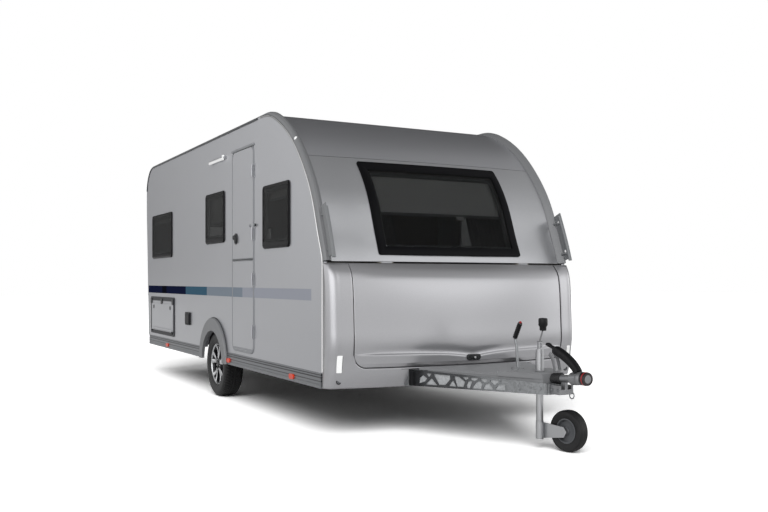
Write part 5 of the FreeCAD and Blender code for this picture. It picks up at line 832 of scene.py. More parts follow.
ROWS, COLUMNS = 150, 150
share = np.linspace(0.0, 1.0, ROWS)
z_rows = LID_FOOT + (LID_TOP - LID_FOOT) * (0.25 * share + 0.75 * share ** 1.6)
near = np.clip(z_rows - LID_FOOT, 0.0, LID_R)
half_rows = LID_HALF - (LID_R - np.sqrt(LID_R ** 2 - (LID_R - near) ** 2))
across = np.sin(np.linspace(-1.0, 1.0, COLUMNS) * 1.35) / math.sin(1.35)
x_grid = half_rows[:, None] * across[None, :]
z_grid = np.repeat(z_rows[:, None], COLUMNS, 1)
edge_near = np.minimum(half_rows[:, None] - np.abs(x_grid), z_grid - LID_FOOT)
round_off = 0.003 * (1.0 - np.clip(edge_near / 0.005, 0.0, 1.0)) ** 2
lid_silver = paint("silver_painted_moulded_GRP_lid", colour="#a9a9ac", roughness=0.3)
piece("locker_lid_shell", [np.stack([x_grid, skin_y(x_grid, z_grid) - lid_relief(x_grid, z_grid) + round_off,
                                     z_grid], -1)],
      lid_silver, "locker_lid_body", "front_silver", ("locker_lid",), wall=LID_THICK, sharp=60.0)
HINGE_Y, HINGE_Z, HINGE_X, HINGE_HALF = FRONT_EDGE_Y - 0.066, 1.290, 0.640, 0.045
knuckle = [(0.0051, 0.0), (0.008, 0.0), (0.008, 0.09), (0.0051, 0.09), (0.0051, 0.0)]
flange = [(0.001, 1.2825), (-0.006, 1.2835), (-0.009, 1.276), (0.009, 1.272), (0.001, 1.2825)]
for label, side in SIDES:
    x = side * HINGE_X
    plate = np.array([[(x - 0.04, HINGE_Y + y, z), (x + 0.04, HINGE_Y + y, z)] for y, z in flange])
    piece("locker_lid_hinge_" + label, [lathe(knuckle, (x - HINGE_HALF, HINGE_Y, HINGE_Z), out_right, 20),
                                        plate],
          front_silver, "locker_lid_body", "front_silver")

# Locker lock: an oval black paddle set into the V of the crease, with a bright key barrel.
LOCK_FRONT_Z = 0.568
out_front = (0.0, -1.0, 0.0)
paddle = (-0.062, 0.062, LOCK_FRONT_Z - 0.024, LOCK_FRONT_Z + 0.024)
key_plate = (-0.036, 0.036, LOCK_FRONT_Z - 0.012, LOCK_FRONT_Z + 0.012)
piece("locker_lock", [slab(paddle, 0.023, 0.004, 0.027, 0.006, lay_skin),
                      slab(key_plate, 0.011, 0.026, 0.033, 0.004, lay_skin)],
      latch_black, "locker_lid_body", "black_plastic")
bright_metal = moulded("polished_zinc_casting", "#c8c9cb", 1.0, 0.2, grain=0.002, depth=0.00005, tone=0.04)
piece("locker_lock_barrel", [lathe([(0.0, 0.0), (0.009, 0.0), (0.009, 0.006), (0.007, 0.008), (0.0, 0.008)],
                                   (0.0, skin_y(0.0, LOCK_FRONT_Z) - 0.032, LOCK_FRONT_Z), (0.0, -1.0, 0.0),
                                   20)],
      bright_metal, "locker_lid_body", "galvanised_steel")

# Front grab handles: flat moulded bars on two feet, in the body's grey. The rear ones are
# round rails on the back wall in the same moulding.
grab_grey = moulded("silver_grey_moulded_nylon_handle", "#77797b", 0.2, 0.45, grain=0.0012, depth=0.0001,
                    tone=0.04)
dress(grab_grey, "grab_handles")
GRAB_TOP, GRAB_FOOT, GRAB_X = (FRONT_EDGE_Y + 0.016, 1.708), (FRONT_EDGE_Y - 0.125, 1.327), WALL_X - 0.033
for label, side in SIDES:
    share = np.linspace(0.0, 1.0, 24)
    y = GRAB_FOOT[0] + (GRAB_TOP[0] - GRAB_FOOT[0]) * share
    z = GRAB_FOOT[1] + (GRAB_TOP[1] - GRAB_FOOT[1]) * share
    bulge = 0.006 * np.sin(math.pi * share)
    path = np.stack([np.full(24, side * GRAB_X), y + 0.005 - bulge, z], -1)
    piece("front_grab_bar_" + label, [sweep(path, oval(0.015, 0.009, 20, 3.0), up=(0.0, -1.0, 0.0))],
          grab_grey, slot="moulding_grey")
    # A moulded web fills the space between the bar and the corner moulding.
    web = path + (side * 0.004, 0.036, 0.012)
    piece("front_grab_web_" + label, [sweep(web, oval(0.006, 0.044, 16, 3.0), up=(0.0, -1.0, 0.35))],
          grab_grey, slot="moulding_grey")
    studs = [lathe([(0.0, 0.0), (0.014, 0.0), (0.014, 0.004), (0.010, 0.008), (0.0, 0.009)],
                   web[i] + (side * -0.003, -0.004, 0.0), (-side * 0.8, -0.6, 0.1), 24) for i in (4, 19)]
    piece("front_grab_studs_" + label, studs, bright_strip, slot="moulding_grey")


# Drawbar: two folded channels of galvanised steel. In their rear part the pressed cells' floors
# carry painted light, lighter than the ribs between them, as if the floors caught the light.
GALV_SPANGLE = 0.012


def galvanised(name, colour="#8e9092", cells=False):
    """Hot-dip galvanised steel: spangle crystals that differ in tone and gloss."""
    material, tree, shader, place = start_material(name, colour, 0.85, 0.42)
    spangle = put(tree, "TexVoronoi", [("Vector", place), ("Scale", 1 / GALV_SPANGLE)])
    grey = put(tree, "RGBToBW", [("Color", spangle.outputs["Color"])]).outputs[0]
    tone = put(tree, "MapRange", [("Value", grey), ("To Min", 0.78), ("To Max", 1.16)])
    shift(tree, shader, grey, Roughness=(0.34, 0.52))
    textured(tree, shader, colour, tone, grey, 0.15, 0.0006)
    if not cells:
        return material
    # Depth below the beam's outer face, from X, Y and the face's plane: a pocket's floor is
    # 7 mm deep, and only that depth gets the painted light.
    axes = put(tree, "SeparateXYZ", [("Vector", place)]).outputs
    half = put(tree, "Math", [(0, axes["X"])], operation="ABSOLUTE")
    parts = []
    for along, nose, slope in ((half.outputs[0], BEAM_NOSE[0], math.cos(BEAM_ANGLE)),
                               (axes["Y"], BEAM_NOSE[1] + AXLE_Y, math.sin(BEAM_ANGLE))):
        away = put(tree, "Math", [(0, along), (1, nose)], operation="SUBTRACT")
        parts.append(put(tree, "Math", [(0, away.outputs[0]), (1, slope)], operation="MULTIPLY").outputs[0])
    depth = put(tree, "Math", [(0, parts[0]), (1, parts[1])], operation="SUBTRACT")
    floor = put(tree, "Math", [(0, depth.outputs[0]), (1, -CELL_DEPTH), (2, 0.002)],
                operation="COMPARE").outputs[0]
    # The ribs carry painted shade: dark at the body, where the beam lies in its shade, and plain at the
    # nose.
    run = put(tree, "MapRange", [("Value", axes["Y"]), ("From Min", BEAM_ROOT[1] + AXLE_Y),
                                 ("From Max", BEAM_NOSE[1] + AXLE_Y)])
    ribs = put(tree, "ValToRGB", [("Fac", run.outputs[0])],
               stops=[(at, linear(code)) for at, code in RIB_SHADE_TONES])
    rib, light = [put(tree, "VectorMath", [(0, shade), ("Scale", tone.outputs[0])],
                      operation="SCALE").outputs[0]
                  for shade in (ribs.outputs["Color"], linear(CELL_LIGHT_TONE)[:3])]
    finish = put(tree, "Mix", [(0, floor), (6, rib), (7, light)], data_type="RGBA")
    tree.links.new(finish.outputs[2], shader.inputs["Base Color"])
    shift(tree, shader, floor, Metallic=(0.85, 0.25))
    return material


BEAM_ROOT, BEAM_NOSE, CELL_DEPTH = (0.545, -2.860), (0.080, -3.905), 0.007
RIB_SHADE_TONES = [(0.0, "#1c1d1f"), (0.10, "#2c2d2f"), (0.14, "#4a4b4d"), (0.42, "#4a4b4d"), (0.60, "#808284"),
             (1.0, "#8e9092")]
CELL_LIGHT_TONE = "#a6a8aa"
BEAM_ANGLE = math.atan2(BEAM_ROOT[0] - BEAM_NOSE[0], BEAM_ROOT[1] - BEAM_NOSE[1])
galv_plain = galvanised("galvanised_steel")
dress(galvanised("galvanised_drawbar_channel_with_painted_light_and_shade", "#6d6f71", cells=True), "drawbar_frame")
dress(galv_plain, "chassis_rails", "axle_tube", "steady_brackets", "steady_front_left", "steady_front_right",
      "steady_rear_left", "steady_rear_right")


def along_beam(side, back, out, z):
    """A point on one drawbar beam's outer face: a distance back from its nose, out from it, and up."""
    away = np.array([math.sin(BEAM_ANGLE), math.cos(BEAM_ANGLE)])
    square = np.array([math.cos(BEAM_ANGLE), -math.sin(BEAM_ANGLE)])
    x, y = np.array(BEAM_NOSE) + back * away + out * square
    return (side * x, y, z)


def bolt(start, axis, radius, height, washer):
    """A hexagon bolt head with chamfered corners on a round washer of a radius."""
    disc = lathe([(0.0, 0.0), (washer, 0.0), (washer, 0.002), (0.0, 0.002)], start, axis, 24)
    head = lathe([(0.0, 0.002), (radius, 0.002), (radius, height - 0.001), (radius * 0.86, height),
                  (0.0, height)],
                 start, axis, 6)
    return [disc, head]


beam_square = np.array([math.cos(BEAM_ANGLE), -math.sin(BEAM_ANGLE)])
for label, side in SIDES:
    axis = (side * beam_square[0], beam_square[1], 0.0)
    heads = []
    for back, z in ((0.05, 0.432), (0.13, 0.432), (0.21, 0.452), (0.21, 0.415), (1.10, 0.455), (1.10, 0.41)):
        heads += bolt(along_beam(side, back, -0.0005, z), axis, 0.009, 0.008, 0.014)
    piece("drawbar_bolts_" + label, heads, galv_plain, slot="galvanised_steel", sharp=30.0)

# Drawbar cover: one grey moulded plate with a fine grain and a raised hood over the handbrake.
cover_grey = moulded("grey_moulded_PP_drawbar_cover", "#77787a", 0.0, 0.5, grain=0.0016, depth=0.0003,
                     tone=0.05)
dress(cover_grey, "drawbar_cover")

# Coupling: a silver cast housing behind a black bellows, with a dark nose ring, a long black
# handle with a black release button, and small brackets that carry the safety-cable ring.
cast_silver = moulded("silver_painted_cast_iron_coupling", "#8b8c8e", 0.75, 0.42, grain=0.003, depth=0.0006,
                      tone=0.08)
dress(cast_silver, "coupling_head")
bellows_black = moulded("black_moulded_rubber_bellows", "#161618", 0.0, 0.55, grain=0.0015, depth=0.0002,
                        tone=0.15)
GAITER_Y, GAITER_Z, RISE = -3.872, 0.496, (0.526 - 0.496) / (4.148 - 3.872)
FOLDS, FOLD_R, FOLD_HIGH, FOLD_PITCH, FIRST_FOLD = 5, 0.0275, 0.0095, 0.0175, 0.004
folds = np.arange(FOLDS * 6 + 1) / 6
fold_r = FOLD_R + FOLD_HIGH * np.abs(np.sin(math.pi * folds)) ** 0.8
fold_profile = [(0.0, 0.0), (0.030, 0.0), *zip(fold_r, FIRST_FOLD + folds * FOLD_PITCH),
                (0.0, FIRST_FOLD + FOLDS * FOLD_PITCH)]
piece("coupling_bellows", [lathe(fold_profile, (0.0, GAITER_Y, GAITER_Z), (0.0, -1.0, RISE), 40)],
      bellows_black, slot="black_plastic", replaced=("coupling_gaiter",), sharp=70.0)
nose_dark = moulded("dark_moulded_coupling_nose", "#1c1416", 0.0, 0.4, grain=0.0015, depth=0.0002, tone=0.2)
nose_red = moulded("red_moulded_nylon_indicator", "#9c2326", 0.0, 0.4, grain=0.001, depth=0.0001, tone=0.08)
NOSE_Z, NOSE_Y = 0.5245, -4.215
nose_cap = [(0.0, 0.0065), (0.022, 0.0065), (0.027, 0.0), (0.041, 0.0), (0.0435, 0.004), (0.0435, 0.042),
            (0.041, 0.045), (0.0401, 0.045)]
wear_mark = [(0.0436, 0.0), (0.0446, 0.0015), (0.0446, 0.0085), (0.0436, 0.01), (0.0436, 0.0)]
for name, profile, y, material in (("coupling_nose_cap", nose_cap, NOSE_Y - 0.0005, nose_dark),
                                   ("coupling_wear_mark", wear_mark, NOSE_Y + 0.012, nose_red)):
    piece(name, [lathe(profile, (0.0, y, NOSE_Z), (0.0, 1.0, 0.0), 40)], material, slot="black_plastic")
CABLE_RING, CABLE_RING_R, CABLE_RING_WIRE = (0.060, -3.99, 0.392), 0.022, 0.004
turn = np.linspace(0.0, 2 * math.pi, 25)
ring_path = CABLE_RING + CABLE_RING_R * np.stack([0.0 * turn, np.sin(turn), -np.cos(turn)], -1)
piece("cable_ring", [sweep(ring_path, oval(CABLE_RING_WIRE, CABLE_RING_WIRE, 10), up=(1.0, 0.0, 0.0))],
      galv_plain, slot="galvanised_steel")
bracket_bolts = []
for side in (-1.0, 1.0):
    for y in (-3.985, -3.932):
        bracket_bolts += bolt((side * 0.0575, y, 0.432), (side, 0.0, 0.0), 0.008, 0.009, 0.013)
piece("coupling_bolts", bracket_bolts, galv_plain, slot="galvanised_steel", sharp=30.0)
HANDLE_LINE = [(-3.807, 0.724), (-3.845, 0.712), (-3.905, 0.697), (-3.985, 0.667), (-4.060, 0.626),
               (-4.105, 0.588), (-4.122, 0.568)]
handle_black = moulded("black_moulded_nylon_grip", "#121214", 0.0, 0.36, grain=0.002, depth=0.0003,
                       tone=0.12, Specular_IOR_Level=0.2)
GRIP_START, GRIP_BLEND = 0.20, 0.06
share = np.linspace(0.0, 1.0, 48)
grip_share = np.clip((share - GRIP_START) / GRIP_BLEND, 0.0, 1.0)
curve = spline(HANDLE_LINE, 48)
curve[:, 1] -= 0.010 * grip_share
run = np.gradient(curve, axis=0)
run /= np.linalg.norm(run, axis=1)[:, None]
# Its section is a squarish oval whose half width and half height grow along the share.
section = oval(1.0, 1.0, 28, 2.8)
wide = (0.013 + 0.013 * grip_share)[:, None] * section[None, :, 0]
high = (0.010 + 0.004 * share + grip_share * (0.020 - 0.008 * share ** 3))[:, None] * section[None, :, 1]
skin = np.stack([wide, curve[:, :1] - run[:, 1:] * high, curve[:, 1:] + run[:, :1] * high], -1)
tips = [np.repeat(np.array([[[0.0, *(curve[i] + s * 0.012 * run[i])]]]), len(section), 1)
        for i, s in ((0, -1.0), (-1, 1.0))]
piece("coupling_handle_grip", [np.concatenate([tips[0], skin, tips[1]])], handle_black, slot="black_plastic")
FORK_LINE = [(-3.858, 0.664), (-3.884, 0.640), (-3.905, 0.600), (-3.918, 0.552)]
fork_curve = spline(FORK_LINE, 14)
piece("coupling_handle_fork", [sweep(np.stack([np.full(14, x), fork_curve[:, 0], fork_curve[:, 1]], -1),
                                     oval(0.003, 0.016, 14, 4.0),
                                     up=(0.0, -1.0, 0.4)) for x in (-0.021, 0.021)],
      cast_silver, slot="galvanised_steel", replaced=("coupling_handle",))
NECK_LINE = [(-4.108, 0.595), (-4.112, 0.575), (-4.112, 0.55)]
piece("coupling_handle_neck", [sweep([(0.0, y, z) for y, z in NECK_LINE], oval(0.015, 0.014, 16, 3.0),
                                     up=(0.0, -1.0, 0.0))], cast_silver, slot="galvanised_steel")
release_button = slab((-0.011, 0.011, -0.016, 0.016), 0.008, 0.0, 0.009, 0.003, lambda a, b, h: np.stack(
    [a, -3.835 + b * 0.94 + h * 0.26, 0.722 + b * 0.3 + h], -1))
piece("coupling_release", [release_button], handle_black, slot="black_plastic")

# Handbrake: a galvanised lever rising from a round grey seat, with a ribbed black grip and a red
# button.
plated = moulded("bright_zinc_plated_steel", "#b4b5b7", 1.0, 0.28, grain=0.004, depth=0.0001, tone=0.05)
dress(galv_plain, "handbrake_lever")
LEVER = [(-3.482, 0.512), (-3.470, 0.686), (-3.448, 0.746), (-3.510, 0.855)]
seat_profile = [(0.0, 0.0), (0.044, 0.0), (0.046, 0.004), (0.042, 0.016), (0.030, 0.024), (0.014, 0.027),
                (0.0, 0.027)]
piece("handbrake_seat", [lathe(seat_profile, (0.0, LEVER[0][0] + 0.001, LEVER[0][1] + 0.0005),
                               (0.0, 0.07, 1.0), 36)],
      cover_grey, slot="black_plastic")
grip_run = np.array([0.0, LEVER[3][0] - LEVER[2][0], LEVER[3][1] - LEVER[2][1]])
grip_length = float(np.linalg.norm(grip_run))
grip_profile = [(0.0, -0.002), (0.0135, -0.002), (0.017, 0.002)]
grip_profile += [(0.0172 + 0.0012 * math.cos(s * 14 * math.pi), 0.006 + (grip_length - 0.02) * s)
                 for s in np.linspace(0, 1, 85)]
grip_profile += [(0.017, grip_length - 0.008), (0.014, grip_length + 0.001), (0.0, grip_length + 0.001)]
piece("handbrake_grip", [lathe(grip_profile, (0.0, *LEVER[2]), grip_run, 32)], handle_black,
      slot="black_plastic", sharp=50.0)
piece("handbrake_button", [lathe([(0.0, 0.0), (0.0085, 0.0), (0.0085, 0.007), (0.006, 0.01), (0.0, 0.01)],
                                 (0.0, LEVER[3][0] - 0.0005, LEVER[3][1] + 0.001), grip_run, 20)], nose_red,
      slot="black_plastic")

# Jockey wheel: a bright plated outer tube held in a clamp, a crank with a black knob, an inner
# tube, a pressed steel arm and a ribbed rubber tyre on a grey moulded hub.
JOCKEY_Y, JOCKEY_R = -3.729, 0.029
dress(plated, "jockey_stem", "jockey_arm")
# The crank rod above the tube is bare steel, darker than the plating, so it shows on white.
CRANK_Z = (0.732, 0.738)
column_steel = plated.copy()
column_steel.name = "zinc_plated_tube_with_bare_steel_crank"
dress(fade(column_steel, "Z", CRANK_Z[0], CRANK_Z[1], 0.3), "jockey_column")
COLLAR_Z, KNOB_X, upwards = 0.5305, 0.028, (0.0, 0.0, 1.0)
collar = [(JOCKEY_R + r, t) for r, t in ((0.0005, 0.0), (0.005, 0.0), (0.006, 0.003), (0.003, 0.008),
                                         (0.0005, 0.009), (0.0005, 0.0))]
knob = [(0.0, 0.810), (0.019, 0.810), (0.0235, 0.815), (0.0235, 0.836), (0.0285, 0.843), (0.0318, 0.850),
        (0.0318, 0.886), (0.0285, 0.8955), (0.015, 0.898), (0.0, 0.898)]
piece("jockey_collar", [lathe(collar, (0.0, JOCKEY_Y, COLLAR_Z), upwards, 48)], cover_grey,
      slot="black_plastic")
piece("jockey_knob", [lathe(knob, (KNOB_X, JOCKEY_Y, 0.0), upwards, 36)], handle_black, slot="black_plastic")
ARM_TURN = math.radians(8.6)
TRAIL, WHEEL_OFFSET, JOCKEY_WHEEL_R, JOCKEY_HUB_R = 0.188, 0.080, 0.141, 0.084
arm_ahead = np.array([math.sin(ARM_TURN), -math.cos(ARM_TURN), 0.0])
arm_side = np.array([math.cos(ARM_TURN), math.sin(ARM_TURN), 0.0])
jockey_centre = np.array([0.0, JOCKEY_Y, JOCKEY_WHEEL_R]) + arm_ahead * TRAIL + arm_side * WHEEL_OFFSET
rubber_black = moulded("black_vulcanised_rubber_tyre", "#161617", 0.0, 0.5, grain=0.003, depth=0.0004,
                       tone=0.18, Specular_IOR_Level=0.35)
# The tread's grooves lie at the ends of each 13.6 mm rib; the walls are the same on both sides.
TREAD_HALF, RIB_PITCH, RIB_DEPTH = 0.034, 0.0136, 0.0025
tyre_wall = [(JOCKEY_HUB_R - 0.0005, -0.030), (0.100, -0.036), (0.118, -0.0405), (0.131, -0.0395)]
across = np.linspace(-TREAD_HALF, TREAD_HALF, 41)
grooved = np.abs(((across + TREAD_HALF) / RIB_PITCH) % 1.0 - 0.5) > 0.36
grooved[[0, -1]] = False
tread = JOCKEY_WHEEL_R - 0.0002 - RIB_DEPTH * grooved - 0.006 * np.abs(across / 0.036) ** 4
tyre_profile = tyre_wall + list(zip(tread, across)) + [(r, -t) for r,
                                                       t in reversed(tyre_wall)] + tyre_wall[:1]
piece("jockey_tyre_ribbed", [lathe(tyre_profile, jockey_centre, arm_side, 72)], rubber_black,
      "jockey_wheel_body", "tyre_rubber", ("jockey_tyre",), sharp=30.0)
hub_grey = moulded("grey_moulded_nylon_hub", "#55575a", 0.0, 0.45, grain=0.0015, depth=0.0002, tone=0.06)
hub_half = [(0.0, 0.034), (0.022, 0.034), (0.026, 0.031), (0.028, 0.016), (0.060, 0.010), (0.070, 0.012),
            (0.075, 0.031), (0.0785, 0.0335), (JOCKEY_HUB_R, 0.0325)]
hub_profile = hub_half + [(r, -t) for r, t in reversed(hub_half)]
piece("jockey_hub_dished", [lathe(hub_profile, jockey_centre, arm_side, 64)], hub_grey, "jockey_wheel_body",
      "alloy", ("jockey_hub",), sharp=35.0)
HUB_BOLTS_R = 0.045
hub_bolts = bolt(jockey_centre + arm_side * 0.0335, arm_side, 0.011, 0.011, 0.018)
for turn in np.arange(5) * 2 * math.pi / 5:
    spot = jockey_centre + arm_side * 0.0095 + HUB_BOLTS_R * math.cos(turn) * arm_ahead
    hub_bolts += bolt(spot + (0.0, 0.0, HUB_BOLTS_R * math.sin(turn)), arm_side, 0.006, 0.007, 0.009)
piece("jockey_hub_bolts", hub_bolts, plated, "jockey_wheel_body", "galvanised_steel", sharp=30.0)

# Road wheels: a tyre with four circumferential grooves and blocks cut across the shoulders,
# raised rings on its side wall, and no lettering. The alloy wheel has five pairs of spokes with
# bright turned faces over black pockets, and five bolts round a black cap.
WHEEL_CENTRE, TREAD_DEPTH, BLOCKS = (1.024, 0.0, 0.320), 0.007, 64
GROOVES = ((-0.036, 0.0042), (-0.0125, 0.005), (0.0125, 0.005), (0.036, 0.0042))
TYRE_SECTION = [(0.2025, 0.0795), (0.214, 0.0875), (0.233, 0.0935), (0.250, 0.0968), (0.265, 0.0975),
                (0.280, 0.0962), (0.294, 0.0915), (0.304, 0.0850), (0.312, 0.0775), (0.3165, 0.0690),
                (0.3185, 0.0555)]
SIDE_RINGS, RING_RISE, RING_WIDE = (0.222, 0.243, 0.288), 0.0012, 0.0022


def tyre_skin(side):
    """One tyre as a closed grid round its axle: grooves and blocks come from a height rule."""
    flank = spline(TYRE_SECTION, 56)
    crown = np.linspace(0.0545, -0.0545, 61)
    crown_r = 0.3185 + 0.0015 * (1.0 - (crown / 0.0555) ** 2)
    half = np.concatenate([flank[:, 1], crown, -flank[::-1, 1]])
    radius = np.concatenate([flank[:, 0], crown_r, flank[::-1, 0]])
    for ring_r in SIDE_RINGS:
        on_flank = np.abs(half) > 0.06
        raised = RING_RISE * np.exp(-((radius - ring_r) / RING_WIDE) ** 2) * (radius < 0.3)
        half = half + np.sign(half) * on_flank * raised
    turns = np.linspace(0.0, 2 * math.pi, BLOCKS * 8 + 1)
    t, h = np.meshgrid(turns, half)
    r = np.repeat(radius[:, None], len(turns), 1)
    groove = np.zeros_like(h)
    for centre, width in GROOVES:
        groove = np.maximum(groove, np.clip((width - np.abs(h - centre)) / 0.0012, 0.0, 1.0))
    phase = (t * BLOCKS / (2 * math.pi) + 0.7 * np.abs(h) / 0.05) % 1.0
    cut = np.clip((0.13 - np.abs(phase - 0.5)) / 0.03, 0.0, 1.0)
    shoulder = (np.abs(h) > 0.0395) & (r > 0.3)
    rib = (np.abs(h) > 0.0155) & (np.abs(h) < 0.034)
    groove = np.maximum(groove, cut * (shoulder * 1.0 + rib * 0.7))
    groove *= np.clip((r - 0.303) / 0.006, 0.0, 1.0)
    r = r - TREAD_DEPTH * groove
    x = side * (WHEEL_CENTRE[0] + h)
    return np.stack([x, WHEEL_CENTRE[1] + r * np.cos(t), WHEEL_CENTRE[2] + r * np.sin(t)], -1)


alloy_bright = moulded("turned_bright_cast_aluminium", "#c3c4c6", 1.0, 0.26, grain=0.0012, depth=0.00005,
                       tone=0.05)
alloy_black = moulded("black_painted_cast_aluminium", "#151518", 0.3, 0.35, grain=0.002, depth=0.0001,
                      tone=0.15)
SPOKES, TWIN, RIM_FACE = 5, math.radians(14.0), 0.0695
SPOKE_BACK = [(-1.0, -0.040), (-1.0, -0.003), (-0.85, -0.0005), (0.85, -0.0005), (1.0, -0.003),
              (1.0, -0.040), (-1.0, -0.040)]
SPOKE_FACE = [(-0.95, -0.002), (-0.95, 0.0), (-0.88, 0.0008), (0.88, 0.0008), (0.95, 0.0), (0.95, -0.002),
              (-0.95, -0.002)]
# Each turned part of the wheel is a profile of (radius, distance outwards from its middle plane).
RIM_PARTS = (
    ("rim_barrel_", [(0.196, 0.068), (0.2005, 0.0775), (0.203, 0.0775), (0.2028, 0.060), (0.19, 0.050),
                     (0.186, -0.050), (0.2028, -0.070), (0.203, -0.0775), (0.199, -0.0775), (0.181, -0.05),
                     (0.178, 0.04), (0.182, 0.060), (0.188, 0.0665), (0.196, 0.068)], 96, alloy_black),
    ("brake_drum_", [(0.0, -0.045), (0.125, -0.045), (0.125, 0.012), (0.112, 0.022), (0.0, 0.022)], 64,
     alloy_black),
    ("rim_edge_", [(0.1905, 0.0700), (0.1985, 0.0779), (0.2015, 0.0779), (0.2015, 0.0765), (0.1905, 0.0690),
                   (0.1905, 0.0700)], 96, alloy_bright),
    ("rim_hub_", [(0.0, 0.030), (0.074, 0.030), (0.074, 0.048), (0.066, 0.060), (0.036, 0.0665),
                  (0.034, 0.060), (0.0, 0.060)], 60, alloy_black),
    ("rim_cap_", [(0.0, 0.058), (0.031, 0.058), (0.031, 0.070), (0.028, 0.0745), (0.0, 0.0755)], 40,
     alloy_black),
)
BOLT_CIRCLE = 0.050
BOLT_SEAT = [(0.0, 0.061), (0.0115, 0.061), (0.0135, 0.0655), (0.0145, 0.0655), (0.0145, 0.058),
             (0.0, 0.058)]


def spoke(side, turn, lean, levels):
    """A spoke from the hub to the rim, widening outwards; levels are pairs of half width share
    and height off its dished face."""
    r = np.linspace(0.056, 0.186, 14)
    share = (r - r[0]) / (r[-1] - r[0])
    middle = turn + lean * (0.35 + 0.65 * share)
    half_wide = (0.0125 + 0.0085 * share) / r
    face = RIM_FACE - 0.006 * np.sin(math.pi * share) + 0.004 * share ** 3
    made = []
    for across, height in levels:
        angle = middle + across * half_wide
        made.append(np.stack([side * (WHEEL_CENTRE[0] + face + height), r * np.cos(angle),
                              WHEEL_CENTRE[2] + r * np.sin(angle)], -1))
    skin = np.stack(made, 1)
    ends = [np.repeat(skin[i].mean(0)[None], len(levels), 0)[None] for i in (0, -1)]
    return np.concatenate([ends[0], skin, ends[1]])


for label, side in SIDES:
    body = "wheel_%s_body" % label
    skin = tyre_skin(side)
    piece("road_tyre_" + label, [np.concatenate([skin, skin[:1]])], rubber_black, body, "tyre_rubber",
          ("tyre_" + label,), sharp=30.0)
    middle = (side * WHEEL_CENTRE[0], 0.0, WHEEL_CENTRE[2])
    out = (side, 0.0, 0.0)
    for part, profile, count, material in RIM_PARTS:
        piece(part + label, [lathe(profile, middle, out, count)], material, body, "alloy",
              ("rim_" + label,) if part == "rim_barrel_" else (), sharp=35.0)
    for part, levels, material in (("rim_spokes_", SPOKE_BACK, alloy_black),
                                   ("rim_spoke_faces_", SPOKE_FACE, alloy_bright)):
        piece(part + label, [spoke(side, math.pi / 2 + i * 2 * math.pi / SPOKES, lean, levels)
                             for i in range(SPOKES) for lean in (-TWIN, TWIN)], material, body, "alloy",
                             sharp=35.0)
    bolts, seats = [], []
    for i in range(SPOKES):
        turn = -math.pi / 2 + i * 2 * math.pi / SPOKES
        spot = np.array(middle) + BOLT_CIRCLE * np.array([0.0, math.cos(turn), math.sin(turn)])
        seats.append(lathe(BOLT_SEAT, spot, out, 24))
        bolts += bolt(spot + np.array(out) * 0.060, out, 0.0085, 0.010, 0.0095)
    piece("rim_bolt_seats_" + label, seats, alloy_black, body, "alloy", sharp=35.0)
    piece("rim_bolts_" + label, bolts, plated, body, "galvanised_steel", sharp=30.0)


# Wheel arches, skirts and bumper: the arch is a grey moulding with a dark seal round it; the
# skirt is an anodised aluminium profile, darker than the wall, with three grooves drawn as
# lines of painted shade.
SKIRT_GROOVES, GROOVE_HALF = (0.456, 0.436, 0.408), 0.0035
skirt_grey = moulded("dark_anodised_aluminium_skirt", "#7b7d80", 0.75, 0.42, grain=0.004, depth=0.00005,
                     tone=0.05)
tree, shader, axes, finish = reopen(skirt_grey)
# Each groove is painted shade: a dark line on the profile where the groove would lie in shade.
for groove_z in SKIRT_GROOVES:
    groove = put(tree, "Math", [(0, axes["Z"]), (1, groove_z), (2, GROOVE_HALF)], operation="COMPARE")
    finish = put(tree, "Mix", [(0, groove.outputs[0]), (6, finish), (7, linear("#3c3d40"))],
                 data_type="RGBA").outputs[2]
tree.links.new(finish, shader.inputs["Base Color"])
dress(skirt_grey, "side_skirt_left", "side_skirt_right")
dress(moulding_grey, "rear_bumper", "arch_moulding_left", "arch_moulding_right")
ARCH_CENTRE, ARCH_R, ARCH_FOOT = (0.0, 0.345), 0.438, 0.475
start_turn = math.asin((ARCH_FOOT - ARCH_CENTRE[1]) / ARCH_R)
turn = np.linspace(start_turn, math.pi - start_turn, 60)
for label, side in SIDES:
    path = np.stack([np.full(60, side * (WALL_X + 0.003)), ARCH_CENTRE[0] + ARCH_R * np.cos(turn),
                     ARCH_CENTRE[1] + ARCH_R * np.sin(turn)], -1)
    piece("arch_seal_" + label, [sweep(path, oval(0.0065, 0.005, 10), up=(1.0, 0.0, 0.0))], sealant,
          slot="black_plastic")


def prism_lens(name, colour, prism, tones, dent, roughness=0.15, coat=0.5, **more):
    """A moulded acrylic lens whose prisms vary its tone and bend its highlights."""
    material, tree, shader, place = start_material(name, colour, 0.0, roughness, Coat_Weight=coat, **more)
    cells = put(tree, "TexVoronoi", [("Vector", place), ("Scale", 1 / prism)]).outputs["Distance"]
    shade = put(tree, "MapRange", [("Value", cells), ("To Min", tones[0]), ("To Max", tones[1])])
    textured(tree, shader, colour, shade, cells, dent, 0.001)
    return material


# Side markers: small amber reflectors let into the skirts.
marker_amber = prism_lens("amber_prismatic_acrylic_lens", "#d8390f", 0.006, (0.7, 1.15), 0.0, 0.3, 0.1)
dress(marker_amber, "side_markers")

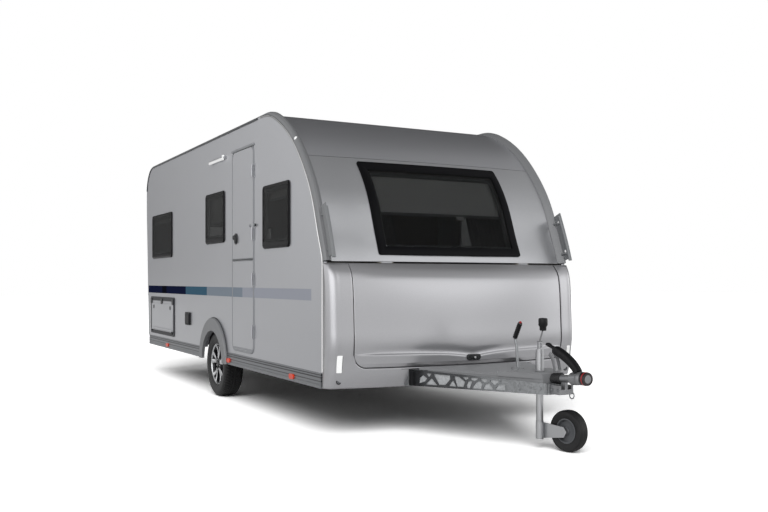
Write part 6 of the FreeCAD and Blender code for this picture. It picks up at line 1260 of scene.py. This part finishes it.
# Roof edge: a dark awning rail runs along both walls under the roof and round the rear corner.
rail_grey = moulded("dark_anodised_aluminium_rail", "#4e5053", 0.7, 0.4, grain=0.004, depth=0.00005,
                    tone=0.06)
RAIL_DROP = 0.010
corner = np.linspace(math.pi / 2, 0.16, 14)
rear_turn = np.stack([REAR_WALL_Y - REAR_CORNER_R + (REAR_CORNER_R - RAIL_DROP) * np.cos(corner),
                      ROOF_Z - REAR_CORNER_R + (REAR_CORNER_R - RAIL_DROP) * np.sin(corner)], -1)
roof_run = np.stack([np.linspace(ROOF_START_Y + 0.05, REAR_WALL_Y - REAR_CORNER_R - 0.02, 40),
                     np.full(40, ROOF_Z - RAIL_DROP)], -1)
rail_line = np.concatenate([roof_run, rear_turn])
for label, side in SIDES:
    path = np.stack([np.full(len(rail_line), side * (WALL_X + 0.001)), rail_line[:, 0], rail_line[:, 1]], -1)
    piece("awning_rail_" + label, [sweep(path, oval(0.008, 0.009, 12, 3.0), up=(1.0, 0.0, 0.0))], rail_grey,
          slot="moulding_grey")

# White lamps. The awning lamp is a slim bright lens under a body-coloured hood; the ball lamps
# stand on short stalks at the crest of the arch. All are clear acrylic over white, with prisms.
# The lens also glows faintly. The same glowing lens goes on the awning lamp's sensor, the corner reflectors,
# the reversing lenses and the lid's drain slots; on the sensor, the reflectors and the slots, which are no
# lamps, the glow is painted light.
glowing_white_lens = prism_lens("white_prismatic_acrylic_lens_with_glow", "#e6e7e6", 0.004, (0.8, 1.0), 0.4, 0.18, 0.6,
                        Emission_Color=linear("#ffffff"), Emission_Strength=0.25)


def blob(centre, size):
    """A closed ellipsoid of half sizes (x, y, z)."""
    v, u = np.meshgrid(np.linspace(-math.pi / 2, math.pi / 2, 14), np.linspace(0, 2 * math.pi, 25),
                       indexing="ij")
    return np.array(centre) + np.array(size) * np.stack([np.cos(v) * np.cos(u), np.cos(v) * np.sin(u),
                                                         np.sin(v)], -1)


LAMP_Y, LAMP_Z, LENS_X = (-0.367, 0.103), (2.312, 2.368), -WALL_X - 0.020
hood = (LAMP_Y[0], LAMP_Y[1], LAMP_Z[0] + 0.020, LAMP_Z[1] - 0.008)
piece("awning_lamp_hood", [slab(hood, 0.012, 0.0, 0.018, 0.008, lay_left)], sheet_silver, slot="body_silver")
lens_path = [(LENS_X, y, LAMP_Z[0] + 0.021) for y in (LAMP_Y[0] + 0.02, LAMP_Y[1] - 0.02)]
piece("awning_lamp_lens", [sweep(lens_path, oval(0.010, 0.015, 16, 2.5))], glowing_white_lens, slot="lamp_white")
# The sensor is no lamp: its faint glow is painted light.
piece("awning_lamp_sensor", [blob((-WALL_X - 0.016, LAMP_Y[0] + 0.03, LAMP_Z[0] + 0.045),
                                  (0.014, 0.022, 0.014))],
      glowing_white_lens, slot="lamp_white")
BALL_X, BALL_Z, BALL_R, BALL_AIM = 1.112, 2.262, 0.019, (0.35, -0.72, 0.6)
ball_y = float(np.interp(BALL_Z, arch_line[:, 1], arch_line[:, 0]))
ball_foot = [(0.0, -0.012), (0.02, -0.012), (0.02, 0.006), (0.012, 0.011), (0.0, 0.011)]
for label, side in SIDES:
    spot = np.array([side * BALL_X, ball_y - 0.004, BALL_Z + 0.004])
    lean = np.array([side * BALL_AIM[0], *BALL_AIM[1:]]) / np.linalg.norm(BALL_AIM)
    piece("ball_lamp_foot_" + label, [lathe(ball_foot, spot, lean, 24)], grab_grey, slot="moulding_grey")
    piece("ball_lamp_" + label, [blob(spot + lean * 0.02, (BALL_R,) * 3)], glowing_white_lens, slot="lamp_white")

# Locker corners: the fixed part of the locker round its lid, moulded in one piece with the
# corners. It runs on along the front's curve, turns a rounded corner and meets the wall's edge.
CORNER_R, SEAM_HALF, SEAM_FOOT, SEAM_R, SKIN_LIFT = 0.075, 0.9655, 0.5075, 0.105, 0.0015
z_side = np.concatenate([np.linspace(SKIN[0, 0], SEAM_FOOT + SEAM_R, 22),
                         np.linspace(SEAM_FOOT + SEAM_R, 1.284, 44)[1:]])


def front_line(x, z):
    """The locker's front without its corners: the parabola across, carried on to the walls."""
    base, curve = (np.interp(z, skin_line[:, 0], skin_line[:, i]) for i in (1, 2))
    return base - curve * (CORNER_START ** 2 - x ** 2)


def corner_strip(side):
    """One corner as a grid: rows up its height, columns from the lid's seam round to the wall."""
    z = z_side[:, None]
    radius = np.minimum(CORNER_R, 0.8 * (FRONT_EDGE_Y - front_line(np.full_like(z, 1.12), z)))
    flat = SEAM_HALF + (WALL_X + SKIN_LIFT - radius - SEAM_HALF) * np.linspace(0.0, 1.0, 10)[None, :]
    bend = np.linspace(0.0, math.pi / 2, 14)[None, 1:]
    x = np.concatenate([flat, WALL_X + SKIN_LIFT - radius + radius * np.sin(bend)], 1)
    y = np.concatenate([front_line(flat, np.broadcast_to(z, flat.shape)),
                        front_line(WALL_X + SKIN_LIFT - radius, z) + radius * (1 - np.cos(bend))], 1)
    x = np.concatenate([x, x[:, -1:]], 1)
    y = np.concatenate([y, np.full((len(z_side), 1), FRONT_EDGE_Y - 0.0005)], 1)
    y[:, :-1] -= SKIN_LIFT
    return np.stack([side * x, y, np.broadcast_to(z, x.shape)], -1)


left_strip, right_strip = corner_strip(-1.0), corner_strip(1.0)
x_foot = np.linspace(-SEAM_HALF, SEAM_HALF, 97)
near = np.clip((np.abs(x_foot) - (SEAM_HALF - SEAM_R)) / SEAM_R, 0.0, 1.0)
z_edge = SEAM_FOOT + SEAM_R * (1 - np.sqrt(1 - near ** 2))
z_foot = SKIN[0, 0] + np.linspace(0.0, 1.0, 22)[:, None] * (z_edge - SKIN[0, 0])[None, :]
x_grid = np.repeat(x_foot[None], 22, 0)
foot_strip = np.stack([x_grid, front_line(x_grid, z_foot) - SKIN_LIFT, z_foot], -1)
piece("locker_corners", [left_strip[:, ::-1], foot_strip, right_strip], lid_silver, slot="front_silver",
      wall=-0.003, sharp=50.0)
slot_dark = moulded("black_EPDM_lid_seal", "#101012", 0.0, 0.6, grain=0.0015, depth=0.0001, tone=0.1)


def lay_locker(a, b, h):
    """Puts (X, Z, height) on the locker's front line, corners left out."""
    return np.stack([a, front_line(a, b) - SKIN_LIFT - h, b], -1)


# Each corner holds a white reflector on a black seat, over a round grey plug in a black ring.
REFLECTOR_X, REFLECTOR_HALF, REFLECTOR_Z = 1.064, 0.024, (0.476, 0.614)
PLUG_X, PLUG_Z = 1.058, 0.416
plug_grey = moulded("grey_moulded_PP_plug", "#55575a", 0.0, 0.5, grain=0.001, depth=0.0001, tone=0.1)
plug_ring = [(0.014, 0.0), (0.021, 0.0), (0.021, 0.004), (0.0145, 0.005), (0.014, 0.0)]
plug = [(0.0, 0.0), (0.0142, 0.0), (0.0142, 0.003), (0.0, 0.0045)]
for label, side in SIDES:
    seat = (side * REFLECTOR_X - REFLECTOR_HALF, side * REFLECTOR_X + REFLECTOR_HALF, *REFLECTOR_Z)
    piece("reflector_seat_" + label, [slab(seat, 0.008, -0.002, 0.003, 0.001, lay_locker)], slot_dark,
          slot="black_plastic")
    lens = (seat[0] + 0.004, seat[1] - 0.004, seat[2] + 0.005, seat[3] - 0.005)
    # The reflector is no lamp: its faint glow is painted light.
    piece("reflector_" + label, [slab(lens, 0.005, 0.0, 0.007, 0.003, lay_locker)], glowing_white_lens,
          slot="lamp_white", replaced=("white_lamps",) if side < 0 else ())
    centre = (side * PLUG_X, float(front_line(PLUG_X, PLUG_Z)) - SKIN_LIFT, PLUG_Z)
    piece("locker_plug_ring_" + label, [lathe(plug_ring, centre, out_front, 28)], slot_dark,
          slot="black_plastic")
    piece("locker_plug_" + label, [lathe(plug, centre, out_front, 24)], plug_grey, slot="black_plastic")
# A black seal shows below the lid, with a row of light drain slots. The black seal also stands in as painted
# shade for the shadowed gap under the lid's foot, and the slots' faint glow is painted light.
SEAL_Z, SLOT_STEP, SLOT_LONG = 0.501, 0.062, 0.034
seal_x = np.linspace(-0.60, 0.60, 40)
seal_path = lay_locker(seal_x, np.full(40, SEAL_Z), 0.0)
piece("lid_foot_seal", [sweep(seal_path, oval(0.003, 0.006, 10, 3.0))], slot_dark, slot="black_plastic")
drains = [slab((x, x + SLOT_LONG, SEAL_Z - 0.0035, SEAL_Z + 0.0035), 0.003, 0.0, 0.0048, 0.001, lay_locker)
          for x in np.arange(-0.30, 0.12, SLOT_STEP)]
piece("lid_drain_slots", drains, glowing_white_lens, slot="lamp_white")

# Rooflights: crystal-clear domes with a smoky tint over white frames.
dome_clear, tree, shader, place = start_material("smoke_tinted_acrylic_dome", "#9aa0a4", 0.0, 0.05, IOR=1.49,
                                                 Transmission_Weight=0.7)
wave = put(tree, "TexNoise", [("Vector", place), ("Scale", 12.0), ("Detail", 2.0)])
shift(tree, shader, wave.outputs["Fac"], Roughness=(0.03, 0.09))


def lay_roof(a, b, h):
    """Puts (X, Y, height) on the flat roof."""
    return np.stack([a, b, ROOF_Z + h], -1)


ROOFLIGHTS = [(-0.30, -0.35, 0.25, 0.30), (0.0, 1.70, 0.20, 0.20)]
ROOFLIGHT_LAP = 0.035
frame_white = moulded("white_grey_moulded_ABS_frame", "#c4c5c6", 0.0, 0.45, grain=0.0015, depth=0.0001,
                      tone=0.03)
DOME_LAP, DOME_RISE, DOME_FOOT = 0.030, 0.044, 0.024
for number, (x, y, half_x, half_y) in enumerate(ROOFLIGHTS):
    wide, deep = half_x + ROOFLIGHT_LAP, half_y + ROOFLIGHT_LAP
    outside = (x - wide, x + wide, y - deep, y + deep)
    piece("rooflight_frame_%d" % number, [rings(outside, 0.05, frame_levels(0.0, 0.030, 0.010, 0.030),
                                                lay_roof, False)],
          frame_white, slot="moulding_grey", replaced=("rooflights",) if number == 0 else ())
    wide, deep = half_x + DOME_LAP, half_y + DOME_LAP
    dome = []
    for share in np.linspace(0.0, 1.0, 9):
        grow = 1.0 - 0.72 * share ** 2
        height = DOME_FOOT + DOME_RISE * math.sin(share * math.pi / 2) ** 0.8
        ring = loop(x - wide * grow, x + wide * grow, y - deep * grow, y + deep * grow,
                    0.05 * (1 - 0.7 * (1 - grow)))
        dome.append(laid(ring, height, lay_roof))
    centre = np.full((len(ring), 2), (x, y))
    piece("rooflight_dome_%d" % number, [np.stack(dome + [laid(centre, height + 0.001, lay_roof)])],
          dome_clear, slot="dome_acrylic", wall=0.003)

# Rear lamps: on each side one black housing with a red brake and tail lens, an amber indicator
# and a clear reversing lens, all with moulded prisms. A third brake light sits over the window.
brake_red = prism_lens("red_prismatic_acrylic_lens", "#b50f14", 0.005, (0.65, 1.2), 0.3)
turn_amber = prism_lens("amber_rear_acrylic_lens", "#d8620e", 0.005, (0.65, 1.2), 0.3)
dress(fitting_black, "rear_lamps")
REAR_LAMP_X, LENS_INSET = (0.820, 1.040), 0.014
REAR_LENSES = (("brake", 0.815, 0.995, brake_red, "lamp_red"),
               ("indicator", 0.705, 0.805, turn_amber, "lamp_orange"),
               ("reversing", 0.615, 0.695, glowing_white_lens, "lamp_white"))
for label, side in SIDES:
    x0, x1 = sorted(side * x for x in REAR_LAMP_X)
    for part, low, high, finish, slot in REAR_LENSES:
        area = (x0 + LENS_INSET, x1 - LENS_INSET, low, high)
        piece("rear_%s_lens_%s" % (part, label), [slab(area, 0.02, 0.0262, 0.034, 0.006, lay_rear)], finish,
              slot=slot)
THIRD_BRAKE, PLATE = (-0.14, 0.14, 2.005, 2.030), (-0.26, 0.26, 0.62, 0.735)
PLATE_LAMP_X, PLATE_LAMP_HALF, PLATE_LAMP_Z = 0.17, 0.03, (0.745, 0.768)
piece("third_brake_light", [slab(THIRD_BRAKE, 0.010, 0.0, 0.016, 0.005, lay_rear)], brake_red,
      slot="lamp_red")
plate_blank = moulded("blank_reflective_plate_sheet", "#d9d9d4", 0.0, 0.4, grain=0.0015, depth=0.00005,
                      tone=0.04)
piece("number_plate_blank", [slab(PLATE, 0.010, 0.0, 0.006, 0.002, lay_rear)], plate_blank,
      slot="lamp_white")
for label, side in SIDES:
    lamp = (side * PLATE_LAMP_X - PLATE_LAMP_HALF, side * PLATE_LAMP_X + PLATE_LAMP_HALF, *PLATE_LAMP_Z)
    piece("plate_lamp_" + label, [slab(lamp, 0.008, 0.0, 0.022, 0.006, lay_rear)], fitting_black,
          slot="black_plastic")

# Floor, bulkhead and cabin furniture, dim behind the smoked windows: vinyl over birch ply, a
# light elm-effect foil on the board furniture, and a painted steel pair of gas bottles.
GRAIN_LONG, GRAIN_WIDE = 0.9, 0.012


def foil(name, colour, dark):
    """Wood-effect foil: grain lines far longer than they are wide, over a slow change of tone."""
    material, tree, shader, place = start_material(name, colour, 0.0, 0.45)
    stretched = put(tree, "Mapping", [("Vector", place),
                                      ("Scale", (1 / GRAIN_WIDE, 1 / GRAIN_LONG, 1 / GRAIN_WIDE))])
    lines = put(tree, "TexNoise", [("Vector", stretched.outputs[0]), ("Scale", 1.0), ("Detail", 4.0)])
    mixed = put(tree, "Mix", [(0, lines.outputs["Fac"]), (6, linear(dark)), (7, linear(colour))],
                data_type="RGBA")
    tree.links.new(mixed.outputs[2], shader.inputs["Base Color"])
    bump = put(tree, "Bump", [("Height", lines.outputs["Fac"]), ("Strength", 0.1), ("Distance", 0.0005)])
    tree.links.new(bump.outputs[0], shader.inputs["Normal"])
    return material


dress(foil("elm_effect_foil_on_poplar_ply", "#6b5a49", "#4b3d30"), "kitchen_unit", "washroom")
dress(foil("sealed_birch_ply_floor", "#2c2a28", "#1d1c1b"), "floor_panel")
dress(moulded("cream_vinyl_faced_lining", "#8d8980", 0.0, 0.6, grain=0.002, depth=0.0002, tone=0.04),
      "front_bulkhead")
dress(moulded("grey_painted_steel_gas_bottle", "#7a7d80", 0.2, 0.4, grain=0.003, depth=0.0002, tone=0.06),
      "gas_bottles")

# Lounge: board benches with a seat cushion each, and a mattress at the rear. Every cushion is
# swollen by a short cloth run with air pressure.
BENCH_FOOT, BENCH_TOP, SEAT_TOP = 0.536, 0.835, 0.960
bench_foil = foil("elm_effect_foil_bench", "#6b5a49", "#4b3d30")
THREAD, CLOTH_TONE = 0.0018, "#4a4b4e"
seat_cloth, tree, shader, place = start_material("grey_woven_polyester_upholstery", CLOTH_TONE, 0.0, 0.85,
                                                 Sheen_Weight=0.3)
warp, weft = [put(tree, "TexWave", [("Vector", place), ("Scale", 0.314 / THREAD)], bands_direction=way)
              for way in ("X", "Y")]
weave = put(tree, "Math", [(0, warp.outputs["Fac"]), (1, weft.outputs["Fac"])],
            operation="MULTIPLY").outputs[0]
melange = put(tree, "TexNoise", [("Vector", place), ("Scale", 120.0), ("Detail", 3.0)])
both = put(tree, "Math", [(0, weave), (1, 0.5), (2, melange.outputs["Fac"])], operation="MULTIPLY_ADD")
tone = put(tree, "MapRange", [("Value", both.outputs[0]), ("From Max", 1.3), ("To Min", 0.75),
                              ("To Max", 1.2)])
textured(tree, shader, CLOTH_TONE, tone, weave, 0.3, 0.0006)


def lay_level(a, b, h):
    """Puts (X, Y, height) at a plain height above the floor."""
    return np.stack([a, b, h], -1)


SWELL_CAP, VOXEL, SHRINK, CROWN, PULL_IN = 0.012, 0.016, 0.008, 0.02, 0.012


def cushion(name, area, low, high):
    """A box cushion over (x0, x1, y0, y1): a crowned closed form, swollen by a cloth run."""
    x0, x1, y0, y1 = area
    u, v = np.meshgrid(np.linspace(-1, 1, 29), np.linspace(-1, 1, 29))
    half_x, half_y = (x1 - x0) / 2 - SHRINK, (y1 - y0) / 2 - SHRINK
    pull_x = 1.0 - PULL_IN * (1 - v ** 2) / half_x
    pull_y = 1.0 - PULL_IN * (1 - u ** 2) / half_y
    x, y = (x0 + x1) / 2 + half_x * u * pull_x, (y0 + y1) / 2 + half_y * v * pull_y
    dome = CROWN * (1 - u ** 4) * (1 - v ** 4)
    top = np.stack([x, y, high - SHRINK - CROWN + dome], -1)
    foot = np.stack([x, y, np.full_like(x, low + 0.002)], -1)
    side = [np.stack([foot[k], top[k]]) for k in ((0,), (-1,), (slice(None), 0), (slice(None), -1))]
    side = [s.reshape(2, 29, 3) for s in side]
    made = piece(name, [top, foot] + side, seat_cloth, slot="seat_fabric", sharp=180.0)
    remesh = made.modifiers.new("remesh", "REMESH")
    remesh.voxel_size = VOXEL
    apply_modifiers(made)
    rest = read_points(made.data)
    cloth = made.modifiers.new("cloth", "CLOTH")
    cloth.settings.use_pressure = True
    cloth.settings.uniform_pressure_force = 4.0
    cloth.settings.effector_weights.gravity = 0.0
    for step in range(1, 21):
        bpy.context.scene.frame_set(step)
    swollen = read_points(made.evaluated_get(bpy.context.evaluated_depsgraph_get()).data)
    made.modifiers.remove(cloth)
    bpy.context.scene.frame_set(1)
    move = swollen - rest
    far = np.linalg.norm(move, axis=1)[:, None]
    move *= np.minimum(1.0, SWELL_CAP / np.maximum(far, 1e-9))
    placed = rest + move
    placed[:, 2] = np.maximum(placed[:, 2], low + 0.0005)
    made.data.vertices.foreach_set("co", placed.ravel())
    made.data.update()
    made.data.shade_smooth()
    made.modifiers.new("smooth", "SUBSURF").levels = 1
    return made


def apply_modifiers(thing):
    """Bakes a piece's modifiers into its mesh and keeps its material."""
    baked = bpy.data.meshes.new_from_object(thing.evaluated_get(bpy.context.evaluated_depsgraph_get()))
    thing.modifiers.clear()
    thing.data = baked
    if not baked.materials:
        baked.materials.append(seat_cloth)


def read_points(mesh):
    """A mesh's points as an array."""
    flat = np.empty(3 * len(mesh.vertices))
    mesh.vertices.foreach_get("co", flat)
    return flat.reshape(-1, 3)


BENCHES = {"left": (-1.098, -0.470, -2.222, -1.240), "right": (0.470, 1.098, -2.222, -0.706),
           "front": (-0.462, 0.462, -2.222, -1.856)}
for label, area in BENCHES.items():
    body = slab(area, 0.01, BENCH_FOOT, BENCH_TOP, 0.004, lay_level)
    piece("bench_box_" + label, [body], bench_foil, slot="furniture_board",
          replaced=("lounge_seats",) if label == "left" else ())
    inset = (area[0] + 0.004, area[1] - 0.004, area[2] + 0.004, area[3] - 0.004)
    cushion("seat_cushion_" + label, inset, BENCH_TOP + 0.001, SEAT_TOP + 0.004)
dress(seat_cloth, "rear_bed")

# Curtains hang at both sides inside the front window, dark grey and gathered into soft folds.
curtain_cloth = moulded("grey_woven_curtain_cloth", "#3c3d3f", 0.0, 0.9, grain=0.0012, depth=0.0003,
                        tone=0.15)
CURTAIN_TOP, CURTAIN_FOOT, FOLD = 2.03, 1.40, 0.045
for label, x0, x1 in (("left", -0.60, -0.47), ("right", 0.22, 0.60)):
    a = np.linspace(x0, x1, 90)
    b = np.linspace(CURTAIN_FOOT, CURTAIN_TOP, 20)
    grid_a, grid_b = np.meshgrid(a, b)
    wave = 0.009 * np.sin(2 * math.pi * (grid_a - x0) / FOLD)
    grid = lay_front(grid_a.ravel(), grid_b.ravel(), (-0.065 - wave).ravel()).reshape(20, 90, 3)
    made = piece("front_curtain_" + label, [grid], curtain_cloth, slot="seat_fabric", sharp=180.0)
